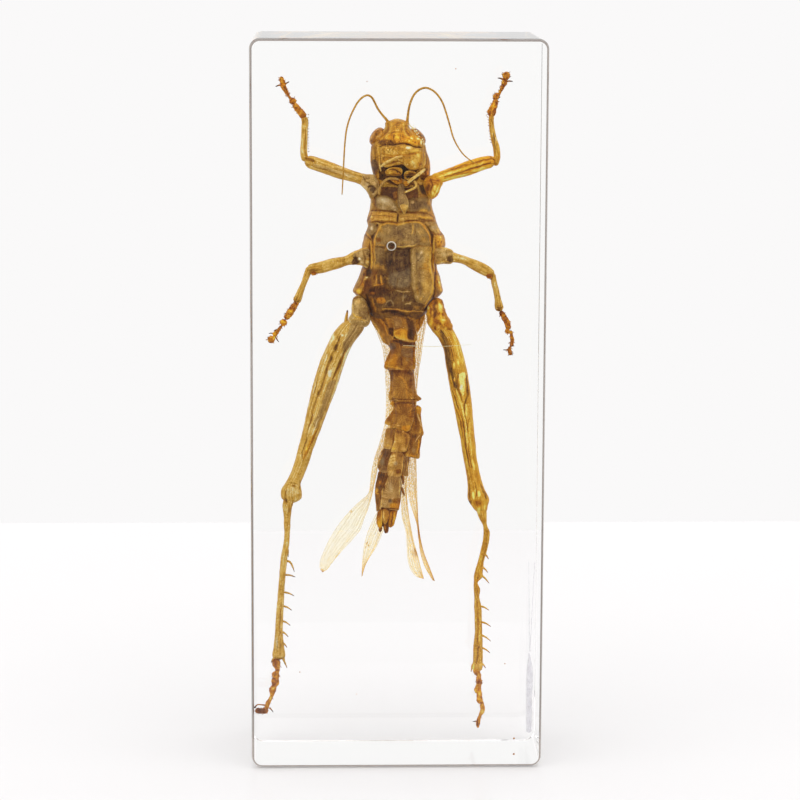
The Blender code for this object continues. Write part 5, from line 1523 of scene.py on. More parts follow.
@dataclass
class Leg:
    """One leg: thigh, shin, foot, claws and spines, each a list of skins made from stations."""

    name: str
    thigh: Table  # x, y, z, half width, half depth
    shin: Table
    foot: list[Table]
    claws: list[Table]  # x, y, z, radius
    spines: list[Table] = field(default_factory=list)
    shade: float = 0.69
    glow: float = 0.0
    marks: list[Feature] = field(default_factory=list)
    level: bool = False  # True where thigh and shin are given by level cuts

    def fuzz(self) -> list[Table]:
        """Returns the short hairs on both sides of the foot, at seeded places and leaning to its tip."""
        rng = np.random.default_rng(abs(int(self.foot[0][0][0] * 10)))
        count, steps = 9, 44
        hairs: list[Table] = []
        for stations in self.foot:
            way = curve(stations, steps)
            picks = rng.integers(4, steps - 4, count)
            ahead = way[picks + 3, :3] - way[picks - 3, :3]
            ahead /= np.linalg.norm(ahead, axis=1, keepdims=True)
            side = np.cross(ahead, (0.0, 1.0, 0.0)) * rng.choice((-1.0, 1.0), count)[:, None]
            root = way[picks, :3] + side * (way[picks, 3] * 0.85)[:, None]
            tip = root + (side * 0.8 + ahead * 0.6) * rng.uniform(0.16, 0.36, count)[:, None]
            hairs += [[(*a, 0.055), (*b, 0.025)] for a, b in zip(root, tip)]
        return hairs

    def points(self, tables: list[Table], columns: int, shade: float, glow: float, dark: float) -> list[Skin]:
        """Carries small circles along claws or spines, and darkens the tip of each.

        Args:
            tables: x, y, z and radius, from root to tip.
            columns: Steps round each.
            shade: Tone of the whole.
            glow: Amber of the whole.
            dark: What is added to the tone at the tip.

        Returns:
            The skins.
        """
        made = [strand(table, 24, columns, shade, glow) for table in tables]
        return [skin.painted([Mark(table[-1][0], table[-1][2], 0.35, 0.35, dark)])
                for skin, table in zip(made, tables)]

    def build(self) -> list[bpy.types.Object]:
        """Makes and dresses the leg."""
        make, rows, columns = (cuts, 300, 150) if self.level else (limb, 180, 72)
        thigh = make(self.thigh, rows, columns, 2.4, self.shade, self.glow)
        thigh = thigh.roughen(1.1, 0.06, seed=61, tone=0.08).painted(self.marks)
        shin = make(self.shin, rows, columns // 2, 2.2, self.shade, self.glow * 0.6)
        shin = shin.roughen(0.7, 0.05, seed=62, tone=0.1).painted(self.marks)
        foot = [limb(t, 20 * len(t), 30, 2.2, shade=0.42, glow=0.45) for t in self.foot]
        foot = [joint.roughen(0.4, 0.1, seed=63, tone=0.28).painted(self.marks) for joint in foot]
        claws = self.points(self.claws, 10, shade=0.45, glow=0.0, dark=-0.6)
        hairs = [strand(t, 8, 6, shade=0.3) for t in self.fuzz()]
        pieces = [insect_piece(f"{self.name}_thigh", [thigh], THIGH_SHELL if self.level else LEG_SHELL),
                  insect_piece(f"{self.name}_shin", [shin], LEG_SHELL),
                  insect_piece(f"{self.name}_foot", foot, FOOT_SHELL),
                  insect_piece(f"{self.name}_claws", claws, CLAW_SHELL),
                  insect_piece(f"{self.name}_hairs", hairs, FOOT_SHELL)]
        if self.spines:
            spines = self.points(self.spines, 8, shade=0.62, glow=self.glow, dark=-0.5)
            pieces.append(insect_piece(f"{self.name}_spines", spines, LEG_SHELL))
        return pieces


def shin_spine(x0: float, z0: float, x1: float, z1: float, y: float = -0.95) -> Table:
    """Returns a spine from root to tip that thins and bends slightly down."""
    mx, mz = (x0 + x1) / 2, (z0 + z1) / 2 + 0.12
    return [(x0, y, z0, 0.17), (mx, y - 0.05, mz, 0.13), (x1, y - 0.1, z1, 0.04)]


def small_bristles(left: float, right: float, top: float, bottom: float, count: int, reach: float,
                   y: float) -> list[Table]:
    """Returns a comb of short bristles evenly spaced down a shin's edge, of slightly varied length.

    Args:
        left, right: x of the first and the last.
        top, bottom: z of the first and the last.
        count: How many there are.
        reach: How far they stand out to the right, or to the left where it is below nothing.
        y: Their depth.

    Returns:
        A table for each.
    """
    z = np.linspace(top, bottom, count)
    x = np.linspace(left, right, count)
    size = reach * (1.0 + 0.25 * np.cos(np.arange(count) * 2.4))
    return [[(a, y, b, 0.07), (a + c, y - 0.05, b + 0.12, 0.03)] for a, b, c in zip(x, z, size)]


def legs() -> list[Leg]:
    """Returns the six legs with their tables."""
    return [
        Leg("left_fore",
            [(-4.3, -2.3, 88.3, 0.75, 0.8), (-5.4, -2.2, 88.75, 0.8, 0.75), (-7, -2, 89.25, 0.85, 0.75),
                (-8.6, -1.8, 89.75, 0.95, 0.8), (-10.2, -1.6, 90.35, 1, 0.8), (-11.8, -1.4, 90.9, 1, 0.8),
                (-13, -1.2, 91.3, 0.95, 0.75), (-13.9, -1.1, 91.45, 0.75, 0.7)],
            [(-13.75, -1.1, 91.4, 0.55, 0.6), (-14, -1.1, 92.6, 0.52, 0.5), (-13.95, -1.1, 94.2, 0.5, 0.48),
                (-13.9, -1, 96, 0.5, 0.48), (-13.85, -1, 97.4, 0.5, 0.5), (-14, -1, 98.1, 0.5, 0.5)],
            [
                [(-13.95, -1, 97.7, 0.45, 0.4), (-14.3, -1, 98.5, 0.52, 0.45),
                    (-14.8, -0.95, 99.1, 0.46, 0.4), (-15.3, -0.9, 99.75, 0.42, 0.4),
                    (-15.5, -0.9, 100.1, 0.3, 0.3)],
                [(-15.35, -0.9, 99.9, 0.3, 0.3), (-15.65, -0.9, 100.4, 0.5, 0.42),
                    (-15.9, -0.9, 100.85, 0.26, 0.3)],
                [(-15.9, -0.9, 100.6, 0.2, 0.22), (-16.3, -0.85, 101.2, 0.22, 0.25),
                    (-16.75, -0.85, 102, 0.3, 0.3), (-17.1, -0.8, 102.7, 0.42, 0.35),
                    (-17.2, -0.8, 103.1, 0.3, 0.3)],
                [(-17.1, -0.8, 102.8, 0.3, 0.3), (-17.25, -0.8, 103.4, 0.36, 0.3),
                    (-17.4, -0.8, 104.05, 0.22, 0.2)]],
            [
                [(-17.2, -0.8, 102.75, 0.15), (-17.7, -0.8, 102.7, 0.12), (-18.2, -0.75, 102.5, 0.06)],
                [(-17, -0.8, 102.85, 0.15), (-16.6, -0.8, 103, 0.12), (-16.15, -0.75, 103.25, 0.06)]],
            small_bristles(-13.42, -13.4, 98.3, 92.8, 14, 0.2, -1.1), marks=[
                Stroke([(-13.9, 92), (-13.2, 91.75), (-12.5, 91.4)], 0.22, 0.3, 0.2),
                Mark(-13.9, 97.6, 0.5, 0.8, -0.1),
                Stroke([(-12.6, 90.9), (-9.5, 90), (-6.4, 89.1)], 0.3, 0.72, -0.45),
                Mark(-5.6, 88.9, 0.4, 0.4, -0.15),
                Stroke([(-13.3, 90.9), (-10.5, 90), (-7.5, 89.1)], 0.08, 0.42),
                Mark(-13.7, 90.8, 0.5, 0.4, -0.1),
                Stroke([(-12.5, 91.6), (-9.5, 90.7), (-6.5, 89.8)], 0.12, 0.84),
                Stroke([(-14.25, 96.8), (-14.3, 94.5), (-14.2, 92.4)], 0.1, 0.82),
                Stroke([(-13.75, 96.5), (-13.8, 94.5), (-13.7, 92.6)], 0.1, 0.46),
                Mark(-8, 90, 0.6, 0.14, -0.14), Mark(-17.2, 103, 0.35, 0.4, 0.1, 0.8),
                Mark(-15.7, 100.3, 0.3, 0.3, 0, 0.5)]),
        Leg("right_fore",
            [(5, -2.3, 88.6, 0.85, 0.8), (6.4, -2.1, 89, 0.85, 0.8), (8, -1.9, 89.55, 0.9, 0.8),
                (9.8, -1.7, 90.15, 1.05, 0.85), (11.4, -1.5, 90.7, 1.08, 0.85),
                (12.8, -1.3, 91.15, 1.02, 0.8), (14.1, -1.1, 91.35, 0.85, 0.75),
                (14.7, -1.1, 91.3, 0.6, 0.6)],
            [(14.55, -1.1, 90.8, 0.45, 0.5), (14.85, -1.1, 92, 0.52, 0.55), (14.75, -1.1, 93.4, 0.5, 0.5),
                (14.35, -1.05, 94.9, 0.45, 0.45), (14.05, -1, 96.4, 0.4, 0.42), (13.95, -1, 97.6, 0.38, 0.42),
                (14, -1, 98.3, 0.42, 0.42)],
            [
                [(13.85, -1, 98, 0.35, 0.35), (14, -1, 98.7, 0.6, 0.45), (14.25, -0.95, 99.5, 0.5, 0.42),
                    (14.5, -0.9, 100.2, 0.46, 0.4), (14.65, -0.9, 100.8, 0.36, 0.35)],
                [(14, -1.1, 98.4, 0.2, 0.2), (13.6, -1.1, 98.8, 0.28, 0.25), (13.7, -1.1, 99.2, 0.15, 0.15)],
                [(14.5, -0.9, 100.5, 0.3, 0.3), (14.65, -0.9, 101.1, 0.47, 0.4),
                    (14.95, -0.9, 101.6, 0.25, 0.25)],
                [(14.95, -0.9, 101, 0.2, 0.22), (15.2, -0.85, 101.7, 0.22, 0.25),
                    (15.6, -0.85, 102.5, 0.32, 0.3), (15.9, -0.8, 103.3, 0.44, 0.35),
                    (16, -0.8, 103.7, 0.35, 0.3)],
                [(15.95, -0.8, 103.5, 0.35, 0.35), (16.1, -0.8, 104.2, 0.6, 0.45),
                    (16.15, -0.8, 104.8, 0.35, 0.3)]],
            [
                [(15.8, -0.8, 103.45, 0.15), (15.3, -0.8, 103.8, 0.12), (14.85, -0.75, 103.85, 0.06)],
                [(16.1, -0.8, 103.35, 0.15), (16.6, -0.8, 103.4, 0.12), (17.12, -0.75, 103.35, 0.06)]],
            small_bristles(13.55, 14, 98, 94.2, 10, -0.22, -1), shade=0.6, glow=0.75, marks=[
                Stroke([(6.2, 89.5), (9, 90.5), (11.5, 91.3), (14.2, 91.9)], 0.12, 0.3, 0.5),
                Stroke([(6.4, 89.2), (9, 90.05), (11.5, 90.85), (13.8, 91.6)], 0.16, 0.84, 0.9),
                Stroke([(7, 89.1), (9.6, 89.85), (12, 90.7), (13.9, 91.2)], 0.13, 0.16, 0.2),
                Stroke([(6.8, 88.6), (9.5, 89.3), (12, 90), (14, 90.5)], 0.15, 0.8, 1),
                Stroke([(9, 89.5), (11.4, 89.8), (13.2, 90.1)], 0.08, 0.3, 0.4),
                Mark(12.6, 90.4, 0.5, 0.12, 0.2, lean=-17), Mark(14.6, 90.9, 0.7, 0.7, -0.1, -0.4),
                Stroke([(13.9, 92.2), (14.5, 91.6), (14.6, 90.6)], 0.14, 0.3, 0.4),
                Mark(5.8, 88.7, 0.4, 0.3, -0.25),
                Stroke([(14.75, 95), (14.75, 93.5), (14.9, 92.2)], 0.12, 0.84, 0.2),
                Stroke([(14.3, 96), (14.5, 94), (14.6, 92.4)], 0.1, 0.4),
                Mark(14.2, 99.7, 0.4, 0.5, 0.1, 0.8), Mark(14.5, 96, 1, 3, 0, -0.35)]),
        Leg("left_mid",
            [(-5.2, -2.2, 77.35, 1.15, 1), (-6.4, -2, 76.85, 1, 0.9), (-7.6, -1.8, 76.5, 0.72, 0.75),
                (-8.7, -1.6, 76.2, 0.82, 0.7), (-10.1, -1.4, 75.85, 0.9, 0.75),
                (-11.5, -1.3, 75.45, 0.9, 0.75), (-12.7, -1.2, 75.3, 0.75, 0.7),
                (-13.5, -1.1, 75.2, 0.55, 0.6)],
            [(-13.1, -1.1, 75.6, 0.5, 0.5), (-13.45, -1.05, 74.6, 0.5, 0.5), (-13.9, -1, 73.4, 0.45, 0.45),
                (-14.5, -0.95, 71.9, 0.48, 0.45), (-15, -0.9, 70.6, 0.62, 0.5),
                (-15.25, -0.9, 70.1, 0.66, 0.5)],
            [
                [(-12.3, -1.5, 75, 0.3, 0.3), (-12.5, -1.5, 74.7, 0.42, 0.35),
                    (-12.9, -1.4, 74.8, 0.3, 0.3)],
                [(-15, -0.9, 70.3, 0.35, 0.35), (-15.6, -0.85, 69.4, 0.5, 0.42),
                    (-16.2, -0.85, 68.5, 0.54, 0.45), (-16.8, -0.8, 67.6, 0.42, 0.4)],
                [(-16.8, -0.8, 67.6, 0.3, 0.3), (-17.1, -0.8, 67.1, 0.55, 0.45),
                    (-17.4, -0.8, 66.6, 0.3, 0.3)],
                [(-17.35, -0.8, 66.7, 0.2, 0.22), (-17.75, -0.75, 66.1, 0.27, 0.28),
                    (-18.3, -0.7, 65.4, 0.38, 0.33), (-18.6, -0.7, 65, 0.3, 0.3)],
                [(-18.5, -0.7, 65, 0.3, 0.3), (-19, -0.7, 64.45, 0.56, 0.42),
                    (-19.35, -0.7, 64.1, 0.35, 0.3)]],
            [
                [(-18.35, -0.7, 65.1, 0.13), (-18.1, -0.7, 64.6, 0.1), (-17.8, -0.7, 64.15, 0.05)],
                [(-18.5, -0.7, 65.3, 0.12), (-18.9, -0.7, 65.5, 0.09), (-19.3, -0.7, 65.45, 0.05)]], marks=[
                    Mark(-12.6, 74.9, 0.6, 0.4, -0.3), Mark(-15.2, 70.3, 0.6, 0.6, -0.25),
                    Mark(-5.6, 76.9, 1.2, 0.8, -0.3), Mark(-8, 76.5, 0.25, 0.7, -0.2),
                    Mark(-17.1, 67, 0.5, 0.5, 0.15, 0.9), Mark(-18.6, 65, 0.5, 0.5, 0.15, 0.9),
                    Mark(-15.9, 68.9, 0.25, 0.25, 0.1, 0.6)]),
        Leg("right_mid",
            [(6.2, -2.2, 77.6, 1.2, 1), (7.4, -2, 77.2, 0.95, 0.9), (8.6, -1.8, 76.95, 0.75, 0.75),
                (10, -1.6, 76.6, 0.62, 0.7), (11.3, -1.4, 76, 0.75, 0.7), (12.6, -1.3, 75.35, 0.85, 0.75),
                (13.8, -1.1, 74.75, 0.75, 0.7), (14.6, -1.1, 74.35, 0.5, 0.6)],
            [(14.35, -1.1, 74.6, 0.42, 0.5), (14.55, -1.05, 73.4, 0.44, 0.45), (14.9, -1, 72, 0.45, 0.45),
                (15.2, -0.95, 70.6, 0.5, 0.45), (15.4, -0.9, 69.4, 0.65, 0.5),
                (15.55, -0.9, 68.8, 0.6, 0.5)],
            [
                [(13.4, -1.5, 74.5, 0.25, 0.25), (13.9, -1.5, 74.15, 0.4, 0.35),
                    (14.3, -1.4, 74, 0.25, 0.25)],
                [(15.6, -0.9, 68.9, 0.4, 0.35), (16, -0.85, 68.2, 0.42, 0.4), (16.6, -0.85, 67.1, 0.46, 0.4),
                    (16.95, -0.8, 66, 0.42, 0.4)],
                [(16.6, -0.8, 66.3, 0.3, 0.3), (16.75, -0.8, 65.8, 0.36, 0.33),
                    (17, -0.8, 65.5, 0.25, 0.25)],
                [(17.2, -0.8, 65.9, 0.2, 0.22), (17.35, -0.75, 65.1, 0.26, 0.28),
                    (17.4, -0.7, 64.2, 0.32, 0.3), (17.25, -0.7, 63.4, 0.3, 0.28)],
                [(17.1, -0.7, 63.5, 0.22, 0.22), (17, -0.7, 62.9, 0.3, 0.28),
                    (17.25, -0.7, 62.1, 0.2, 0.18)]],
            [
                [(17.1, -0.7, 63.2, 0.13), (16.6, -0.7, 62.95, 0.1), (16.05, -0.7, 62.95, 0.05)],
                [(17.2, -0.7, 63, 0.12), (17.35, -0.7, 62.5, 0.09), (17.5, -0.7, 62.1, 0.05)]], marks=[
                    Mark(14.1, 74.3, 0.6, 0.4, -0.25), Mark(15.4, 69.2, 0.6, 0.6, -0.25),
                    Mark(6.6, 76.8, 0.8, 0.6, -0.15), Mark(7.8, 76.4, 0.4, 0.4, -0.2),
                    Mark(10, 77, 1.6, 0.3, 0.12, 0, 20)]),
        Leg("left_hind",
            [(67.9, -7.4, -4.6, -1.6, 1.1), (66, -9.25, -5.1, -1.5, 1.5), (63.9, -10.4, -6.6, -1.4, 1.6),
                (61.7, -11.4, -7.6, -1.4, 1.55), (59.2, -12.25, -8.45, -1.3, 1.5),
                (56.7, -12.9, -9.25, -1.3, 1.4), (53.9, -13.5, -10.35, -1.2, 1.3),
                (51, -14.15, -11.4, -1.2, 1.2), (48.1, -14.85, -12.5, -1.2, 1.1),
                (45.3, -15.6, -13.4, -1.1, 1), (43.5, -16.3, -14.1, -1.1, 1),
                (42.4, -16.95, -14.55, -1.1, 1.1), (41.4, -17.5, -14.4, -1.1, 1.2),
                (40.5, -17.55, -14.35, -1.1, 1.2), (39.4, -17.1, -14.7, -1.1, 1)],
            [(40.4, -17.1, -15.3, -1.1, 0.8), (38.9, -17.3, -15.8, -1.1, 0.75), (37.6, -17.15, -16, -1, 0.6),
                (36, -17.1, -16.1, -1, 0.5), (34.4, -17.05, -16.2, -1, 0.5), (32.9, -17.2, -16.3, -1, 0.5),
                (31.2, -17.55, -16.55, -1, 0.55), (29.6, -17.7, -16.7, -1, 0.55),
                (27, -17.9, -16.95, -1, 0.5), (24, -18.15, -17.1, -0.95, 0.5),
                (21, -18.4, -17.25, -0.95, 0.5), (18.6, -18.55, -17.25, -0.9, 0.55),
                (16.8, -18.75, -17.05, -0.9, 0.6), (15.4, -18.9, -16.95, -0.9, 0.65),
                (14.9, -18.7, -17.1, -0.9, 0.55)],
            [
                [(-18.2, -0.9, 15.2, 0.5, 0.4), (-18.3, -0.9, 14.4, 0.62, 0.5),
                    (-18.2, -0.9, 13.9, 0.52, 0.45), (-18.1, -0.9, 13.3, 0.34, 0.38),
                    (-18.2, -0.9, 13.05, 0.36, 0.4), (-18.38, -0.85, 12.65, 0.62, 0.5),
                    (-18.4, -0.85, 12.2, 0.55, 0.46), (-18.48, -0.85, 11.7, 0.6, 0.48),
                    (-18.48, -0.85, 11.1, 0.5, 0.42), (-18.62, -0.85, 10.8, 0.38, 0.38),
                    (-18.72, -0.8, 10.6, 0.46, 0.4), (-18.9, -0.8, 10, 0.54, 0.42),
                    (-18.95, -0.8, 9.55, 0.36, 0.35), (-19.05, -0.8, 9.25, 0.25, 0.3),
                    (-19.28, -0.75, 8.7, 0.3, 0.32), (-19.64, -0.7, 8.05, 0.35, 0.34),
                    (-19.78, -0.7, 7.5, 0.36, 0.34), (-19.9, -0.7, 7, 0.3, 0.3)],
                [(-19.65, -0.7, 7.3, 0.3, 0.3), (-20, -0.7, 6.98, 0.52, 0.42), (-20.5, -0.7, 6.85, 0.4, 0.38),
                    (-21.1, -0.7, 6.95, 0.46, 0.38), (-21.55, -0.7, 7.1, 0.5, 0.38)]],
            [
                [(-19.4, -0.7, 7.4, 0.14), (-19.1, -0.7, 7.1, 0.1), (-18.8, -0.7, 6.65, 0.05)],
                [(-19.7, -0.7, 7.7, 0.16), (-20.4, -0.7, 7.82, 0.11), (-21.3, -0.7, 7.8, 0.1),
                    (-21.65, -0.7, 7.3, 0.14)]],
            [[(-16.85, -1, 30.45, 0.2), (-16.25, -1.05, 30.3, 0.17), (-15.8, -1.1, 29.6, 0.12),
                (-15.5, -1.1, 28.7, 0.04)], shin_spine(-16.95, 28.25, -15.35, 27.9),
                shin_spine(-17.1, 25.55, -15.55, 24.95), shin_spine(-17.25, 23.4, -15.9, 22.7),
                shin_spine(-17.35, 21.05, -16.15, 20.3), shin_spine(-17.4, 19.35, -16.45, 18.5),
                shin_spine(-17.4, 17.7, -16.65, 16.85), shin_spine(-18.6, 15.3, -19.1, 14.45),
                shin_spine(-17.35, 15.2, -16.65, 13.6), shin_spine(-16.5, 32.3, -16.45, 31),
                shin_spine(-18.3, 15.5, -18.9, 14.9), shin_spine(-17.9, 15.3, -18.15, 14.3),
                shin_spine(-17.2, 15.4, -17, 14.2),
                [(-7.75, -1.9, 66.6, 0.32), (-7.62, -2, 67.9, 0.24), (-7.45, -2.1, 69, 0.1)]], shade=0.72,
            level=True, marks=[
                # the glassy grey band on the right and the one below it
                Patch([(-6.9, 66.9), (-4.6, 67), (-5.4, 65.4), (-6.4, 63.9), (-7.3, 63), (-8, 62.4),
                    (-8.1, 64), (-7.4, 65.6)], 0.54, -0.5, 0, 0.3),
                Patch([(-9.3, 58.4), (-9.7, 56.6), (-10.4, 54.6), (-11.3, 52.6), (-12.3, 50.9), (-12.6, 51.4),
                    (-11.7, 53.6), (-10.9, 56), (-10.2, 58)], 0.56, -0.45, 0, 0.3),
                # the ridge, the groove on its left and the one along the right edge
                Stroke([(-8.43, 65.2), (-8.94, 63.9), (-9.45, 62.7), (-9.96, 61.6), (-10.47, 60.3),
                    (-10.98, 58.4), (-11.41, 57.2), (-11.92, 56.2), (-12.17, 55.3), (-12.69, 53.6),
                    (-13.11, 51.9), (-13.45, 50.7)], 0.17, 0.34, -0.1, -0.1),
                Stroke([(-7.49, 66.5), (-7.75, 65.2), (-8.34, 63.7), (-8.85, 62.3), (-9.62, 60.6),
                    (-10.04, 59.4), (-10.56, 58), (-11.32, 56.2), (-11.83, 54.6), (-12.34, 53.1),
                    (-12.86, 51.5), (-13.28, 50.2)], 0.13, 0.88, 0.15, 0.1),
                Stroke([(-8, 64.9), (-8.55, 63.3), (-9.1, 61.8), (-9.8, 60.1)], 0.09, 0.4, 0, -0.05),
                Stroke([(-7.7, 63), (-8.3, 61.7), (-8.85, 60.3), (-9.35, 59.2), (-9.7, 58.5)], 0.2, 0.2, 0.15,
                    -0.12),
                Stroke([(-8.05, 62.8), (-8.25, 62.3), (-8.45, 61.8)], 0.09, 0.86, -0.6),
                Stroke([(-7, 63.4), (-7.6, 62.2), (-8.15, 60.9), (-8.65, 59.4), (-9.05, 57.9), (-9.6, 56.2),
                    (-10.2, 54.6)], 0.1, 1, 0.1, 0.05),
                # blotches, and white slits on the left field painted pale for the light from behind that
                # shines through them
                Mark(-9.2, 63.4, 0.3, 0.6, -0.32), Mark(-9.9, 61.6, 0.3, 0.5, -0.26),
                Mark(-8.8, 64.7, 0.25, 0.4, -0.25), Mark(-10.3, 62.4, 0.3, 0.6, -0.14),
                Mark(-10.5, 59.9, 0.2, 0.5, -0.16), Mark(-11.9, 56.3, 0.2, 0.5, -0.18),
                Mark(-10.12, 59.35, 0.26, 0.45, 0.6, -0.9), Mark(-8.28, 65.15, 0.2, 0.22, 0.5, -0.4),
                Mark(-9.6, 65, 0.16, 0.5, 0.35),
                Stroke([(-10.5, 62.3), (-10.75, 61.6), (-10.95, 61)], 0.08, 1.05, -0.3),
                Mark(-9.95, 64.2, 0.14, 0.5, 0.3, lean=25),
                Stroke([(-11.75, 59.4), (-12.3, 57.8), (-12.75, 56.3)], 0.08, 1.05, -0.2),
                Stroke([(-13.15, 55.1), (-13.3, 54.4), (-13.45, 53.7)], 0.07, 1.05, -0.2),
                Stroke([(-11.3, 60.6), (-12, 58.6), (-12.6, 56.2), (-13.2, 53.4)], 0.08, 0.5),
                Mark(-11.2, 59.6, 0.25, 0.9, 0.12, lean=20),
                Stroke([(-12.3, 59.5), (-13, 56.4), (-13.7, 53.2), (-14.4, 50.2)], 0.08, 0.5),
                Mark(-12.6, 53.9, 0.14, 1.4, 0.1, lean=18),
                Stroke([(-13.6, 52.6), (-14.2, 50.4), (-14.9, 48), (-15.6, 45.9)], 0.12, 0.84),
                Mark(-14.4, 47.6, 0.2, 1.6, 0.1, lean=18),
                # the rusty streak above the knee
                Stroke([(-12.2, 50.4), (-12.9, 49.1), (-13.5, 47.8), (-14.1, 46.2)], 0.24, 0.44, 0.8),
                Stroke([(-11.6, 51.4), (-12.4, 49.9), (-13.2, 48), (-13.8, 46.6)], 0.1, 0.34, 0.4),
                Stroke([(-13.5, 49.6), (-14, 48.1), (-14.4, 47), (-14.3, 46.2)], 0.09, 0.14),
                Mark(-13.6, 47.8, 0.15, 0.3, 0.25, 0.5),
                Stroke([(-11.66, 52.6), (-12.3, 51.1), (-12.75, 50)], 0.07, 0.95, -0.5),
                Stroke([(-12.9, 50), (-13.5, 48.4), (-14.1, 46.6)], 0.06, 0.72, 0.3),
                Stroke([(-16.2, 44.6), (-16.7, 43.4), (-17.1, 42.4)], 0.13, 0.24),
                Mark(-15.7, 42, 0.28, 0.22, -0.45),
                Stroke([(-16.4, 42.6), (-15.7, 42.5), (-15.1, 42.3)], 0.08, 0.4),
                Stroke([(-14.7, 43), (-14.6, 42.2), (-14.8, 41.4)], 0.1, 0.4),
                Patch([(-16.6, 41.6), (-15.2, 41.8), (-15.1, 40.9), (-15.7, 40.4), (-16.6, 40.6)], 0.84, -0.1,
                    0, 0.4),
                Stroke([(-16.7, 41.5), (-16.9, 40.5), (-16.6, 39.4)], 0.12, 0.44),
                Stroke([(-15.9, 40.6), (-15.8, 39.8), (-15.9, 39)], 0.08, 0.42),
                Stroke([(-15.3, 40.4), (-15.4, 39.6), (-15.6, 38.8)], 0.08, 0.84),
                Mark(-16.9, 39.8, 0.3, 0.4, -0.2), Mark(-16.1, 38.4, 0.35, 0.5, -0.3),
                Mark(-12.4, 60.4, 0.18, 5, 0.2, 0, 13), Mark(-7, 63.4, 0.25, 2.2, 0.25, 0, 25),
                Mark(-17.6, 17, 0.3, 1.2, -0.15), Mark(-17.9, 15.1, 0.8, 0.25, -0.3),
                Mark(-18, 14.2, 0.25, 0.5, 0.15, -0.3), Mark(-17.85, 13.6, 0.12, 0.3, 0.5, -0.5),
                Mark(-18.3, 12.4, 0.3, 0.3, 0.2, 0.3), Mark(-18.6, 11.2, 0.3, 0.4, -0.14),
                Mark(-18.7, 10.4, 0.25, 0.25, 0.3, 0.3), Mark(-18, 10.9, 0.12, 0.2, 0.25, 0.3),
                Mark(-18.1, 13.3, 0.5, 0.12, -0.25), Mark(-19.2, 8.9, 0.14, 0.8, 0.2, 0.3),
                Stroke([(-18.1, 16.8), (-17.9, 18.6), (-17.7, 21), (-17.5, 24)], 0.1, 0.44, 0.1),
                Mark(-18.2, 17.6, 0.2, 0.9, 0.1, -0.6),
                Stroke([(-17.5, 27), (-17.2, 30), (-16.7, 32.4), (-16.5, 35.4)], 0.12, 0.8, 0.1),
                Mark(-16.9, 32, 0.25, 0.8, -0.12),
                Patch([(-20.1, 7.4), (-20, 6.2), (-21.9, 6.2), (-21.7, 7.6)], 0.18, 0.15, 0, 0.3),
                Mark(-20.8, 6.35, 0.9, 0.12, 0.4, 0.6)]),
        Leg("right_hind",
            [(68.6, 4.9, 7.2, -1.7, 1.1), (67.4, 4.5, 7.55, -1.6, 1.4), (66, 5.2, 8.5, -1.5, 1.6),
                (64.6, 6.3, 9.25, -1.4, 1.6), (63.1, 7.04, 9.8, -1.4, 1.6), (61, 7.36, 10.35, -1.4, 1.55),
                (58.9, 7.75, 10.8, -1.3, 1.5), (56.7, 8.15, 11.15, -1.3, 1.4), (54.6, 8.6, 11.4, -1.2, 1.3),
                (51.7, 9.2, 11.65, -1.2, 1.2), (48.9, 9.75, 11.95, -1.2, 1.1), (46, 10.25, 12.3, -1.1, 1),
                (43.5, 10.7, 12.85, -1.1, 1), (41.7, 10.85, 13.35, -1.1, 1.15), (40, 10.9, 14.15, -1.1, 1.2),
                (38.9, 11.5, 13.95, -1.1, 1), (37.8, 12.2, 13.85, -1.1, 0.7)],
            [(38.6, 12.1, 13.8, -1.1, 0.7), (37.2, 12.55, 13.8, -1.1, 0.6), (35.8, 13.25, 13.9, -1, 0.42),
                (34.8, 13.3, 14.3, -1, 0.5), (34, 13.27, 14.27, -1, 0.5), (32, 12.9, 13.9, -1, 0.5),
                (30.3, 12.5, 13.45, -1, 0.5), (28.7, 12.05, 13.3, -1, 0.5), (27.8, 11.9, 13.2, -1, 0.5),
                (26.9, 11.9, 12.5, -1, 0.42), (26, 11.9, 12.9, -0.95, 0.45), (24.7, 12, 12.8, -0.95, 0.45),
                (23.3, 12, 13.1, -0.95, 0.5), (21.3, 12.1, 13.2, -0.9, 0.5), (18.7, 12.1, 13.3, -0.9, 0.5),
                (16.7, 11.9, 13.35, -0.9, 0.55), (14.7, 11.87, 13.4, -0.9, 0.6),
                (13.4, 11.8, 13.3, -0.9, 0.6), (12.9, 12, 13.1, -0.9, 0.5)],
            [[(12.25, -0.85, 13.6, 0.4, 0.4), (12.4, -0.85, 13.25, 0.5, 0.45),
                (12.6, -0.85, 12.75, 0.48, 0.42), (12.82, -0.85, 12.3, 0.36, 0.36),
                (12.82, -0.85, 11.9, 0.4, 0.4), (12.85, -0.85, 11.3, 0.48, 0.46),
                (12.8, -0.8, 10.85, 0.4, 0.4), (12.73, -0.8, 10.45, 0.48, 0.4), (12.7, -0.8, 10, 0.54, 0.42),
                (12.82, -0.8, 9.8, 0.4, 0.36), (12.9, -0.8, 9.35, 0.43, 0.4), (12.93, -0.8, 8.8, 0.48, 0.4),
                (13, -0.8, 8.3, 0.48, 0.38), (13.28, -0.78, 8, 0.32, 0.34), (13.38, -0.75, 7.5, 0.34, 0.32),
                (13.42, -0.72, 6.9, 0.34, 0.32), (13.22, -0.7, 6.35, 0.28, 0.28),
                (13.04, -0.7, 5.95, 0.23, 0.26), (12.86, -0.7, 5.5, 0.27, 0.28),
                (12.74, -0.7, 4.85, 0.31, 0.3), (12.73, -0.7, 4.35, 0.24, 0.24),
                (12.75, -0.7, 4.05, 0.1, 0.12)]],
            [
                [(12.6, -0.7, 5.1, 0.13), (12.25, -0.7, 5.08, 0.09), (11.9, -0.7, 5.05, 0.04)],
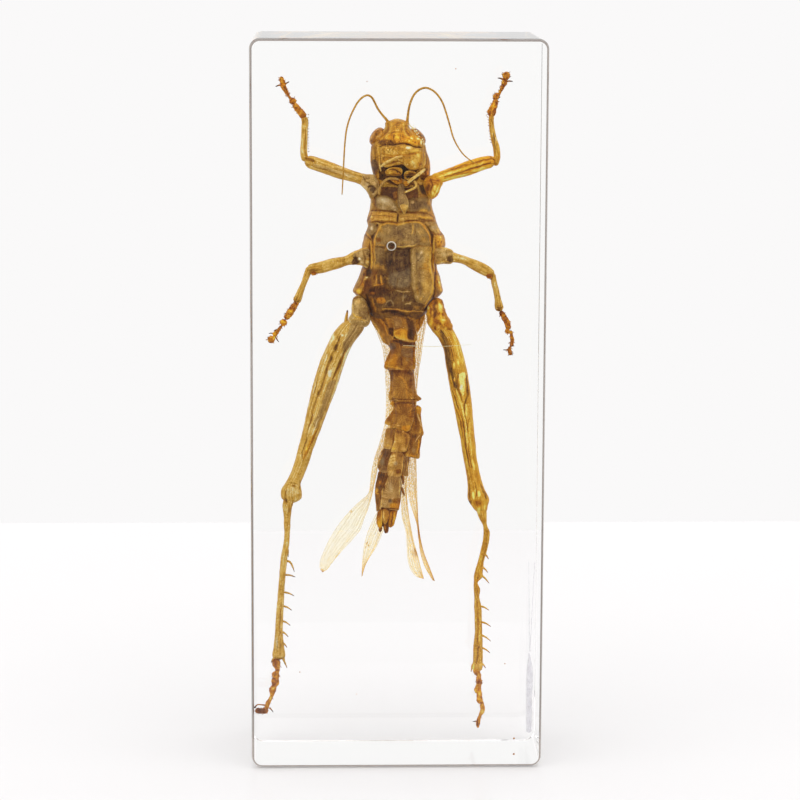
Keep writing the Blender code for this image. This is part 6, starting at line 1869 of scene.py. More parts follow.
                [(12.6, -0.8, 5.2, 0.12), (12.55, -0.85, 4.8, 0.1), (12.6, -0.85, 4.4, 0.05)]],
            [shin_spine(13.5, 31.5, 14.15, 30.6), shin_spine(13.2, 29.4, 14.05, 28.5),
                shin_spine(13.1, 28.1, 14.25, 26.85), shin_spine(12.9, 23.3, 14.3, 22.6),
                shin_spine(13.1, 20.8, 14.6, 20.05), shin_spine(13.1, 18.75, 14.6, 17.75),
                shin_spine(13.1, 16.8, 14.5, 15.9), shin_spine(13.1, 14.4, 13.85, 13.5),
                shin_spine(12.9, 14, 13.3, 13.3), shin_spine(11.85, 14.2, 11.6, 12.9),
                shin_spine(12.2, 14, 12.3, 13.2), shin_spine(12.6, 14.6, 13.2, 13.9)], shade=0.62, glow=0.45,
            level=True, marks=[
                # the dark band, with golden margins
                Stroke([(6.7, 65.9), (7.2, 64.6), (7.55, 62.9), (8.05, 60.2), (8.7, 58.1), (9.1, 57)], 0.52,
                    0.2, -0.35, -0.08),
                Stroke([(7.2, 65), (7.7, 62.8), (8.2, 60.8)], 0.1, 0.46, -0.2),
                Stroke([(7.9, 64.8), (8.2, 63), (8.7, 61)], 0.1, 0.34, 0.1),
                Stroke([(5, 65.6), (6, 64.2), (6.95, 62.6), (7.3, 60.9), (7.65, 59.2)], 0.1, 0.5, 0.6),
                Stroke([(4.9, 66.1), (5.9, 64.9), (6.7, 63.4)], 0.18, 0.8, 0.9),
                Stroke([(6.3, 64.8), (6.8, 63.7), (7, 62.6)], 0.07, 0.3, 0.2),
                Patch([(8.5, 65.7), (9.1, 65.4), (9.7, 63.4), (10.2, 61.2), (9.75, 60.7), (9.1, 62.2),
                    (8.6, 64)], 0.74, 0.65, 0, 0.25),
                Stroke([(8.9, 65.2), (9.3, 63.6), (9.8, 61.6)], 0.07, 0.5, 0.5),
                Stroke([(9, 63.6), (9.3, 62.4), (9.7, 61.2)], 0.06, 0.95, 0.6),
                Stroke([(9.5, 64.9), (10.1, 62.4), (10.7, 59.8), (11, 57), (11.2, 54.4)], 0.12, 0.56, 0.5),
                Mark(8.6, 60.6, 0.16, 0.5, 0.3, 0.9, -10), Mark(9.3, 60.9, 0.16, 0.5, 0.25, 0.8, -10),
                Mark(8.75, 58.4, 0.16, 0.28, 0.35, 0.9),
                # the bright lens and the streaks below it
                Patch([(9.55, 59.3), (10.1, 59.5), (10.3, 58.1), (10.24, 56.4), (10.06, 55.8), (9.75, 56.6),
                    (9.5, 58), (9.4, 58.8)], 0.95, 0.8, 0, 0.15),
                Mark(9.8, 57.2, 0.2, 0.4, 0.25, -1.3),
                Stroke([(10.5, 59), (10.65, 57.6), (10.7, 55.8), (10.3, 54.2), (10.3, 53.2)], 0.15, 0.18, 0,
                    -0.05),
                Stroke([(9.3, 59.4), (9.2, 58.2), (9.5, 56.6), (10, 55)], 0.12, 0.2, 0.2),
                Mark(9, 59.6, 0.3, 0.4, -0.1),
                Stroke([(9, 57), (9.6, 55.2), (10.1, 53.5), (10.5, 51.8), (10.7, 50.1), (10.9, 48)], 0.13,
                    0.92, 0.8),
                Stroke([(8.45, 56.8), (9.1, 54.8), (9.7, 52.8), (10.25, 51), (10.5, 49.1), (10.8, 46.8),
                    (11.2, 45)], 0.1, 0.14, 0.1),
                Stroke([(8.6, 54.9), (9.4, 52.8), (9.8, 51.2), (10, 49.4)], 0.08, 0.28, 0.4),
                Stroke([(8.9, 54.8), (9.5, 53.3), (9.9, 51.9)], 0.09, 0.7, 0.9),
                Stroke([(8.2, 56.6), (8.9, 53.8), (9.6, 51), (10.1, 48)], 0.1, 0.7, 0.7),
                Mark(8.2, 58.6, 0.12, 0.9, 0.3, 0.6, -12),
                Stroke([(10.5, 54.6), (10.65, 53.6), (10.6, 52.8)], 0.16, 0.95, 0.8),
                Stroke([(10.4, 53), (10.6, 51.6), (10.9, 50.4)], 0.07, 0.2, 0.2),
                Stroke([(11, 52.6), (10.85, 51.4), (10.75, 50.3)], 0.1, 0.3, 0.4),
                Stroke([(11.1, 51.8), (11.2, 49.4), (11.5, 46.6)], 0.16, 0.84, 0.7),
                Stroke([(10.9, 48.6), (11.1, 46.8), (11.5, 44.8)], 0.09, 0.3, 0.4),
                Stroke([(11.5, 50), (11.8, 47), (12.2, 44.2)], 0.09, 0.5, 0.5),
                Stroke([(10.5, 47.6), (10.8, 45.4), (11.1, 43.2)], 0.1, 0.74, 0.6),
                Mark(11.7, 45.4, 0.16, 0.9, 0.2, 0.3, -12),
                # the knee
                Mark(11.75, 40.6, 0.22, 0.55, 0.45, 0.7), Mark(12.6, 40.8, 0.2, 0.45, 0.4, 0.7),
                Mark(12.1, 41.4, 0.16, 0.3, 0.3, 0.7),
                Stroke([(12, 42.6), (12.2, 41.4), (12.15, 40.2)], 0.08, 0.2, 0.3),
                Stroke([(12.9, 42.4), (13.3, 41.2), (13.8, 40)], 0.12, 0.26, 0),
                Stroke([(11.1, 42.6), (11.2, 41.2), (11.1, 40)], 0.12, 0.3, 0.1),
                Mark(12.5, 39.4, 0.7, 0.5, -0.32, 0.2), Mark(11.15, 39.5, 0.3, 0.35, -0.5, -0.4),
                Mark(12.6, 38.3, 0.25, 0.6, 0.25, 0.5), Mark(12.9, 37.2, 0.14, 0.5, -0.2),
                Mark(13.5, 38.8, 0.16, 0.5, 0.2, 0.3), Mark(13.2, 36.5, 0.4, 0.5, -0.12),
                Mark(12.9, 30, 0.5, 2, 0, 0.3),
                # the shin
                Stroke([(13.9, 35), (13.8, 33.4), (13.5, 31.6), (13, 29.4)], 0.12, 0.5, 0.3),
                Mark(13.1, 33, 0.12, 1.2, 0.2, 0.3, 14),
                Stroke([(12.4, 26.4), (12.5, 23.4), (12.6, 20.4), (12.5, 17)], 0.08, 0.34, 0.4),
                Mark(12.9, 19, 0.12, 2.4, 0.2, 0.3),
                Stroke([(12.2, 25.4), (12.3, 22.6), (12.3, 19.6)], 0.09, 0.8, 0.4),
                Stroke([(12.8, 17.6), (12.6, 15.6), (12.5, 14.2)], 0.12, 0.24, 0.2),
                Mark(12, 13.8, 0.14, 0.5, 0.4, 0.8), Mark(12.5, 15.2, 0.3, 0.3, -0.14),
                Mark(12.9, 14.6, 0.2, 0.3, -0.16), Mark(12.4, 27, 0.4, 0.8, -0.1, 0.4),
                Mark(12.3, 13.2, 0.4, 0.4, -0.1, 0.4), Mark(12.85, 12.2, 0.3, 0.3, 0.3, -0.3),
                Mark(12.9, 11.3, 0.4, 0.5, -0.1, 0.3), Mark(12.7, 10, 0.5, 0.4, 0.05, 0.5),
                Mark(13, 9.5, 0.25, 0.3, 0.2, 0.2), Mark(12.8, 8.6, 0.25, 0.3, 0.05, 0.6),
                Mark(13.35, 7.2, 0.4, 1.2, 0.25, -0.1), Mark(12.65, 4.8, 0.12, 0.5, -0.3)])]


@dataclass
class Abdomen:
    """The hind body: a dark core, the overlapping shields of its rings, a torn flap and the tip's valves."""

    core: Table = field(default_factory=lambda: [(69.3, -4.1, 3.9, 0.5, 2.9), (68.2, -3.95, 3.8, 0.5, 2.85),
        (67, -3.5, 3.4, 0.5, 2.8), (66, -2.9, 3, 0.55, 2.7), (65, -2.4, 2.9, 0.6, 2.6),
        (64, -1.6, 2.7, 0.65, 2.5), (63.2, -1, 2.6, 0.7, 2.4), (62.2, -1.1, 2.55, 0.75, 2.35),
        (60.9, -1.55, 2.6, 0.8, 2.25), (60.2, -1.5, 2.55, 0.8, 2.2), (59.2, -0.95, 2.6, 0.85, 2.15),
        (57.5, -0.9, 2.75, 0.9, 2.1), (55.6, -0.85, 2.85, 0.9, 2), (54.8, -0.4, 2.7, 0.9, 1.95),
        (53.5, -0.35, 3.2, 0.9, 1.9), (52.3, -0.4, 3.2, 0.9, 1.85), (51.1, -0.9, 3, 0.9, 1.8),
        (50, -1.3, 2.6, 0.9, 1.8), (48.6, -1.7, 2.8, 0.9, 1.75), (47.2, -2, 2.4, 0.9, 1.7),
        (46, -2.4, 1.9, 0.9, 1.65), (45, -2.5, 1.75, 0.9, 1.6), (44, -2.55, 1.3, 0.85, 1.5),
        (43, -2.75, 0.75, 0.8, 1.4), (41.8, -2.8, 0.8, 0.75, 1.3), (40.6, -2.6, 0.75, 0.7, 1.2),
        (39.4, -2.8, 0.5, 0.65, 1.1), (38.2, -2.75, 0.2, 0.6, 1), (37, -2.7, -0.2, 0.5, 0.9),
        (35.6, -2.3, -0.9, 0.5, 0.6)])
    shields: list[Shield] = field(default_factory=lambda: [
        # the first ring: a striped wedge, a broad half and a narrow column
        Shield([(-4.25, 69), (-2.6, 69.2), (-0.9, 68.9), (-0.55, 67.4), (-0.45, 66), (-0.5, 64.8),
            (-1.1, 63.7), (-2, 64.05), (-2.54, 65), (-3.06, 65.96), (-3.6, 66.8), (-4.05, 67.6)], 0.1, 0.3,
            0.42, 0, 0.1, 0.15, 0.5, 3.2, [
                Stroke([(-3.9, 68.9), (-3.1, 68), (-2.3, 66.9), (-1.7, 65.7)], 0.17, 0.28, 0.35, -0.1),
                Stroke([(-3.4, 68.9), (-2.6, 67.8), (-1.9, 66.7), (-1.4, 65.2)], 0.14, 0.5, 0.75, 0.06),
                Stroke([(-2.9, 68.9), (-2.1, 67.6), (-1.6, 66.6)], 0.15, 0.12, 0, -0.15),
                Stroke([(-2.2, 68.8), (-1.6, 67.8), (-1.3, 67), (-1.06, 66.2)], 0.14, 0.46, 0.5, 0.06),
                Stroke([(-4.1, 67.7), (-3.5, 66.95), (-2.95, 66.1), (-2.45, 65.15), (-1.85, 64.15)], 0.2,
                    0.76, 0.1, 0.1),
                Patch([(-1.15, 66.3), (-0.6, 66.4), (-0.45, 65.6), (-0.6, 65), (-1.15, 65.3)], 0.06, 0,
                    -0.2),
                Mark(-3.3, 68.6, 0.5, 0.2, -0.12), Mark(-2, 65.2, 0.2, 0.4, 0.1, 0.3)]),
        Shield([(2.6, 68.8), (3.9, 68.85), (4.15, 68.2), (3.95, 67.1), (3.55, 66.3), (3.1, 65.6), (2.8, 66.4),
            (2.6, 67.5)], 0, 0.25, 0.46, 0.35, 0.15, 0.15, 0.5, 3,
            [Stroke([(3.3, 68.6), (3.4, 67.5), (3.2, 66.4)], 0.12, 0.24, 0.2, -0.08)]),
        Shield([(-0.96, 68.6), (0.9, 68.5), (2.7, 68), (2.8, 67), (2.9, 66), (3.05, 65.1), (3.1, 64.6),
            (2.83, 64.2), (1.99, 64.1), (0.94, 64.35), (0, 64.7), (-0.43, 65.1), (-0.5, 66.06),
            (-0.75, 67.3)], 0.25, 0.4, 0.5, 0, 0.05, 0.2, 0.6, 3.2, [
                Patch([(-0.5, 67.9), (0.5, 67.7), (0.6, 66.3), (-0.2, 65.7), (-0.4, 66.6)], 0.44, -0.25),
                Patch([(-0.6, 65.6), (0.05, 66.15), (1, 66.2), (1.6, 66), (1.75, 65.4), (1.65, 64.6),
                    (0.7, 64.6), (-0.4, 64.9)], 0.5, 0.8, 0.05, 0.3),
                Mark(1.1, 67.2, 0.4, 0.4, 0.05, 0.2),
                Patch([(1.5, 67.6), (2.35, 67.5), (2.45, 66), (2.4, 64.6), (1.75, 64.6), (1.75, 66)], 0.2,
                    -0.2, -0.1),
                Stroke([(2.5, 66.5), (2.55, 65.5), (2.5, 64.5)], 0.18, 0.14, 0.1, -0.1),
                Stroke([(-0.4, 65.1), (0.2, 64.8), (1, 64.5), (2, 64.3), (2.9, 64.3)], 0.13, 0.72, 0.4,
                    0.15),
                # painted shadow: darker along the top, under the breast above
                Stroke([(-0.96, 68.6), (0, 68.5), (0.94, 68.15), (1.8, 67.6)], 0.22, 0.06, 0, -0.2),
                Mark(0, 66.9, 0.3, 0.4, 0.12), Mark(2.1, 65.6, 0.25, 0.5, -0.15),
                Mark(0.2, 65.6, 0.3, 0.3, -0.12)]),
        # the second ring
        Shield([(-1.1, 64.3), (-0.2, 64.7), (1.2, 64.4), (2.75, 64.2), (2.83, 63.2), (2.75, 62.2),
            (2.85, 60.9), (2.75, 60.1), (1.2, 59.9), (0, 59.9), (-1, 59.9), (-1.9, 60.2), (-1.8, 61),
            (-1.3, 62.3), (-0.9, 63.2)], 0.15, 0.4, 0.37, 0.1, 0.1, 0.2, 0.6, 3.4, [
                # painted shadow: darker along the top, where the first ring overlaps
                Stroke([(-0.6, 64.3), (0.2, 64.2), (1.2, 63.9), (2.6, 63.75)], 0.22, 0.1, 0, -0.15),
                Patch([(-0.95, 64), (-0.2, 63.9), (-0.1, 63.2), (-0.8, 63.1)], 0.28, -0.5),
                Patch([(-0.8, 62.4), (-0.1, 62.2), (0.1, 61.2), (0.05, 60.2), (-1, 60.1), (-1.8, 60.5),
                    (-1.7, 61.1), (-1.2, 61.8)], 0.48, 0.6, 0.05, 0.25),
                Mark(-0.9, 61, 0.4, 0.4, 0.1, 0.2),
                Stroke([(-1.7, 60.45), (-0.8, 60.35), (0.2, 60.2), (0.9, 60)], 0.1, 0.7, 0.5, 0.05),
                Stroke([(2.65, 63.4), (2.7, 62.2), (2.6, 61)], 0.1, 0.5, 0.6),
                Stroke([(0.5, 62.6), (0.6, 61.4), (0.9, 60.4)], 0.14, 0.2),
                Patch([(0.75, 63.05), (2.25, 63.05), (2.45, 62.2), (1.7, 61.7), (0.85, 61.95)], 0.4, -0.4,
                    0.05),
                Stroke([(0.8, 63.35), (1.5, 63.3), (2.4, 63.35)], 0.09, 0.74, 0, 0.06),
                Mark(0.4, 62.6, 0.3, 0.8, 0.1), Mark(1.2, 61, 0.8, 0.4, 0.08),
                Mark(2.4, 61.2, 0.25, 0.5, -0.1, 0.3), Mark(0.2, 61, 0.3, 0.5, -0.12),
                Mark(1.6, 61.4, 0.3, 0.3, 0.08, -0.4), Mark(1.9, 60.6, 0.5, 0.2, -0.08)]),
        # the third ring with its pointed corner
        Shield([(-1.15, 60), (0.5, 60), (2.3, 59.9), (2.6, 59), (2.75, 58.2), (2.85, 56.9), (3.15, 56.1),
            (3.78, 55.4), (3.25, 55.1), (2.6, 55), (1.2, 55.1), (0, 55.2), (-1.05, 55.25), (-1.05, 57),
            (-1, 58.8)], 0.1, 0.4, 0.44, 0, 0.1, 0.2, 0.6, 3.4, [
                # painted shadow: darker along the top, where the ring above overlaps
                Stroke([(-1, 59.7), (0.2, 59.7), (1.2, 59.6), (2.3, 59.3)], 0.3, 0.12, 0.2, -0.1),
                Stroke([(2.1, 58.6), (2.15, 57.8), (1.9, 57)], 0.22, 0.2, 0.3, -0.06),
                Mark(1.4, 57, 0.3, 0.3, -0.08),
                Stroke([(0.3, 59), (1, 58.4), (1.45, 57.6), (1.5, 56.4), (1.7, 55.6)], 0.14, 0.52, 0.5),
                Mark(-0.3, 57.6, 0.5, 1.4, 0.06), Mark(0.3, 58.7, 0.4, 0.4, 0.1, 0.1),
                Mark(-0.7, 59, 0.2, 0.6, -0.12), Mark(0.6, 56.4, 0.5, 0.5, 0.06, 0.1),
                Mark(-0.4, 56.3, 0.3, 0.5, 0.12, 0.3), Mark(2.2, 56.1, 0.4, 0.3, 0.1, 0.4),
                Stroke([(-0.9, 55.5), (0.5, 55.4), (1.9, 55.35), (3.2, 55.35)], 0.1, 0.14, 0, -0.1),
                Mark(2.28, 55.56, 0.13, 0.1, 0.3, 0.6)]),
        # the fourth ring between its flaps
        Shield([(3.05, 54.5), (3.65, 54.2), (3.72, 53), (3.8, 52), (3.98, 50.9), (4.05, 49.9), (3.2, 49.5),
            (2.1, 50), (2.4, 51.3), (2.7, 52.4), (2.85, 53.6)], -0.1, 0.3, 0.46, 0.1, 0.12, 0.15, 0.4, 3, [
                Patch([(3.1, 54.4), (3.65, 54.3), (3.75, 53.2), (3.1, 53.1)], 0.58, 0.6, 0, 0.25),
                Stroke([(3.15, 53.2), (3.45, 52.2), (3.75, 51.2)], 0.1, 1, -0.3, 0.05),
                Mark(2.9, 52.4, 0.15, 0.8, -0.2), Mark(3.1, 50.8, 0.5, 0.5, -0.15),
                Mark(3.6, 50.4, 0.15, 0.6, 0.2, 0.3)]),
        Shield([(-0.45, 53.9), (-0.98, 53.15), (-1.5, 52.5), (-1.82, 51.77), (-1.08, 51.38), (-0.6, 51.7),
            (-0.4, 52.9)], -0.1, 0.25, 0.52, 0.15, 0.12, 0.12, 0.35, 2.8, [Mark(-1, 52.3, 0.3, 0.3, -0.15)]),
        Shield([(-0.9, 55.05), (-0.55, 55.1), (-0.3, 54.9), (-0.3, 54.4), (-0.6, 54.3)], 0.1, 0.2, 0.55, 0.6,
            0, 0.1, 0.3),
        Shield([(-0.45, 54.9), (0.8, 55.25), (2.85, 55.05), (2.85, 53.8), (2.68, 52.7), (2.4, 51.6),
            (2, 50.6), (1.5, 50.35), (0.8, 50.7), (0, 50.9), (-1, 51), (-0.9, 51.8), (-0.6, 52.6),
            (-0.44, 53.6)], 0.15, 0.4, 0.44, 0.05, 0.12, 0.2, 0.6, 3.4, [
                Patch([(0.7, 51.2), (1.4, 51.3), (2.1, 51.4), (2, 50.8), (1.5, 50.4), (0.8, 50.8)], 0.46, 0.8,
                    0, 0.3),
                Stroke([(0.2, 54.6), (0.1, 53), (-0.2, 51.3)], 0.07, 0.3),
                Stroke([(0.8, 54.6), (0.8, 53.2), (0.5, 51.6)], 0.07, 0.56),
                Stroke([(1.6, 54.6), (1.6, 53.4), (1.4, 52)], 0.08, 0.32, 0.1),
                Stroke([(2.2, 54.6), (2.1, 53.2), (1.8, 51.8)], 0.08, 0.52, 0.3),
                Stroke([(2.8, 54.8), (2.8, 53.4), (2.68, 52.3), (2.3, 50.9)], 0.1, 0.1, 0, -0.1),
                Mark(0.3, 52, 0.4, 0.5, 0.08), Mark(1.6, 54.4, 0.5, 0.3, 0.1, 0.3),
                Mark(0.2, 54, 0.3, 0.5, 0.1, 0.1), Mark(1, 53.2, 0.5, 0.4, -0.12),
                Mark(2.1, 52.9, 0.3, 0.6, -0.1, 0.2),
                # painted shadow: darker along the top, where the ring above overlaps
                Stroke([(-0.3, 54.75), (0.8, 54.85), (2.5, 54.75)], 0.12, 0.16, 0, -0.08),
                Stroke([(-0.6, 51.5), (0.4, 51.35), (1, 51.3)], 0.08, 0.7, 0.1, 0.06)]),
        # the fifth ring and the torn flap on its right
        Shield([(-1.49, 50.9), (-0.49, 50.8), (-0.57, 49.42), (-0.64, 48.34), (-0.87, 47.73), (-1.95, 47.96),
            (-1.95, 48.8), (-1.75, 49.9)], 0, 0.35, 0.56, -0.1, 0.1, 0.15, 0.5, 3.2, [
                Stroke([(-1.75, 49.6), (-1.9, 48.9), (-1.85, 48.2)], 0.14, 0.86, 0.1, 0.06),
                Mark(-0.8, 50, 0.2, 0.7, -0.2), Mark(-1.3, 48.3, 0.3, 0.2, 0.1, 0.5),
                Mark(-1.3, 50.3, 0.3, 0.3, -0.1)]),
        Shield([(2, 50.3), (2.6, 50.1), (3.3, 50.2), (3.85, 50.05), (3.8, 49.3), (3.6, 47.8), (3.34, 46.25),
            (2.5, 46.4), (1.4, 46.7), (1.7, 47.6), (1.85, 48.8)], 0, 0.35, 0.46, 0, 0.12, 0.15, 0.5, 3.2, [
                Stroke([(1.5, 46.9), (2.3, 46.65), (3.2, 46.6)], 0.16, 0.56, 0.9, 0.05),
                Mark(2.2, 48.4, 0.2, 1.3, -0.14),
                Stroke([(3.4, 49.2), (3.3, 48), (3.15, 47)], 0.16, 0.6, 0.9, 0.05),
                Mark(2.6, 47.5, 0.3, 0.4, 0.08, -0.4),
                Stroke([(3.75, 49.9), (3.35, 49.5), (2.9, 48.9)], 0.08, 0.86, -0.3),
                Mark(2.9, 49.7, 0.4, 0.2, -0.12),
                Stroke([(3.75, 49.5), (3.6, 48.2), (3.4, 47)], 0.07, 0.24, 0.5)]),
        Shield([(-0.26, 50.75), (0.66, 50.85), (1.12, 50.5), (1.92, 49.95), (1.96, 48.96), (1.75, 48.03),
            (1.58, 47.45), (0.35, 47.3), (-0.85, 47.45), (-0.75, 47.88), (-0.41, 48.8), (-0.34, 49.73)], 0.12,
            0.4, 0.56, 0.05, 0.06, 0.2, 0.6, 3.4, [
                # painted shadow: darker along the top, where the ring above overlaps
                Mark(0.5, 50.4, 0.7, 0.25, -0.22),
                Stroke([(-0.1, 50.2), (-0.2, 49.2), (-0.5, 48.1)], 0.16, 0.78, 0.25, 0.05),
                Stroke([(1.3, 50), (1.5, 49.2), (1.4, 48)], 0.2, 0.3, 0.1),
                Mark(0.6, 49.2, 0.5, 0.5, 0.1, 0.1), Mark(-0.4, 47.8, 0.35, 0.2, 0.05, 0.7),
                Mark(0.4, 48.2, 0.3, 0.5, -0.12), Mark(1.1, 47.8, 0.4, 0.3, 0.1),
                Stroke([(0.7, 50.3), (0.8, 49.4), (0.7, 48.4)], 0.06, 0.36),
                Mark(0.95, 50.45, 0.12, 0.12, 0.4)]),
        # the sixth ring: an oval between two side plates
        Shield([(-2.02, 47.75), (-0.95, 47.8), (-0.95, 47.27), (-1.2, 46.2), (-1.26, 45.27), (-1.4, 44.19),
            (-2.56, 44.34), (-2.87, 45.03), (-2.71, 46.03), (-2.33, 46.96)], 0, 0.3, 0.38, -0.35, 0.14, 0.12,
            0.5, 3, [
                # painted highlight: the blue-grey glint in the plate's middle
                Mark(-2.1, 45.8, 0.35, 0.6, 0.14, -0.5),
                Stroke([(-1.3, 47.4), (-1.5, 46.2), (-1.6, 44.9)], 0.16, 0.22),
                Stroke([(-2.1, 47.3), (-2.5, 46.2), (-2.7, 45.3)], 0.08, 0.66, 0.1),
                Mark(-1.9, 44.6, 0.4, 0.2, -0.14)]),
        Shield([(1.12, 46.6), (1.96, 46.3), (1.81, 45.1), (1.58, 43.5), (1.15, 43.6), (1, 44.2),
            (1.15, 45.3)], -0.05, 0.25, 0.5, -0.3, 0.1, 0.1, 0.4, 3, [
                Stroke([(1.4, 46.3), (1.45, 45.2), (1.3, 44.1)], 0.08, 0.26),
                Stroke([(1.7, 46), (1.65, 45), (1.45, 44)], 0.07, 0.78)]),
        Shield([(-0.6, 47.15), (0.35, 47.35), (1.04, 46.96), (1.14, 46.19), (1.06, 45.27), (0.91, 44.19),
            (0.76, 43.6), (-0.41, 43.5), (-1.28, 43.65), (-1.35, 44.34), (-1.36, 45.27), (-1.08, 46.34)], 0.2,
            0.45, 0.58, -0.1, 0, 0.2, 0.6, 2.8, [
                Patch([(-0.75, 46.8), (-0.2, 46.9), (-0.1, 46), (-0.5, 45.2), (-1.1, 45.2), (-1.1, 46.1)],
                    0.84, 0.15, 0.08, 0.4),
                Stroke([(-1, 46.2), (-0.5, 46.35), (0.1, 46.3)], 0.06, 0.5),
                Stroke([(-1.1, 45.8), (-0.6, 45.95), (0, 45.9)], 0.06, 0.5),
                Stroke([(-1.2, 45.3), (-0.7, 45.45), (-0.1, 45.4)], 0.06, 0.5),
                Mark(0.6, 46.7, 0.35, 0.3, -0.14), Mark(-0.15, 45.5, 0.28, 0.3, 0.06, -0.6),
                Mark(0.5, 45.6, 0.25, 0.6, -0.06), Mark(-0.9, 44.3, 0.3, 0.3, 0.1, 0.2),
                Patch([(-0.1, 44.5), (0.5, 44.6), (0.7, 44), (0.1, 43.8)], 0.2, 0.3, 0, 0.3),
                Mark(0, 44.9, 0.5, 0.2, -0.12),
                Stroke([(0.9, 46.6), (0.95, 45.4), (0.75, 44.2)], 0.08, 0.76, 0.4)]),
        # the seventh ring, long and pale, with its spotted left strip
        Shield([(-2.64, 44.3), (-1.41, 43.9), (-1.65, 42.34), (-2.2, 41.27), (-2.4, 40.03), (-2.5, 38.65),
            (-2.94, 38.03), (-3.12, 39.27), (-3.26, 40.65), (-3.2, 42.03), (-2.94, 43.27)], -0.05, 0.3, 0.36,
            -0.05, 0.12, 0.1, 0.5, 3, [
                Mark(-2.5, 42.6, 0.25, 0.25, 0.2, 0.6), Mark(-2.9, 41.4, 0.2, 0.3, 0.25, 0.5),
                Mark(-2.2, 43.7, 0.4, 0.3, -0.2, -0.3),
                Stroke([(-3.15, 41.6), (-2.95, 40.9), (-2.6, 40.9)], 0.1, 0.74, 0.5),
                Mark(-2.6, 41.7, 0.2, 0.2, 0.05, -0.8),
                Stroke([(-2.9, 40.4), (-2.8, 39.5), (-2.7, 38.7)], 0.16, 0.3, -0.2),
                Mark(-2.35, 42, 0.2, 0.3, -0.14)]),
        Shield([(-1.25, 43.5), (-0.3, 43.6), (0.6, 43.55), (0.7, 42.6), (0.7, 41.6), (0.62, 40.6),
            (0.7, 39.9), (0.55, 39), (0.35, 38.25), (-0.6, 38.35), (-1.4, 38.5), (-2.2, 38.7), (-2.48, 38.3),
            (-2.4, 39.6), (-2.26, 40.2), (-2.28, 41.3), (-1.72, 42.2), (-1.45, 43)], 0.12, 0.4, 0.6, -0.3,
            0.05, 0.15, 0.6, 3.2, [
                Stroke([(0.5, 43.3), (0.55, 42), (0.45, 40.6)], 0.1, 0.92, 0.5, 0.05),
                Mark(-0.9, 42, 0.5, 0.9, 0.06, -0.2),
                Stroke([(-1.4, 42.8), (-2.1, 41.4), (-2.15, 40.4)], 0.08, 0.86, 0.2),
                Stroke([(-2.2, 40), (-2.3, 39.2), (-2.3, 38.8)], 0.08, 0.86, 0.3),
                Stroke([(-2.2, 40.15), (-1.2, 40), (-0.5, 39.95)], 0.07, 0.26, 0, -0.05),
                Mark(-0.95, 39.75, 0.25, 0.35, -0.32, -0.5),
                Patch([(-0.6, 39.9), (0.6, 40.1), (0.5, 39.2), (-0.3, 39.2)], 0.32, 0.15, 0, 0.3),
                Mark(-0.3, 39.5, 0.1, 0.3, -0.15),
                Patch([(-0.9, 39.1), (0.5, 39.3), (0.3, 38.4), (-0.8, 38.5)], 0.5, 0.75, 0, 0.3),
                Mark(-0.3, 42.6, 0.2, 0.9, -0.06),
                Stroke([(-2.3, 38.65), (-1.3, 38.55), (-0.3, 38.45), (0.3, 38.35)], 0.07, 0.1),
                Mark(-0.5, 40.9, 0.4, 0.4, 0.04)]),
        # the valves of the tip
        Shield([(-2.87, 37.95), (-2.56, 38.4), (-2.2, 38.5), (-2.07, 37.57), (-2.05, 36.65), (-2.1, 35.88),
            (-2.18, 35.11), (-2.41, 34.88), (-2.64, 35.03), (-2.73, 35.57), (-2.94, 36.03), (-3.02, 36.8),
            (-2.99, 37.42)], -0.1, 0.35, 0.5, 0.35, -0.1, 0.1, 0.5, 2.6, [
                Patch([(-2.75, 36.7), (-2.2, 36.6), (-2.15, 35.8), (-2.6, 35.7)], 0.62, 0.95, 0, 0.3),
                Mark(-2.4, 35.1, 0.35, 0.35, -0.4),
                Stroke([(-2.2, 38.1), (-2.25, 37), (-2.25, 36)], 0.09, 0.84, 0.5),
                Mark(-2.75, 37.5, 0.2, 0.4, -0.1)]),
        Shield([(-1, 37.9), (-0.3, 38.3), (0.14, 38.3), (0.05, 37.42), (-0.18, 36.65), (-0.41, 35.88),
            (-0.87, 35.57), (-1.15, 35.73), (-1.2, 36.5), (-1.05, 37.11)], -0.1, 0.35, 0.5, 0.5, -0.1, 0.1,
            0.5, 2.8, [
                Stroke([(-0.55, 38), (-0.6, 37), (-0.75, 36.1)], 0.08, 0.2),
                Stroke([(-0.2, 37.9), (-0.3, 37), (-0.55, 36.2)], 0.12, 0.7, 0.8),
                Mark(-0.95, 36, 0.2, 0.3, -0.2)]),
        Shield([(-1.95, 36.5), (-1.12, 36.4), (-1.1, 35.73), (-1.33, 34.73), (-1.72, 34.68), (-1.9, 35.11),
            (-1.97, 35.73)], -0.1, 0.3, 0.2, 0.1, 0, 0.1, 0.5, 2.8,
            [Mark(-1.7, 35.6, 0.12, 0.4, 0.25, 0.5)]),
        Shield([(-2.18, 38.27), (-1.72, 38.53), (-1.18, 38.19), (-1, 37.73), (-1.1, 36.96), (-1.41, 36.34),
            (-1.72, 36.03), (-2.02, 36.34), (-2.13, 37.11), (-2.22, 37.73)], 0.1, 0.4, 0.56, 0.15, -0.14, 0.1,
            0.6, 2.6, [
                # painted highlight: the bright vertical glint down the oval
                Stroke([(-1.95, 38.1), (-1.95, 37.3), (-1.85, 36.6)], 0.09, 0.9, 0.3, 0.05),
                Mark(-1.4, 36.7, 0.3, 0.3, -0.15, 0.1)])])

    def front(self, x: Array, z: Array) -> Array:
        """Returns the depth of the core's front at x and z, which follows its ellipse."""
        level, left, right, middle, deep = np.array(sorted(self.core)).T
        left, right, middle, deep = (np.interp(z, level, column) for column in (left, right, middle, deep))
        off = np.clip(np.abs(x - (left + right) / 2) / ((right - left) / 2), 0.0, 0.93)
        return middle - deep * np.sqrt(1.0 - off**2)

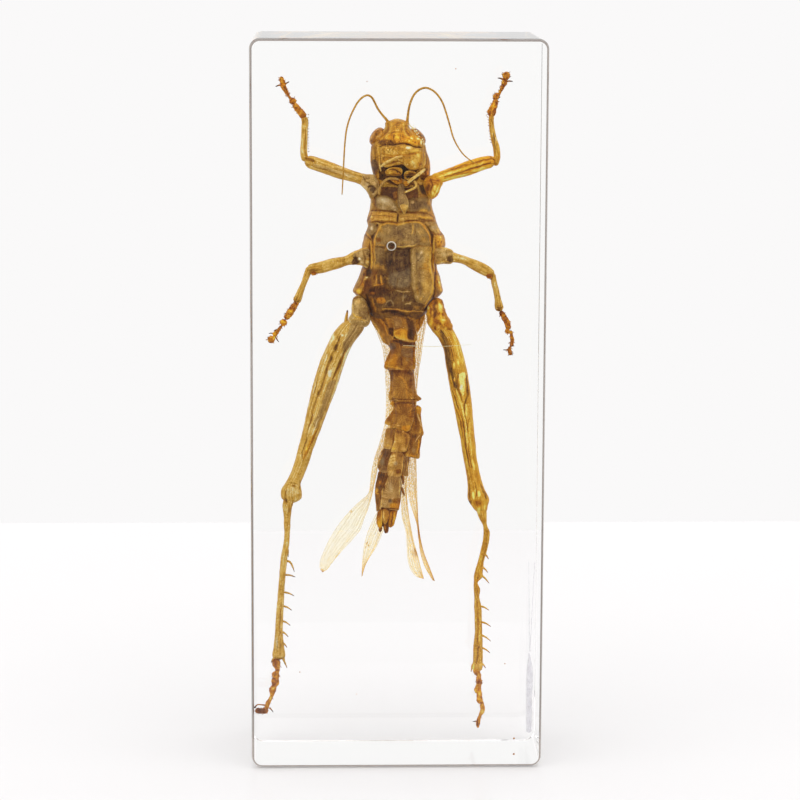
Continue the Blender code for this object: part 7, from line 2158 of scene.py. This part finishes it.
    def bits(self) -> list[Skin]:
        """Makes the small torn points beside the last rings."""
        tables = (
            [(0.85, -0.2, 44, 0.15), (1, -0.2, 43.2, 0.2), (1.05, -0.2, 42.2, 0.1)],
            [(0.8, -0.2, 41.9, 0.12), (1, -0.2, 41.2, 0.2), (1.25, -0.2, 40.5, 0.08)],
            [(-2, -0.7, 42.7, 0.1), (-1.85, -0.8, 42.2, 0.13), (-1.9, -0.8, 41.2, 0.08)])
        return [strand(table, 24, 12, shade=0.3) for table in tables]

    def build(self) -> list[bpy.types.Object]:
        """Makes and dresses every piece of the hind body."""
        core = cuts(self.core, 260, 72, square=2.1, shade=0.26).roughen(1.2, 0.1, seed=70, tone=0.15)
        # painted shade: each ring darker at its top, under the ring above
        shields = [shield.skin(self.front, overlap_shade=0.1) for shield in self.shields]
        shields = [skin.roughen(0.9, 0.06, seed=71, tone=0.12) for skin in shields]
        return [insect_piece("hind_body", [core], BELLY_SHELL),
                insect_piece("belly_rings", shields, BELLY_SHELL),
                insect_piece("belly_tips", self.bits(), BELLY_SHELL)]


@dataclass
class Wings:
    """Four thin wings behind the hind body, each lofted between its two edges."""

    depths: tuple[float, ...] = (3.7, 3.3, 3.5, 3.9)
    edges: list[tuple[Table, Table]] = field(default_factory=lambda: [
        (
            [(-4.4, 73), (-4.3, 70.5), (-4.1, 68), (-2.9, 65.2), (-2.3, 63.6), (-1.9, 61), (-1.7, 58),
                (-1.6, 55), (-1.75, 52.2), (-2.6, 48.7), (-3.4, 46.2), (-3.85, 43.9), (-4, 42.4),
                (-4.3, 40.9), (-5.2, 40), (-6.4, 38.9), (-7.6, 37.6), (-8.9, 35.9), (-10, 34.1), (-11, 32),
                (-11.6, 30.3), (-11.55, 29.1), (-11.25, 28.7)],
            [(-0.6, 73), (-0.6, 70.5), (-0.5, 68), (-0.4, 65.2), (-0.3, 63.6), (-0.3, 61), (-0.3, 58),
                (-0.3, 55), (-0.5, 52.2), (-1.5, 48.7), (-2.6, 46.2), (-3, 43.9), (-3.4, 42), (-3.8, 40),
                (-4.3, 38.4), (-4.9, 36.9), (-5.4, 35.4), (-6.6, 33.8), (-7.8, 32.5), (-8.9, 31.2),
                (-9.9, 29.9), (-10.6, 29), (-11.15, 28.7)]),
        (
            [(-2, 73), (-1.4, 67), (-1.1, 61), (-1, 56), (-1.4, 50), (-1.9, 44), (-2.4, 40), (-3, 37.9),
                (-3.6, 36.7), (-4.3, 35), (-4.85, 33), (-5.1, 31), (-5.2, 29.3), (-5.25, 28)],
            [(1.2, 73), (0.8, 67), (0.6, 61), (0.5, 56), (0.3, 50), (-0.3, 44), (-0.8, 40), (-1.2, 37.6),
                (-1.7, 35.8), (-2.3, 34.2), (-3.1, 32.4), (-4, 31), (-4.7, 29.6), (-5.15, 28)]),
        (
            [(-0.4, 73), (-0.2, 67), (0, 61), (0.2, 56), (0.3, 50), (0.5, 44), (0.7, 40), (0.9, 37),
                (1.45, 35), (1.65, 32.4), (1.85, 30.2), (2.5, 28.6), (3.4, 27.8), (4.15, 27.6)],
            [(2.6, 73), (2.5, 67), (2.4, 61), (2.4, 56), (2, 50), (1.6, 44), (1.7, 40), (1.95, 37.4),
                (2.4, 35), (2.9, 32.8), (3.4, 31), (3.8, 29.4), (4.1, 28.3), (4.25, 27.6)]),
        (
            [(1.6, 73), (1.5, 70.5), (1.4, 68), (1.4, 62), (1.3, 56), (1.3, 50), (1.3, 46), (1.5, 43),
                (1.9, 40), (2.6, 37.8), (3.1, 36.2), (3.4, 33.8), (3.7, 31.6), (4.4, 29.4), (5.6, 27.35)],
            [(4.9, 73), (4.8, 70.5), (4.6, 68), (4.1, 65), (3.7, 62), (3.2, 58.5), (3, 54), (3, 48),
                (3.1, 43.6), (3.25, 39.6), (3.4, 36.4), (3.8, 33.6), (4.3, 31.6), (5.15, 29.4),
                (5.95, 27.25)])])
    thick: float = 0.06
    ink: tuple[float, ...] = (0.55, 0.8, 1.0, 1.0)  # how strong each wing's veins are
    # where each vein runs, as a share of the half width, and its strength
    veins: tuple[tuple[float, float], ...] = ((-0.62, 0.45), (-0.3, 0.35), (0, 0.4), (0.28, 0.35),
        (0.55, 0.5), (0.78, 0.6))

    def wing(self, number: int) -> Skin:
        """Works out one wing.

        Rows run between the edges as a cosine, front and back a hair apart, and the sheet waves gently in
        depth. Veins are narrow bells at given shares of the width, crossed by slanting rows of fine ones, and
        the two edges carry one each. All of them are stronger near the body.

        Args:
            number: Which wing.

        Returns:
            The skin, with its veins as its shade.
        """
        left, right = (curve(edge, 230) for edge in self.edges[number])
        middle, half = (left + right) / 2, (right - left) / 2
        turn = np.linspace(0.0, 2 * np.pi, 100, endpoint=False)
        share = np.cos(turn)
        flat = middle[:, None] + half[:, None] * share[None, :, None]
        x, z = flat[..., 0], flat[..., 1]
        wave = 0.18 * np.sin(x * 1.7 + z * 0.35 + number) + 0.08 * np.sin(z * 1.1 + 2.0 * number)
        side = np.sin(turn)[None]
        y = self.depths[number] + wave + self.thick / 2 * np.sign(side) * np.abs(side) ** 0.3
        made = Skin.of(np.stack((x, y, z), axis=-1), 0.0)
        width = np.linalg.norm(half, axis=1)[:, None]
        vein = np.zeros_like(x)
        near = np.clip((z - 37.0) / 10.0, 0.0, 1.0)  # from 0 over the free tips to 1 near the body
        for spot, strength in self.veins:
            drift = 0.06 * np.sin(z * 0.9 + 7.0 * spot)
            vein += strength * np.exp(-(((share[None] - spot - drift) * width / (0.06 - 0.02 * near)) ** 2))
        cross = 0.5 + 0.5 * np.cos((z + x * 0.7 * np.cos(x * 3.0)) * 9.0)
        vein += 0.16 * cross**6
        rim = np.exp(-((width * (1.0 - np.abs(share[None])) / 0.07) ** 2))
        made.shade = np.clip(vein, 0.0, 0.7) * self.ink[number] * (1.0 + 0.6 * near) + 0.32 * rim
        made.glow = np.clip(near + 0.3 * (number > 1), 0.0, 1.0)
        return made

    def build(self) -> bpy.types.Object:
        """Makes the wings as one piece."""
        marks = [
            Mark(-4.45, 33.2, 0.14, 0.16, 1), Mark(-4.2, 32.8, 0.12, 0.14, 1),
            Mark(-4.6, 32.6, 0.12, 0.12, 0.9), Mark(-4.3, 33.6, 0.1, 0.1, 0.8),
            Mark(-6.9, 38.1, 0.2, 0.2, 0.7), Mark(3, 31.6, 0.5, 0.9, 0.5), Mark(-11.3, 28.9, 0.3, 0.3, 0.6),
            Mark(3.3, 34.5, 0.3, 1.2, 0.3), Mark(-8.3, 31.8, 1.6, 0.12, 0.4, lean=-40)]
        skins = [self.wing(number).painted(marks) for number in range(len(self.depths))]
        return insect_piece("wings", skins, WingFinish())


@dataclass
class Flaws:
    """What else the resin holds: a bubble on the breast, a hair, milky films by the right side and specks."""

    bubble_place: tuple[float, float, float] = (-0.88, -5.3, 78.7)
    bubble_radius: float = 0.72
    hair: Table = field(default_factory=lambda: [
        (0.9, -5.3, 63.6, 0.035), (6.0, -5.35, 63.45, 0.03), (11.3, -5.3, 63.75, 0.02)])
    specks: Table = field(default_factory=lambda: [(8.6, -3, 105.2, 0.09), (13.2, -2, 98.3, 0.07),
        (-4.6, 1, 103.3, 0.08), (-14.7, 2, 13, 0.09), (16.8, -1, 14.2, 0.1), (18.3, 6, 2.4, 0.16),
        (-6, 3, 9.5, 0.07)])
    films: list[Table] = field(default_factory=lambda: [
        [(20.5, -1, 16, 0.06, 0.02), (20.6, -1, 14, 0.38, 0.03), (20.6, -1, 8, 0.45, 0.03),
            (20.6, -1, 3.2, 0.4, 0.03)],
        [(20.55, -1, 16, 0.05, 0.02), (20.3, -1, 30.3, 0.03, 0.02)],
        [(20.65, -1, 16, 0.05, 0.02), (21.2, -1, 30.3, 0.03, 0.02)]])

    def bubble(self) -> Skin:
        """Makes the bubble: an egg that pales from well within its rim to the rim, as seen from the front."""
        (x, y, z), radius = self.bubble_place, self.bubble_radius
        made = blob(x, y, z, radius, 0.5, radius, shade=0.0, rows=40, columns=48, square=2.0)
        off = np.hypot(made.points[..., 0] - x, made.points[..., 2] - z) / radius
        # painted reflection: the pale ring stands for the light the bubble's edge reflects
        made.shade = np.clip((off - 0.62) / 0.25, 0.0, 1.0)
        return made

    def build(self) -> list[bpy.types.Object]:
        """Makes the bubble, the hair, the films and the specks."""
        specks = [blob(x, y, z, r, r * 0.7, r * 0.85, rows=10, columns=12) for x, y, z, r in self.specks]
        return [insect_piece("air_bubble", [self.bubble()], BubbleFinish()),
                insect_piece("stray_hair", [strand(self.hair, 40, 8, shade=1.0)], PALE_SHELL),
                insect_piece("milky_films", [limb(table, 40, 12) for table in self.films], FilmFinish()),
                insect_piece("specks", specks, FOOT_SHELL)]


def main() -> None:
    """Builds the studio, the block and the grasshopper."""
    logging.basicConfig(level=logging.INFO, format="%(name)s: %(message)s")
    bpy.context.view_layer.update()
    Camera().build()
    Studio().build()
    ResinBlock().build()
    trunk = Trunk()
    Head(trunk).build()
    Thorax(trunk).build()
    for leg in legs():
        leg.build()
    Abdomen().build()
    Wings().build()
    Flaws().build()


if __name__ == "__main__":
    main()
